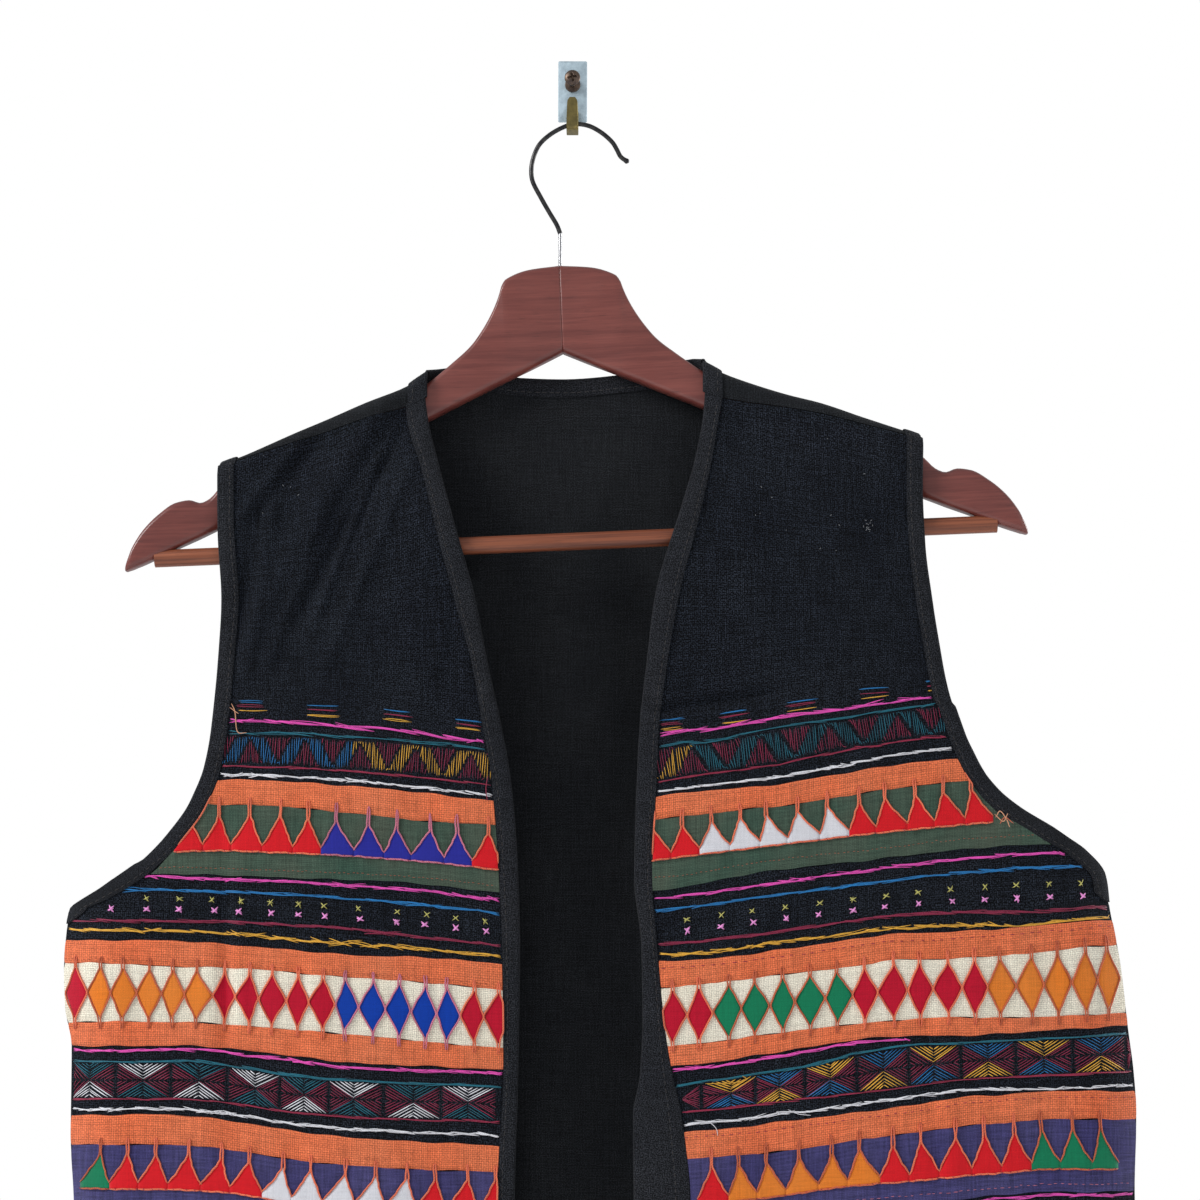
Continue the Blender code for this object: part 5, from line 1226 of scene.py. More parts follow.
def add_bindings(back):
    """The bindings of the front edges, the neck and the armholes, each with its stitches."""
    points, normals, _, neck, under, on_shoulder = back
    count = points.shape[1]
    rng = np.random.default_rng(3)
    outer_face = BINDING_CLEAR + BINDING_LEG
    for side in SIDES:
        heights = front_levels(side)
        heights = heights[2:] if side == RIGHT else heights
        run = front_edge_run(side, heights[::-1])
        add_binding(f"{side}_front_edge", f"{side}_front_binding", [run])
        add_seam_stitches(f"{side}_front_edge_stitches", [run], SEAM_STITCH, outer_face, 1, rng)
    right, left = on_shoulder - 1, count - on_shoulder
    wrap = np.arange(0, neck)
    nape = np.arange(right + 1, left)
    corner = {column: (points[neck, column], normals[neck, column]) for column in (right, left)}

    def mitre(column, outwards):
        """A corner of the neck: the seam turns round a grid cell, the edge stays near the corner."""
        place = np.linspace(0, 1, 5)[:, None]
        inset = points[neck, column + outwards] * (1 - place) + points[neck + 1, column + outwards] * place
        second = points[neck + 1, column + outwards] * (1 - place) + points[neck + 1, column] * place
        inset = np.concatenate((inset, second[1:]))
        edge, out = corner[column]
        spread = np.linspace(-1, 1, len(inset))[:, None]
        step = np.where(spread < 0, points[neck - 1, column] - edge, points[neck, column - outwards] - edge)
        edge = edge + step * np.abs(spread) * 0.1
        out = np.repeat(out[None], len(inset), axis=0)
        return edge, inset, out, out

    join = front_levels(RIGHT)[2::-1]
    runs = [
        front_edge_run(RIGHT, join),
        back_run(back, wrap, right, right - 1),
        mitre(right, -1),
        (points[neck, nape], points[neck + 1, nape], normals[neck, nape], normals[neck + 1, nape]),
        turned(mitre(left, 1)),
        back_run(back, wrap[::-1], left, left + 1),
    ]
    add_binding("neck_edge", "neck_binding", runs)
    add_seam_stitches("neck_edge_stitches", runs, SEAM_STITCH, outer_face, 1, rng)
    add_seam_stitches("neck_edge_inner_stitches", runs, SEAM_STITCH, PANEL_WALL + outer_face, -1, rng)
    for side, column, inset in ((RIGHT, 0, 1), (LEFT, -1, -2)):
        heights = front_levels(side)
        upper = heights[heights[:, 1] > level(side, "underarm")[1] + 0.0005]
        runs = [
            corner_run(side),
            armhole_run(side, upper[::-1]),
            back_run(back, np.arange(0, under), column, inset),
        ]
        add_binding(f"{side}_armhole_edge", f"{side}_armhole_binding", runs)
        add_seam_stitches(f"{side}_armhole_edge_stitches", runs, SEAM_STITCH, outer_face, 1, rng)


def add_seam_stitches(name, runs, share, lift, way, rng):
    """Running stitches along a binding, a share of its width in from its seam, each a short sunk thread."""
    edge, inset, _, out = (np.concatenate([run[k] for run in runs]) for k in range(4))
    line = inset + (edge - inset) * share
    along = np.concatenate(([0], np.cumsum(np.linalg.norm(np.diff(line, axis=0), axis=1))))
    starts = np.arange(0.002, along[-1] - 0.004, SEAM_STITCH_STEP)
    place = starts[:, None] + rng.normal(0, 0.0002, (len(starts), 1)) + np.linspace(0, SEAM_STITCH_LENGTH, 4)
    points = np.stack([np.interp(place, along, line[:, k]) for k in range(3)], axis=-1)
    normals = np.stack([np.interp(place, along, out[:, k]) for k in range(3)], axis=-1) * way
    lay_strands(name, points, normals, SEAM_STITCH_RADIUS, threads["charcoal"], lift, 0.7, 5, 0.0002)


def add_strip(side, strip, top, base):
    """A strip sewn on the front: a thin wall between two levels, its top edge turned in and a little full."""
    share = np.linspace(0, 1, STRIP_DOWN + 1)
    heights = between(side, top, base, share)
    first, last = front_span(side, heights, 0.0003)
    across = np.linspace(0, 1, STRIP_ACROSS + 1)
    x = first[:, None] + (last - first)[:, None] * across
    phase = len(strip) + 2 * SIDES.index(side)
    waver = np.sin(150 * x + phase) * np.sin(61 * x + 2 * phase) + 0.5 * np.sin(330 * x + 3 * phase)
    edge = EDGE_WAVER * waver * (2 * share[:, None] - 1) ** 4
    heights = heights[:, None, :] + edge[..., None]
    roll = STRIP_WALL * (1 - np.abs(2 * share - 1) ** 8)
    ripple = 0.00012 * np.sin(x * 420 + 3 * np.sin(x * 90)) * np.exp(-share[:, None] * 6)
    lift = STRIP_LIFT + roll[:, None] + ripple
    points, _ = on_front(side, heights, x, lift)
    inner, _ = on_front(side, heights, x, STRIP_LIFT - 0.0002)
    down = np.linalg.norm(np.diff(points, axis=0), axis=2).mean()
    v = np.repeat((share * down * STRIP_DOWN)[:, None], x.shape[1], axis=1)
    faces = wall_faces(np.ones((STRIP_DOWN, STRIP_ACROSS), dtype=bool))
    vertices = np.concatenate((points.reshape(-1, 3), inner.reshape(-1, 3)))
    uv = np.tile(np.stack((x, v), axis=2).reshape(-1, 2), (2, 1))
    colour = strip.split("_")[-1]
    piece = add_mesh(f"{side}_{strip}", vertices, faces, strip_cloths[colour], uv, sharp=50)
    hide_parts(f"{side}_{strip}_strip")
    return piece


def patch_cells(side, strip):
    """Tips, both bounds and colour of each patch: bounds and tips lie a little off their even places."""
    _, _, first, last, colours = PATCHES[side, strip]
    count = sum(number for _, number in colours)
    chance = np.random.default_rng(11 + len(strip))
    pitch = (last - first) / (count - 1)
    bounds = first + pitch * (np.arange(count + 1) - 0.5 + chance.uniform(-0.06, 0.06, count + 1))
    lean = PATCH_LEAN.get((side, strip), 0.0)
    tips = (bounds[1:] + bounds[:-1]) / 2 + pitch * (lean + chance.uniform(-0.09, 0.09, count))
    names = np.array([colour for colour, number in colours for _ in range(number)])
    return tips, bounds[:-1], bounds[1:], names


def kept_on_front(side, x, heights, clear):
    """Keeps x between the bindings, or the side seam, on each point's own level."""
    first, last = front_span(side, heights, clear)
    return np.clip(x, np.minimum(first, last), np.maximum(first, last))


def add_patches(side, strip, top):
    """Patches of one row, in one piece for each colour: a grid from tip to base, domed above the strip."""
    shape, base = PATCHES[side, strip][:2]
    tips, lower, upper, names = patch_cells(side, strip)
    down = np.linspace(0.0, 1.0, 19)
    over = np.linspace(-1, 1, 11)
    reach = patch_reach(shape, down)
    share = PATCH_TOP[shape] + (PATCH_BASE[shape] - PATCH_TOP[shape]) * down
    used = np.ones((len(down) - 1, len(over) - 1), dtype=bool)
    one, each = wall_faces(used), 2 * len(down) * len(over)
    for colour in dict.fromkeys(names):
        mine = names == colour
        tip, near, far = (part[mine][:, None, None] for part in (tips, lower, upper))
        heights = between(side, top, base, np.broadcast_to(share[:, None], (len(tip), len(down), len(over))))
        edge = np.where(over < 0, tip - near, far - tip)
        x = kept_on_front(side, tip + edge * reach[None, :, None] * over, heights, 0.0004)
        dome = PATCH_WALL * (1 - over**6) * np.minimum(1, 6 * reach)[None, :, None]
        points, _ = on_front(side, heights, x, PATCH_LIFT + dome)
        under, _ = on_front(side, heights, x, PATCH_LIFT - 0.0003)
        faces = (one[None] + each * np.arange(len(tip))[:, None, None]).reshape(-1, 4)
        vertices = np.concatenate((points.reshape(len(tip), -1, 3), under.reshape(len(tip), -1, 3)), axis=1)
        uv = vertices[..., (0, 2)].reshape(-1, 2)
        piece = add_mesh(
            f"{side}_{strip}_{colour}_patches", vertices.reshape(-1, 3), faces, patch_cloths[colour], uv
        )


def patch_reach(shape, down):
    """Half width of a patch, 0 to 1, down from its tip: full below a triangle's notches, or half way."""
    if shape == "triangle":
        full = (NOTCH - PATCH_TOP[shape]) / (PATCH_BASE[shape] - PATCH_TOP[shape])
        slope = np.minimum(down / full, 1)
        return 0.03 + 1.0 * (slope * 0.85 + 0.15 * slope**3)
    return 0.03 + 0.97 * (1 - np.abs(2 * down - 1) ** 1.06)


def hanger_frame(side, out, below, depth):
    """A place on the hanger: out from the centre, below the crown, turned by the hanger's tilt."""
    way = -1 if side == RIGHT else 1
    across = way * out * np.where(out > 0.001, ARM_REACH[side], 1)
    x = CROWN[0] + across * math.cos(TILT) + below * math.sin(TILT)
    z = CROWN[1] + across * math.sin(TILT) - below * math.cos(TILT)
    return np.stack(np.broadcast_arrays(x, depth, z), axis=-1)


def arm_depth(out):
    """The depth of an arm's middle: it sweeps forwards by a power of the way out."""
    return ARM_CENTRE_DEPTH - ARM_SWEEP * (out / ARM_LENGTH) ** ARM_SWEEP_POWER


def closed_rings(rings, sides):
    """Quads of a row of rings with both ends closed; sides is even."""
    ends = np.array([(0, k, k + 1, k + 2) for k in range(1, sides - 2, 2)])
    return np.concatenate((grid_faces(rings, sides, wrap=True), ends[:, ::-1], ends + (rings - 1) * sides))


def add_arm(side):
    """Rounded rectangles from the profile's top to its underside, along the arm and drawn in at its end."""
    first, last = 0.0, ARM_PROFILE[-1][0]
    shoulder, slope = np.linspace(0.001, 0.06, 60), np.linspace(0.062, last - ARM_END, 90)
    out = np.concatenate(([first, 0.0003], shoulder, slope))
    out = np.concatenate((out, last - ARM_END * (1 - np.sin(np.radians(np.arange(10, 91, 10))))))
    top, under = smooth(ARM_PROFILE, out, 1), smooth(ARM_PROFILE, out, 2)
    groove = ARM_GROOVE * np.clip(1 - (out - first) / 0.0003, 0, 1)
    drawn = np.sqrt(np.clip(1 - np.clip((out - last + ARM_END) / ARM_END, 0, 1) ** 2, 0.02, 1))
    middle, tall = (top + under) / 2, (under - top) / 2 * (0.35 + 0.65 * drawn) - groove
    wide = ARM_HALF * (0.35 + 0.65 * drawn) - groove
    turn = np.radians(np.concatenate([start + np.linspace(4, 86, 6) for start in (0, 90, 180, 270)]))
    reach = np.minimum(ARM_ROUNDING, np.minimum(tall, wide) * 0.95)[:, None]
    across = np.sign(np.cos(turn)) * (wide[:, None] - reach) + reach * np.cos(turn)
    below = middle[:, None] + np.sign(np.sin(turn)) * (tall[:, None] - reach) + reach * np.sin(turn)
    points = hanger_frame(side, out[:, None], below, arm_depth(out)[:, None] + across)
    sides = len(turn)
    uv = np.stack(np.broadcast_arrays(out[:, None], below), axis=2)
    faces = closed_rings(len(out), sides)
    piece = add_mesh(f"hanger_{side}", points.reshape(-1, 3), faces, arm_wood, uv.reshape(-1, 2), sharp=60)
    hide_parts(f"hanger_{side}_arm")


def swept(path, radius, up, sides=12, flat=1.0):
    """Rings round a path: at each point a circle of its radius across the path, flattened along up."""
    ahead = np.gradient(path, axis=-2)
    ahead = ahead / np.linalg.norm(ahead, axis=-1, keepdims=True)
    aside = np.cross(ahead, np.broadcast_to(up, path.shape))
    aside = aside / np.linalg.norm(aside, axis=-1, keepdims=True)
    above = np.cross(aside, ahead)
    angle = np.linspace(0, 2 * np.pi, sides, endpoint=False)[:, None]
    ring = aside[..., None, :] * np.cos(angle) + above[..., None, :] * np.sin(angle) * flat
    return path[..., None, :] + ring * np.broadcast_to(radius, path.shape[:-1])[..., None, None]


def add_rod(name, path, radius, material, up=(0, 1, 0), sides=20):
    """A round rod along a path, with closed ends."""
    rings = swept(path, radius, up, sides)
    along = np.concatenate(([0], np.cumsum(np.linalg.norm(np.diff(path, axis=0), axis=1))))
    around = np.linspace(0, 2 * np.pi, sides) * np.max(radius)
    uv = np.stack(np.broadcast_arrays(along[:, None], around), axis=2)
    faces = closed_rings(len(path), sides)
    return add_mesh(name, rings.reshape(-1, 3), faces, material, uv.reshape(-1, 2), sharp=60)


def smooth_route(points, steps):
    """A curve through points by cubic pieces whose tangents join each point's two neighbours."""
    points = np.array(points)
    tangents = np.zeros_like(points)
    tangents[1:-1] = (points[2:] - points[:-2]) / 2
    tangents[0], tangents[-1] = points[1] - points[0], points[-1] - points[-2]
    t = np.linspace(0, 1, steps, endpoint=False)[None, :, None]
    start = points[:-1, None] * (1 + 2 * t) * (1 - t) ** 2 + tangents[:-1, None] * t * (1 - t) ** 2
    end = points[1:, None] * t**2 * (3 - 2 * t) + tangents[1:, None] * t**2 * (t - 1)
    return np.concatenate(((start + end).reshape(-1, 3), points[-1:]))


def add_hanger():
    """Both arms, the bar between them, and the wire hook with its shank."""
    for side in SIDES:
        add_arm(side)
    ends = [hanger_frame(side, np.array(BAR_REACH), BAR_DROP, BAR_DEPTH) for side in SIDES]
    bar = add_rod("bar", ends[0] + (ends[1] - ends[0]) * np.linspace(0, 1, 80)[:, None], BAR_RADIUS, bar_wood)
    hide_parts("hanger_bar")
    above = (WIRE_FOOT_X, ARM_CENTRE_DEPTH, WIRE_FOOT_TOP)
    route = smooth_route([(x, ARM_CENTRE_DEPTH, z) for x, z in WIRE_POINTS] + [above], 8)
    gone = np.linalg.norm(route - route[0], axis=1)
    tip = WIRE_TIP * np.sqrt(np.clip(1 - ((gone - WIRE_TIP) / WIRE_TIP) ** 2, 0.01, 1)) * (gone < 0.0025)
    hook = add_rod("hook_wire", route, np.maximum(tip, WIRE_RADIUS * (gone > 0.0006)) + WIRE_PAINT, dark_wire)
    drop = WIRE_FOOT - WIRE_FOOT_TOP
    shank = np.array(above) + np.array([(0, 0, drop * share) for share in np.linspace(0, 1, 12)])
    shank = add_rod("hook_shank", shank, SHANK_RADIUS, shank_wire)
    for piece in (hook, shank):
        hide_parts("hanger_hook")


def bend(centre, radius, start, end, steps=9):
    """Points along a round bend, by angle in degrees."""
    angles = np.radians(np.linspace(start, end, steps))
    return np.stack((centre[0] + radius * np.cos(angles), centre[1] + radius * np.sin(angles)), axis=1)


def tongue_line(back, low, inset):
    """The side line of the bent strip, moved in by inset: down, forward under the wire and up."""
    back_centre = (back - TONGUE_BEND, low + TONGUE_BEND)
    front_centre = (TONGUE_FRONT + TONGUE_FRONT_BEND, low + TONGUE_FRONT_BEND)
    upright = np.linspace(low + TONGUE_RISE, low + TONGUE_BEND + 0.0005, 6)
    straight = np.stack((np.full(6, back - inset), upright), axis=1)
    rise = np.linspace(low + TONGUE_FRONT_BEND + 0.0005, TONGUE_TIP, 12)
    rise = np.stack((np.full(12, TONGUE_FRONT + inset), rise), axis=1)
    under = bend(back_centre, TONGUE_BEND - inset, 0, -90)
    return np.concatenate((straight, under, bend(front_centre, TONGUE_FRONT_BEND - inset, -90, -180), rise))


def add_tongue():
    """The strip's side line carried straight across its width, narrowed to a rounded end at the tip."""
    back = -PLATE_THICKNESS - METAL_GAP
    low = WIRE_REST - WIRE_RADIUS - METAL_GAP - TONGUE_STRIP
    outer, inner = tongue_line(back, low, 0), tongue_line(back, low, TONGUE_STRIP)
    left_to_go = np.concatenate((np.cumsum(np.linalg.norm(np.diff(outer, axis=0), axis=1)[::-1])[::-1], [0]))
    half = TONGUE_WIDTH / 2 * (0.55 + 0.45 * np.sqrt(np.clip(left_to_go / 0.0022, 0, 1)))
    half = half * (1 - 0.14 * np.clip(1 - left_to_go / 0.012, 0, 1))
    centre, thick = (outer + inner) / 2, (outer - inner) / 2
    round_edge = np.array([(s * c, t) for s, c, t in (
        (-1, 1, -0.4), (-1, 1, 0.4), (-1, 0.93, 1), (1, 0.93, 1),
        (1, 1, 0.4), (1, 1, -0.4), (1, 0.93, -1), (-1, 0.93, -1),
    )])
    place = centre[:, None] + thick[:, None] * round_edge[:, 1, None]
    points = np.concatenate((half[:, None, None] * round_edge[:, :1], place), axis=2)
    piece = add_mesh("hook_tongue", points.reshape(-1, 3), closed_rings(len(outer), 8), brass, sharp=45)
    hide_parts("wall_hook_tongue")


def add_plate():
    """A flat rectangle with small rounded corners and a rounded front edge: outlines from back to front."""
    half_x, half_z = PLATE_WIDTH / 2, (PLATE_TOP - PLATE_BOTTOM) / 2
    turn = np.radians(np.concatenate([start + np.linspace(0, 90, 6) for start in (0, 90, 180, 270)]))
    corner = 0.0009
    ring = np.stack((
        np.sign(np.cos(turn + 0.01)) * (half_x - corner) + corner * np.cos(turn),
        np.sign(np.sin(turn + 0.01)) * (half_z - corner) + corner * np.sin(turn),
    ), axis=1)
    turn_sign = np.stack((np.sign(ring[:, 0]), np.sign(ring[:, 1])), axis=1)
    layers = []
    for depth, inset in ((0, 0), (0.0006, 0), (0.0009, 0.0001), (PLATE_THICKNESS, 0.0004)):
        flat = ring - turn_sign * inset
        raised = flat[:, 1] + PLATE_BOTTOM + half_z
        layers.append(np.stack((flat[:, 0], np.full(len(flat), -depth), raised), axis=1))
    points = np.concatenate(layers)
    piece = add_mesh("plate", points, closed_rings(len(layers), len(turn)), zinc, sharp=45)
    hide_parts("wall_plate")


def add_screw():
    """A turned profile of radius and depth. The head's front sinks by a cross-shaped recess at its axis."""
    collar = -PLATE_THICKNESS - METAL_GAP
    head, face = SCREW_HEAD_DEPTH, SCREW_HEAD_DEPTH - SCREW_HEAD_THICKNESS
    profile = [
        # radius, y
        (0.00002, -METAL_GAP),
        (SCREW_RADIUS, -METAL_GAP),
        (SCREW_RADIUS, collar),
        (SCREW_HEAD_RADIUS * 0.96, collar),
        (SCREW_HEAD_RADIUS, collar - COLLAR_THICKNESS * 0.3),
        (SCREW_HEAD_RADIUS * 0.93, collar - COLLAR_THICKNESS),
        (SCREW_RADIUS, collar - COLLAR_THICKNESS - METAL_GAP),
        (SCREW_RADIUS, head),
        (SCREW_HEAD_RADIUS * 0.97, head),
        (SCREW_HEAD_RADIUS, head - 0.0004),
    ]
    dome = np.radians(np.linspace(10, 90, 26))
    line = np.concatenate((profile, np.stack((
        SCREW_HEAD_RADIUS * np.cos(dome) + 0.00002, head - 0.0004 + (face - head + 0.0004) * np.sin(dome)
    ), axis=1)))
    angle = np.linspace(0, 2 * np.pi, 64, endpoint=False)
    x, z = line[:, :1] * np.cos(angle + 0.5), line[:, :1] * np.sin(angle + 0.5)
    near, far = np.minimum(np.abs(x), np.abs(z)), np.maximum(np.abs(x), np.abs(z))
    sink = 0.0013 / (1 + np.exp((near - 0.00042) / 0.00007)) / (1 + np.exp((far - 0.0021) / 0.00015))
    y = line[:, 1:] + sink * (np.arange(len(line)) >= len(profile))[:, None]
    turn = math.radians(12)
    turned_x = x * math.cos(turn) - z * math.sin(turn)
    turned_z = x * math.sin(turn) + z * math.cos(turn)
    points = np.stack((turned_x, y, turned_z), axis=2)
    points = points.reshape(-1, 3) + (0, 0, SCREW_HEIGHT)
    piece = add_mesh("screw", points, closed_rings(len(line), len(angle)), bronze, sharp=40)
    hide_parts("wall_screw")


def add_strands(name, side, x, heights, radius, material, lift, flat=0.75, sides=6, sink=0.0003):
    """Threads laid on a front: each follows its row of x and levels."""
    z = flat_place(side, heights, x)
    return lay_strands(name, *off_front(x, z, 0 * x), radius, material, lift, flat, sides, sink)


def lay_strands(name, points, normals, radius, material, lift, flat=0.75, sides=6, sink=0.0003):
    """Threads laid along rows of points: each is a flattened tube off the cloth, its two ends sunk in."""
    count, rings = points.shape[:2]
    radius = np.broadcast_to(np.asarray(radius, dtype=float), (count,))
    along = np.linspace(-1, 1, rings)
    over = 1 - np.abs(along) ** 6
    off_cloth = np.broadcast_to(lift, (count,))[:, None] + (radius * flat)[:, None] - sink * (1 - over)
    points = points + normals * off_cloth[..., None]
    thin = radius[:, None] * (0.45 + 0.55 * over)
    tubes = swept(points, thin, normals, sides, flat)
    one = closed_rings(rings, sides)
    faces = (one[None] + rings * sides * np.arange(count)[:, None, None]).reshape(-1, 4)
    gone = np.linalg.norm(np.diff(points, axis=1), axis=2).cumsum(axis=1)
    gone = np.concatenate((np.zeros((count, 1)), gone), axis=1) + np.arange(count)[:, None] * 0.37
    uv = np.stack(np.broadcast_arrays(gone[..., None], np.linspace(0, 1, sides)), axis=-1)
    piece = add_mesh(name, tubes.reshape(-1, 3), faces, material, uv.reshape(-1, 2))
    return piece


def clipped_span(side, name):
    """The x of both ends of a level's line between the bindings or the side seam, lower x first."""
    first, last = front_span(side, level(side, name)[None], 0.0008)
    return sorted((float(first[0]), float(last[0])))


def add_floss(side, row, rng):
    """A line of overlapping straight stitches: each slants across the line, and its two strands fan apart."""
    name, colour, lanes, spread, radius, length = row
    low, high = clipped_span(side, name)
    high = min(high, FLOSS_ENDS.get((side, name), high))
    starts, ends = [], []
    for _ in range(lanes):
        place = low - rng.uniform(0, length * 0.6)
        while place < high - FLOSS_SHORTEST:
            reach = length * rng.uniform(0.55, 1.35)
            starts.append(max(place, low))
            ends.append(min(place + reach, high))
            place += reach * rng.uniform(0.84, 0.97)
    starts, ends = np.array(starts), np.array(ends)
    kept = ends - starts > FLOSS_SHORTEST
    starts, ends = np.repeat(starts[kept], 2), np.repeat(ends[kept], 2)
    share = np.linspace(0, 1, 7)
    pairs = len(starts) // 2
    wander = rng.normal(0, FLOSS_WANDER, (len(starts), 1)) * (share - 0.5)
    x = starts[:, None] + wander + (ends - starts)[:, None] * share
    slant = np.repeat(rng.uniform(0.1, 1.0, pairs) * rng.choice((1, 1, -1), pairs), 2) * spread
    fan = rng.normal(0, 0.32, (2, len(starts))) * spread
    bow = rng.normal(0, 0.22, len(starts)) * spread
    rise = (slant + fan[0])[:, None] * (1 - share) + (fan[1] - slant)[:, None] * share
    rise += bow[:, None] * np.sin(np.pi * share)
    heights = level(side, name) + rise[..., None]
    widths = radius * rng.uniform(0.7, 1.3, len(starts))
    lift = STITCH_LIFT["cloth"] + rng.uniform(0, FLOSS_PILE, len(starts))
    tag = name.replace(" ", "_")
    return add_strands(f"{side}_{tag}_floss", side, x, heights, widths, threads[colour], lift)


def add_uprights(side, rng):
    """Upright stitches: a zigzag of one colour between wedges of another that point down and up by turns."""
    low, high = clipped_span(side, "upright base")
    x = np.arange(low, high, UPRIGHT_PITCH)
    x = x + rng.normal(0, UPRIGHT_JITTER, len(x))
    phase = np.abs(((x - low) / UPRIGHT_PERIOD[side]) % 1 * 2 - 1)
    upper = np.clip((phase - 0.52) * 2.0, 0, 0.86)
    lower = np.clip((0.48 - phase) * 2.0, 0, 0.86)
    jitter = rng.normal(0, 0.025, (3, len(x)))
    parts = {}
    for k, (place, phase_up, phase_low) in enumerate(zip(x, upper, lower)):
        zigzag, wedge = [row[1:] for row in UPRIGHT_COLOURS[side] if row[0] <= place][-1]
        if phase_up > 0.06:
            parts.setdefault(wedge, []).append((place, 0.02 + jitter[0, k], phase_up - 0.02))
        if phase_low > 0.06:
            parts.setdefault(wedge, []).append((place, 1.02 - phase_low, 0.98 + jitter[1, k]))
        parts.setdefault(zigzag, []).append((place, phase_up + 0.03, 1 - phase_low - 0.03 + jitter[2, k]))
    share = np.linspace(0, 1, 5)
    for colour, rows in parts.items():
        place, start, end = np.array(rows).T
        lean = rng.normal(UPRIGHT_LEAN[side], UPRIGHT_WANDER, (len(place), 1)) * (share - 0.5)
        down = start[:, None] + (end - start)[:, None] * share
        heights = between(side, "upright top", "upright base", np.clip(down, 0, 1))
        strands = place[:, None] + lean
        radius = UPRIGHT_RADIUS * rng.uniform(0.75, 1.3, len(place))
        name = f"{side}_upright_{colour}"
        add_strands(name, side, strands, heights, radius, threads[colour], STITCH_LIFT["cloth"])


def add_dashes(side, rng):
    """Groups of three short dashes one above the other, each of two loose strands."""
    groups = np.repeat(DASHES[side], 2, axis=0)
    share = np.linspace(0, 1, 7)
    for k, colour in enumerate(DASH_COLOURS):
        start = groups[:, 0] + rng.normal(0, DASH_WANDER[0], len(groups))
        end = groups[:, 1] + rng.normal(0, DASH_WANDER[1], len(groups))
        x = start[:, None] + (end - start)[:, None] * share
        wave = rng.normal(0, DASH_WAVE, (len(groups), 3))
        rise = wave[:, :1] + wave[:, 1:2] * np.sin(3 * share) + wave[:, 2:] * share
        z = groups[:, 2:3] + (groups[:, 3:] - groups[:, 2:3]) * share + rise - k * DASH_DROP
        laid = off_front(x, z, 0 * x)
        lay_strands(f"{side}_dash_{colour}", *laid, DASH_RADIUS, threads[colour], STITCH_LIFT["cloth"])


def add_crosses(side, rng):
    """Small crosses of two pairs of strands, a row of yellow-green above a row of pink."""
    for name, colour, reach, radius in CROSS_ROWS:
        centres = np.array(CROSSES[side]) + rng.normal(0, CROSS_WANDER, len(CROSSES[side]))
        if side == RIGHT and name.startswith("pink"):
            centres = np.append(centres, FIRST_CROSS_PINK_ONLY)
        low, high = clipped_span(side, name)
        centres = centres[(centres > low + 0.003) & (centres < high - 0.002)]
        share = np.linspace(-1, 1, 5)
        x, heights = [], []
        for way in (-1, 1):
            for aside in (-CROSS_APART, CROSS_APART):
                turn = CROSS_TURN + rng.normal(0, 0.22, len(centres))
                size = reach * rng.uniform(0.8, 1.15, len(centres))
                x.append(centres[:, None] + (size * np.cos(turn))[:, None] * share + aside)
                rise = way * (size * np.sin(turn))[:, None] * share + aside * way
                heights.append(level(side, name) + rise[..., None])
        lift = STITCH_LIFT["cloth"] + np.repeat(CROSS_LIFTS, len(centres))
        x, heights = np.concatenate(x), np.concatenate(heights)
        tag = name.replace(" ", "_")
        add_strands(f"{side}_{tag}", side, x, heights, radius, threads[colour], lift, sink=0.0004)


def add_nest(side, rng):
    """The diamond band: nested diamonds, and nested V lines above and below where two diamonds meet."""
    crossings = np.array(NEST_CROSSINGS[side])
    low, high = clipped_span(side, "nest base")
    share = np.linspace(0, 1, 5)
    lines = {}

    def add_line(colour, x_start, x_end, level_start, level_end):
        """Keeps one line of the nest with the others of its colour."""
        lines.setdefault(colour, []).append((x_start, x_end, level_start, level_end))

    for k in range(len(crossings) - 1):
        near, far = crossings[k], crossings[k + 1]
        middle, half = (near + far) / 2, (far - near) / 2
        for size in NEST_SIZES:
            for way in (-1, 1):
                for up in (-1, 1):
                    start = middle + way * half * size
                    top = 0.5 + up * 0.5 * size
                    add_line("maroon", start, middle + way * half * 0.05, 0.5 + up * 0.012, top - up * 0.03)
    for k in range(1, len(crossings) - 1):
        colours = NEST_COLOURS[side][k % 2]
        half = (crossings[k + 1] - crossings[k - 1]) / 4
        for up, colour in ((-1, colours[0]), (1, colours[1])):
            for size in NEST_STEPS:
                for way in (-1, 1):
                    rim, apex = 0.5 + up * 0.5, 0.5 + up * 0.5 * (1 - size)
                    add_line(colour, crossings[k] + way * half * size, crossings[k], rim, apex)
    for colour, rows in lines.items():
        start, end, first, last = np.array(rows).T
        start, end = np.clip(start, low, high), np.clip(end, low, high)
        kept = np.abs(end - start) > 0.0008
        start, end, first, last = (np.array(part)[kept] for part in (start, end, first, last))
        jitter = rng.normal(0, NEST_JITTER, (2, len(start)))
        x = start[:, None] + jitter[0][:, None] + (end - start)[:, None] * share
        down = first[:, None] + (last - first)[:, None] * share
        heights = between(side, "nest top", "nest base", down) + jitter[1][:, None, None]
        radius = NEST_BRIGHT_RADIUS if colour in NEST_BRIGHT else NEST_RADIUS
        radius = radius * rng.uniform(0.85, 1.15, len(start))
        lift = STITCH_LIFT["cloth"]
        add_strands(f"{side}_nest_{colour}", side, x, heights, radius, threads[colour], lift)


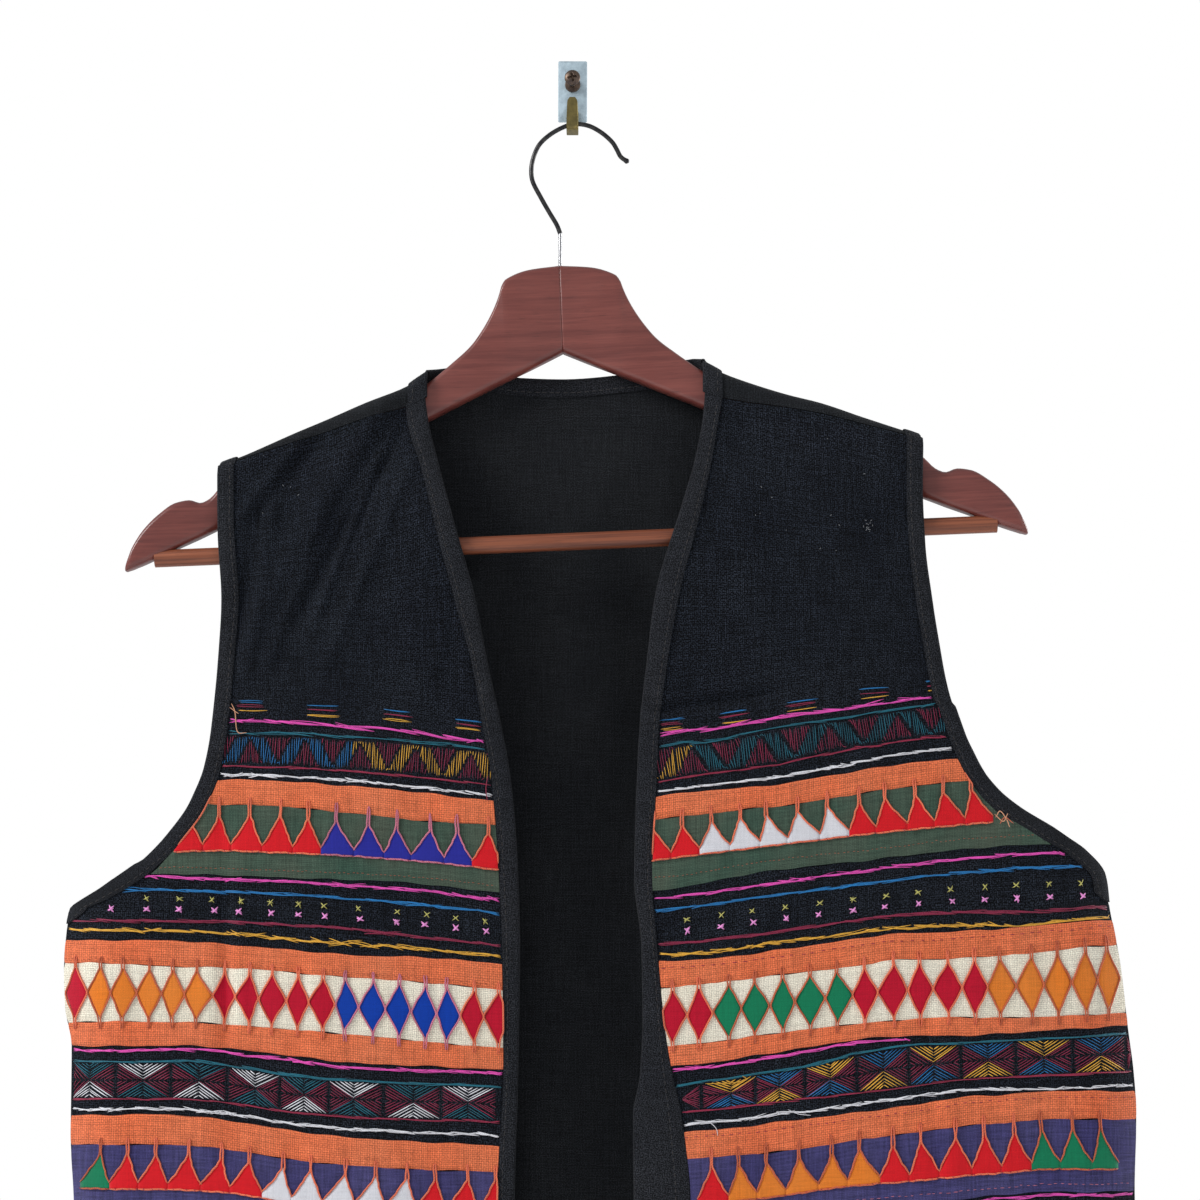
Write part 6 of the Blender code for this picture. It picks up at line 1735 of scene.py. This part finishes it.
def add_running(side, row, rng):
    """A line of short running stitches part of the way down a strip, each a thread along the strip."""
    top, base, share, colour, stitch, radius, lift = row
    heights = between(side, top, base, share)
    first, last = sorted(float(end[0]) for end in front_span(side, heights[None], 0.001))
    starts = np.arange(first, last - stitch, stitch * RUNNING_STEP)
    starts = starts + rng.normal(0, stitch * 0.15, len(starts))
    x = starts[:, None] + stitch * np.linspace(0, 1, 4) * rng.uniform(0.7, 1.15, (len(starts), 1))
    heights = heights + rng.normal(0, 0.00018, (len(starts), 1, 1)) * np.ones((1, 4, 1))
    tag = f"{side}_{top}_running_stitches".replace(" ", "_")
    return add_strands(tag, side, x, heights, radius, threads[colour], lift, 0.6, 5, 0.0004)


def add_loose(name, colour, radius, lift, route):
    """A loose thread end: a smooth curve through its points, lying on the cloth and lifted at its end."""
    line = smooth_route(np.array([(x, 0, z) for x, z in route]), 14)
    x, z = line[None, :, 0], line[None, :, 2]
    points, normals = off_front(x, z, lift * (1 + 2 * np.linspace(0, 1, x.shape[1])[None] ** 3))
    return lay_strands(name, points, normals, radius, threads[colour], 0.0, 0.9, 6, 0.0002)


def add_lint(rng):
    """Bits of pale lint on the yoke: short straight fibres, each at its own turn, some in a small heap."""
    heap = np.array(LINT[-1]) + rng.normal(0, LINT_HEAP_WIDTH, (LINT_HEAP, 2))
    place = np.concatenate((LINT[:-1], heap))
    turn = rng.uniform(0, np.pi, len(place))
    half = rng.uniform(0.0002, 0.0006, len(place))
    way = np.stack((np.cos(turn), np.sin(turn)), axis=-1) * half[:, None]
    spots = place[:, None, :] + way[:, None, :] * np.linspace(-1, 1, 4)[:, None]
    points, normals = off_front(spots[..., 0], spots[..., 1], 0 * spots[..., 0])
    lay_strands("lint", points, normals, LINT_RADIUS, threads["lint"], 0.0002, 0.8, 5, 0.0001)


def wiggle(rng, shape, size, steps):
    """Smooth wavering along each row: the sum of three sines of unlike lengths and chance phases."""
    share = np.linspace(0, 1, steps)
    total = np.zeros((*shape, steps))
    for cycles in (1.3, 2.9, 5.3):
        phase = rng.uniform(0, 2 * np.pi, shape)[..., None]
        total += np.sin(2 * np.pi * cycles * share + phase) / cycles**0.6
    return total * size


def add_ties(side, strip, base, lower, upper, rng):
    """Short stitches that hold the base cord of a row of triangles, every few millimetres."""
    low, high = clipped_span(side, base)
    low, high = max(low, min(lower.min(), upper.min())), min(high, max(lower.max(), upper.max()))
    even = np.arange(low + 0.001, high, TIE_STEP)
    place = even + rng.normal(0, 0.0004, len(even))
    share = np.linspace(-1, 1, 5)
    x = place[:, None] + TIE_HALF[0] * share + rng.normal(0, 0.0001, (len(place), 1))
    heights = level(side, base) - (TIE_HALF[1] * share * np.ones_like(x))[..., None]
    lift = STITCH_LIFT["strip"] + 0.00055
    name = f"{side}_{strip}_ties"
    add_strands(name, side, x, heights, TIE_RADIUS, threads["dark_red"], lift, 0.8, 6, 0.0006)


def add_couching(side, strip, top, rng):
    """Cords sewn round the patches: up one side, doubled into a neck above the tip, and down again."""
    shape, base = PATCHES[side, strip][:2]
    tips, lower, upper, names = patch_cells(side, strip)
    begin, finish = PATCH_TOP[shape], NOTCH if shape == "triangle" else PATCH_BASE[shape]
    down = np.linspace(0, 1, 20)
    above = np.linspace(CORD_NECK_TOP[shape], begin, 7)[:-1]
    below = np.linspace(finish, CORD_TAIL, 5)[1:] if shape == "diamond" else np.array([])
    share = np.concatenate((above, begin + (finish - begin) * down, below))
    full = (finish - begin) / (PATCH_BASE[shape] - begin)
    reach = np.concatenate((0 * above, patch_reach(shape, down * full), 0 * below))
    strands = {}
    for way, bound in ((-1, lower), (1, upper)):
        width = np.abs(bound - tips)[:, None]
        apart = np.maximum(reach * width, NECK_HALF * (1 - 0.6 * (np.arange(len(share)) == 0)))
        x = tips[:, None] + way * apart + wiggle(rng, (len(tips),), 0.00022, len(share))
        heights = between(side, top, base, share + wiggle(rng, (len(tips),), 0.005, len(share)))
        for colour in dict.fromkeys(names):
            mine = names == colour
            strands.setdefault((COUCHING[colour], 0), []).append((x[mine], heights[mine]))
    if shape == "triangle":
        x = lower[:, None] + (upper - lower)[:, None] * np.linspace(-0.01, 1.01, 9)
        heights = between(side, top, base, 1.0 + wiggle(rng, (len(tips),), 0.008, 9))
        for colour in dict.fromkeys(names):
            mine = names == colour
            strands.setdefault((COUCHING[colour], 1), []).append((x[mine], heights[mine]))
        add_ties(side, strip, base, lower, upper, rng)
    for (colour, part), rows in strands.items():
        x = np.concatenate([row[0] for row in rows])
        heights = np.concatenate([row[1] for row in rows])
        x = kept_on_front(side, x, heights, 0.0002)
        name = f"{side}_{strip}_{colour}_cord_{part}"
        lift = STITCH_LIFT["strip"]
        add_strands(name, side, x, heights, CORD_RADIUS, threads[colour], lift, 0.9, 8, 0.0004)


class Nodes:
    """A material's node tree, built by short calls; each call takes numbers or other nodes' outputs."""

    def __init__(self, name):
        """A new material with its shader."""
        self.material = bpy.data.materials.new(name)
        self.material.use_nodes = True
        self.tree = self.material.node_tree
        self.shader = self.tree.nodes["Principled BSDF"]

    def put(self, socket, value):
        """Links another node's output to a socket, or sets the socket's own value."""
        if isinstance(value, bpy.types.NodeSocket):
            self.tree.links.new(value, socket)
        elif value is not None:
            socket.default_value = value

    def math(self, operation, *values):
        """The result of a math node."""
        node = self.tree.nodes.new("ShaderNodeMath")
        node.operation = operation
        for socket, value in zip(node.inputs, values):
            self.put(socket, value)
        return node.outputs[0]

    def uv(self, across=1.0, along=1.0):
        """The UV places of the surface, scaled both ways."""
        node = self.tree.nodes.new("ShaderNodeUVMap")
        node.uv_map = "UVMap"
        scale = self.tree.nodes.new("ShaderNodeMapping")
        self.put(scale.inputs["Vector"], node.outputs[0])
        self.put(scale.inputs["Scale"], (across, along, 1.0))
        return scale.outputs[0]

    def place(self, *scale):
        """The object's own coordinates, scaled along each axis."""
        node = self.tree.nodes.new("ShaderNodeTexCoord")
        mapping = self.tree.nodes.new("ShaderNodeMapping")
        self.put(mapping.inputs["Vector"], node.outputs["Object"])
        self.put(mapping.inputs["Scale"], scale)
        return mapping.outputs[0]

    def noise(self, vector, scale=1.0, detail=2.0, rough=0.5):
        """The strength of a noise at a place."""
        node = self.tree.nodes.new("ShaderNodeTexNoise")
        self.put(node.inputs["Vector"], vector)
        self.put(node.inputs["Scale"], scale)
        self.put(node.inputs["Detail"], detail)
        self.put(node.inputs["Roughness"], rough)
        return node.outputs["Fac"]

    def split(self, vector):
        """The first two numbers of a vector."""
        node = self.tree.nodes.new("ShaderNodeSeparateXYZ")
        self.put(node.inputs[0], vector)
        return node.outputs[0], node.outputs[1]

    def span(self, value, low, high, to_low=0.0, to_high=1.0):
        """Maps a value from one span to another, held at its ends."""
        node = self.tree.nodes.new("ShaderNodeMapRange")
        names = ("Value", "From Min", "From Max", "To Min", "To Max")
        for name, given in zip(names, (value, low, high, to_low, to_high)):
            self.put(node.inputs[name], given)
        return node.outputs[0]

    def mix(self, share, first, second, blend="MIX"):
        """Two colours blended by a share."""
        node = self.tree.nodes.new("ShaderNodeMix")
        node.data_type = "RGBA"
        node.blend_type = blend
        self.put(node.inputs["Factor"], share)
        for socket, colour in ((node.inputs[6], first), (node.inputs[7], second)):
            self.put(socket, (*colour, 1.0) if isinstance(colour, tuple) else colour)
        return node.outputs[2]

    def dim(self, colour, factor):
        """A colour times a number."""
        node = self.tree.nodes.new("ShaderNodeVectorMath")
        node.operation = "SCALE"
        self.put(node.inputs[0], colour)
        self.put(node.inputs["Scale"], factor)
        return node.outputs[0]

    def bump(self, height, distance, strength=1.0):
        """Bends the shader's normal by a height."""
        node = self.tree.nodes.new("ShaderNodeBump")
        self.put(node.inputs["Height"], height)
        self.put(node.inputs["Distance"], distance)
        self.put(node.inputs["Strength"], strength)
        self.put(self.shader.inputs["Normal"], node.outputs[0])

    def finish(self, **values):
        """Sets the shader's inputs by name, and gives the material back."""
        for name, value in values.items():
            label = name.replace("_", " ").title().replace("Ior", "IOR")
            self.put(self.shader.inputs[label], value)
        return self.material


def threads_over(nodes, u, v, pitch_u, pitch_v):
    """Plain weave: warp and weft threads are half sines, and the one on top changes at each crossing."""
    warp = nodes.math("SINE", nodes.math("MULTIPLY", u, math.pi / pitch_u))
    weft = nodes.math("SINE", nodes.math("MULTIPLY", v, math.pi / pitch_v))
    over = nodes.span(nodes.math("MULTIPLY", warp, weft), -0.35, 0.35)
    warp, weft = nodes.math("ABSOLUTE", warp), nodes.math("ABSOLUTE", weft)
    higher = nodes.math("MULTIPLY", warp, over)
    return nodes.math("ADD", higher, nodes.math("MULTIPLY", weft, nodes.math("SUBTRACT", 1.0, over))), over


def woven(
    name, colour, worn, pitch, slub=0.5, relief=0.00018, fleck=0.0, sheen=0.2, patchy=0.3, shade=0.5,
    grain=0.14,
):
    """Cotton cloth: a plain weave with painted shade and highlight on its threads, slubs along both threads,
    faded in clouds, with flecks of lint.
    """
    nodes = Nodes(name)
    u, v = nodes.split(nodes.uv())
    stray = nodes.math("SUBTRACT", nodes.noise(nodes.uv(140, 30), 1, 1), 0.5)
    stray = nodes.math("MULTIPLY", stray, pitch * 1.6)
    lean = nodes.math("SUBTRACT", nodes.noise(nodes.uv(30, 140), 1, 1), 0.5)
    lean = nodes.math("MULTIPLY", lean, pitch * 1.6)
    weave, over = threads_over(nodes, nodes.math("ADD", u, stray), nodes.math("ADD", v, lean), pitch, pitch)
    across = nodes.span(nodes.noise(nodes.uv(70, 0.62 / pitch), 1, 2), 0.3, 0.7)
    along = nodes.span(nodes.noise(nodes.uv(0.62 / pitch, 60), 1, 2), 0.3, 0.7)
    slubs = nodes.math("MULTIPLY", nodes.math("ADD", across, along), 0.5)
    clouds = nodes.span(nodes.noise(nodes.uv(26, 21), 1, 3), 0.3, 0.72)
    # Painted shade and highlight of the weave's relief: thread tops lighter, the gaps between threads darker,
    # and the thread on top at each crossing a little lighter; shade sets how strong
    tone_and_painted_shade = nodes.math("MULTIPLY", weave, shade * 1.5)
    tone_and_painted_shade = nodes.math("ADD", tone_and_painted_shade, nodes.math("MULTIPLY", over, shade * 0.15))
    tone_and_painted_shade = nodes.math("ADD", 1.0 - shade * 1.15, tone_and_painted_shade)
    speck = nodes.noise(nodes.uv(1.45 / pitch, 1.45 / pitch), 1, 0)
    speck = nodes.span(speck, 0.39, 0.61, 1 - grain, 1 + grain)
    tone_and_painted_shade = nodes.math("MULTIPLY", tone_and_painted_shade, speck)
    tone_and_painted_shade = nodes.math("MULTIPLY", tone_and_painted_shade, nodes.span(slubs, 0.1, 0.9, 1 - slub * 0.55, 1 + slub * 0.55))
    dyed = nodes.mix(nodes.math("MULTIPLY", clouds, patchy), colour, worn)
    # The dyed cloth's colour, darkened and lightened by the painted shade of the weave, and by its random
    # grain and slubs
    dyed = nodes.dim(dyed, tone_and_painted_shade)
    if fleck:
        lint = nodes.span(nodes.noise(nodes.uv(900, 700), 1, 1), 0.80, 0.86, 0.0, fleck)
        dyed = nodes.mix(lint, dyed, (0.35, 0.36, 0.38))
    height = nodes.math("ADD", nodes.math("MULTIPLY", weave, 0.6), nodes.math("MULTIPLY", slubs, 0.9))
    nodes.bump(height, relief)
    return nodes.finish(
        base_color=dyed, roughness=0.88, sheen_weight=sheen, sheen_roughness=0.5, specular_ior_level=0.1
    )


def spun(name, colour, gloss, sheen):
    """Floss or cord: fine twisted plies with painted shade in the grooves between them, and each strand a
    little lighter or darker than the next.
    """
    nodes = Nodes(name)
    u, v = nodes.split(nodes.uv())
    turn = nodes.math("ADD", nodes.math("MULTIPLY", u, 5200.0), nodes.math("MULTIPLY", v, 2 * math.pi * 2))
    ply = nodes.math("MULTIPLY", nodes.math("ADD", nodes.math("SINE", turn), 1.0), 0.5)
    shade = nodes.span(nodes.noise(nodes.uv(24, 0.6), 1, 2), 0.3, 0.7, 0.72, 1.22)
    # Painted shade of the twist: darker in the grooves between plies, lighter on their crowns
    tone_and_painted_shade = nodes.math("MULTIPLY", shade, nodes.span(ply, 0, 1, 0.72, 1.1))
    nodes.bump(ply, 0.00006)
    dyed = nodes.dim(nodes.mix(0.0, colour, colour), tone_and_painted_shade)
    return nodes.finish(base_color=dyed, roughness=gloss, sheen_weight=sheen, specular_ior_level=0.35)


def wood(name, dark, light, gloss, streaks, coat):
    """Wood with its grain along U: long streaks, a finer grain, and small dark pores."""
    nodes = Nodes(name)
    waver = nodes.noise(nodes.uv(9, 30), 1, 2)
    wide = nodes.noise(nodes.uv(7, streaks), 1, 3, 0.6)
    fine = nodes.noise(nodes.uv(34, streaks * 7), 1, 3, 0.6)
    pores = nodes.span(nodes.noise(nodes.uv(120, 2600), 1, 1), 0.66, 0.74)
    grain = nodes.math("ADD", nodes.math("MULTIPLY", wide, 0.65), nodes.math("MULTIPLY", fine, 0.35))
    grain = nodes.span(nodes.math("ADD", grain, nodes.math("MULTIPLY", waver, 0.2)), 0.42, 0.78)
    colour = nodes.mix(grain, dark, light)
    colour = nodes.dim(colour, nodes.span(pores, 0, 1, 1.0, 0.62))
    relief = nodes.math("MULTIPLY", grain, 0.4)
    relief = nodes.math("ADD", relief, nodes.math("MULTIPLY", pores, -0.6))
    nodes.bump(relief, 0.00004)
    rough = nodes.span(nodes.noise(nodes.uv(60, 60), 1, 3), 0.3, 0.7, gloss - 0.06, gloss + 0.09)
    return nodes.finish(base_color=colour, roughness=rough, coat_weight=coat, coat_roughness=0.25)


def metal(name, colour, worn, roughness, metallic, scale=300.0):
    """Metal with faint blotches and fine scratches in its roughness."""
    nodes = Nodes(name)
    blotch = nodes.span(nodes.noise(nodes.place(scale, scale, scale), 1, 4, 0.6), 0.35, 0.68)
    colour = nodes.mix(blotch, colour, worn)
    scratch = nodes.noise(nodes.place(scale * 9, scale * 9, scale * 0.7), 1, 2)
    rough = nodes.span(scratch, 0.3, 0.7, roughness - 0.08, roughness + 0.12)
    nodes.bump(scratch, 0.00001)
    return nodes.finish(base_color=colour, roughness=rough, metallic=metallic)


for old_object in list(bpy.data.objects):
    bpy.data.objects.remove(old_object)
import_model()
vest = bpy.data.collections.new("vest")
bpy.context.scene.collection.children.link(vest)

coarse_cloth = woven(
    "coarse_cloth", (0.0085, 0.0108, 0.0165), (0.0205, 0.0250, 0.0330),
    pitch=0.00098, slub=0.9, relief=0.0005, fleck=0.5,
    sheen=0.02, patchy=0.4, shade=0.9, grain=0.85,
)
fine_cloth = woven(
    "fine_cloth", (0.0130, 0.0146, 0.0176), (0.0220, 0.0238, 0.0265),
    pitch=0.00075, slub=0.5, relief=0.0003, fleck=0.2,
    sheen=0.04, patchy=0.5, shade=0.9, grain=0.55,
)
binding_cloth = woven(
    "binding_cloth", (0.0175, 0.0192, 0.0240), (0.0300, 0.0315, 0.0365),
    pitch=0.00080, slub=0.5, relief=0.0003, fleck=0.2,
    sheen=0.04, patchy=0.5, shade=0.9, grain=0.75,
)
strip_cloths = {
    name: woven(f"{name}_cloth", dyed, faded, pitch, slub, relief, patchy=patchy, shade=shade)
    for name, dyed, faded, pitch, slub, relief, patchy, shade in (
        ("orange", (0.80, 0.165, 0.062), (0.70, 0.23, 0.110), 0.00105, 0.4, 0.0003, 0.5, 0.5),
        ("green", (0.040, 0.092, 0.066), (0.115, 0.115, 0.085), 0.00080, 0.5, 0.00025, 0.6, 0.5),
        ("cream", (0.93, 0.88, 0.74), (0.86, 0.78, 0.60), 0.00085, 0.25, 0.0003, 0.5, 0.38),
        ("navy", (0.043, 0.038, 0.140), (0.095, 0.088, 0.215), 0.00070, 0.7, 0.0002, 0.6, 0.5),
    )
}
patch_cloths = {
    name: woven(f"{name}_patch", dyed, faded, PATCH_PITCH, slub, relief, patchy=patchy)
    for name, dyed, faded, slub, relief, patchy in (
        ("red", (0.76, 0.012, 0.020), (0.60, 0.008, 0.016), 0.2, 0.00008, 0.3),
        ("crimson", (0.56, 0.006, 0.030), (0.44, 0.005, 0.030), 0.25, 0.00008, 0.3),
        ("cobalt", (0.002, 0.045, 0.40), (0.010, 0.075, 0.45), 0.2, 0.00008, 0.3),
        ("violet", (0.022, 0.026, 0.33), (0.045, 0.045, 0.36), 0.2, 0.00008, 0.3),
        ("orange", (0.86, 0.22, 0.022), (0.76, 0.27, 0.060), 0.25, 0.00008, 0.6),
        ("green", (0.006, 0.22, 0.100), (0.012, 0.17, 0.080), 0.2, 0.00008, 0.3),
        ("white", (0.80, 0.80, 0.85), (0.66, 0.67, 0.72), 0.15, 0.00010, 0.3),
    )
}
threads = {
    name: spun(f"{name}_{kind}", colour, gloss, sheen)
    for kind, gloss, sheen, colours in (
        ("floss", 0.42, 0.15, (
            ("pink", (0.95, 0.095, 0.56)),
            ("blue", (0.008, 0.205, 0.54)),
            ("teal", (0.006, 0.165, 0.240)),
            ("maroon", (0.31, 0.014, 0.066)),
            ("dark_red", (0.37, 0.017, 0.068)),
            ("white", (0.92, 0.92, 0.98)),
            ("gold", (0.93, 0.49, 0.050)),
            ("lime", (0.62, 0.58, 0.16)),
            ("light_pink", (0.96, 0.34, 0.78)),
        )),
        ("cord", 0.6, 0.3, (
            ("coral", (0.84, 0.170, 0.075)),
            ("rust", (0.60, 0.12, 0.042)),
            ("violet_pink", (0.62, 0.17, 0.26)),
        )),
        ("thread", 0.6, 0.1, (("charcoal", (0.050, 0.044, 0.044)),)),
        ("fibre", 0.8, 0.2, (("lint", (0.30, 0.31, 0.33)),)),
        ("thread", 0.5, 0.2, (("peach", (0.86, 0.42, 0.24)),)),
    )
    for name, colour in colours
}
arm_wood = wood("arm_wood", (0.115, 0.024, 0.021), (0.270, 0.072, 0.056), 0.34, 120, 0.35)
bar_wood = wood("bar_wood", (0.085, 0.018, 0.008), (0.400, 0.120, 0.052), 0.42, 420, 0.15)
dark_wire = metal("dark_wire", (0.030, 0.030, 0.034), (0.080, 0.078, 0.076), 0.34, 0.85)
shank_wire = metal("shank_wire", (0.48, 0.48, 0.50), (0.30, 0.30, 0.31), 0.28, 1.0)
brass = metal("brass", (0.30, 0.235, 0.085), (0.18, 0.145, 0.060), 0.36, 0.9)
zinc = metal("zinc", (0.60, 0.74, 0.82), (0.44, 0.55, 0.62), 0.42, 0.6)
bronze = metal("bronze", (0.090, 0.068, 0.062), (0.200, 0.140, 0.100), 0.40, 0.9)

for side in SIDES:
    panel = add_front_panel(side)
    heights = front_levels(side)
    across = smooth(OUTER_EDGE[side], heights[:, 1]) - smooth(FRONT_EDGE[side], heights[:, 0])
back = back_grid()
piece = add_back(back)
add_bindings(back)
add_hanger()
add_plate()
add_tongue()
add_screw()
for side in SIDES:
    for strip, top, base in STRIPS:
        add_strip(side, strip, top, base)
        if (side, strip) in PATCHES:
            add_patches(side, strip, top)
            add_couching(side, strip, top, np.random.default_rng(21))
for side in SIDES:
    seed = np.random.default_rng(7 + SIDES.index(side))
    for row in FLOSS:
        add_floss(side, row, seed)
    add_uprights(side, seed)
    add_dashes(side, seed)
    add_crosses(side, seed)
    add_nest(side, seed)
    for row in RUNNING:
        if row[0] == side:
            add_running(side, row[1:], seed)
for name, colour, radius, lift, route in LOOSE:
    add_loose(f"loose_{name}", colour, radius, lift, route)
add_lint(np.random.default_rng(5))

# Stage
floor_mesh = bpy.data.meshes.new("floor")
floor_mesh.from_pydata([(-3, -3, -0.9), (3, -3, -0.9), (3, 3, -0.9), (-3, 3, -0.9)], [], [(0, 1, 2, 3)])
floor = bpy.data.objects.new("floor", floor_mesh)
bpy.context.scene.collection.objects.link(floor)
pale = Nodes("pale_floor")
floor_mesh.materials.append(pale.finish(base_color=(0.85, 0.85, 0.85, 1), roughness=0.8))
world = bpy.data.worlds.new("studio")
world.use_nodes = True
sky = world.node_tree
soft = sky.nodes["Background"]
soft.inputs["Color"].default_value = (0.94, 0.97, 1.0, 1)
soft.inputs["Strength"].default_value = 0.42
seen = sky.nodes.new("ShaderNodeBackground")
seen.inputs["Color"].default_value = (1, 1, 1, 1)
ray = sky.nodes.new("ShaderNodeLightPath")
either = sky.nodes.new("ShaderNodeMixShader")
sky.links.new(ray.outputs["Is Camera Ray"], either.inputs[0])
sky.links.new(soft.outputs[0], either.inputs[1])
sky.links.new(seen.outputs[0], either.inputs[2])
sky.links.new(either.outputs[0], sky.nodes["World Output"].inputs["Surface"])
bpy.context.scene.world = world
bpy.context.scene.view_settings.view_transform = "Standard"
camera_data = bpy.data.cameras.new("camera")
camera_data.lens = 80
camera_data.sensor_width = 36
camera = bpy.data.objects.new("camera", camera_data)
camera.location = (0.0140, -1.3211, -0.4253)
camera.rotation_euler = (math.radians(97.4), 0, 0)
bpy.context.scene.collection.objects.link(camera)
bpy.context.scene.camera = camera
for name, energy, size, place, turn in (
    # name, power, size, location, rotation in degrees
    ("key", 35, 0.9, (-1.70, -1.00, 0.85), (58.5, 0, -60)),
    ("fill", 5, 1.6, (1.4, -1.5, -0.1), (80, 0, 43)),
    ("behind", 24, 0.9, (1.90, 0.75, 0.10), (73.5, 0, 110)),
):
    light = bpy.data.lights.new(name, "AREA")
    light.energy, light.size = energy, size
    lamp = bpy.data.objects.new(name, light)
    lamp.location = place
    lamp.rotation_euler = [math.radians(angle) for angle in turn]
    bpy.context.scene.collection.objects.link(lamp)
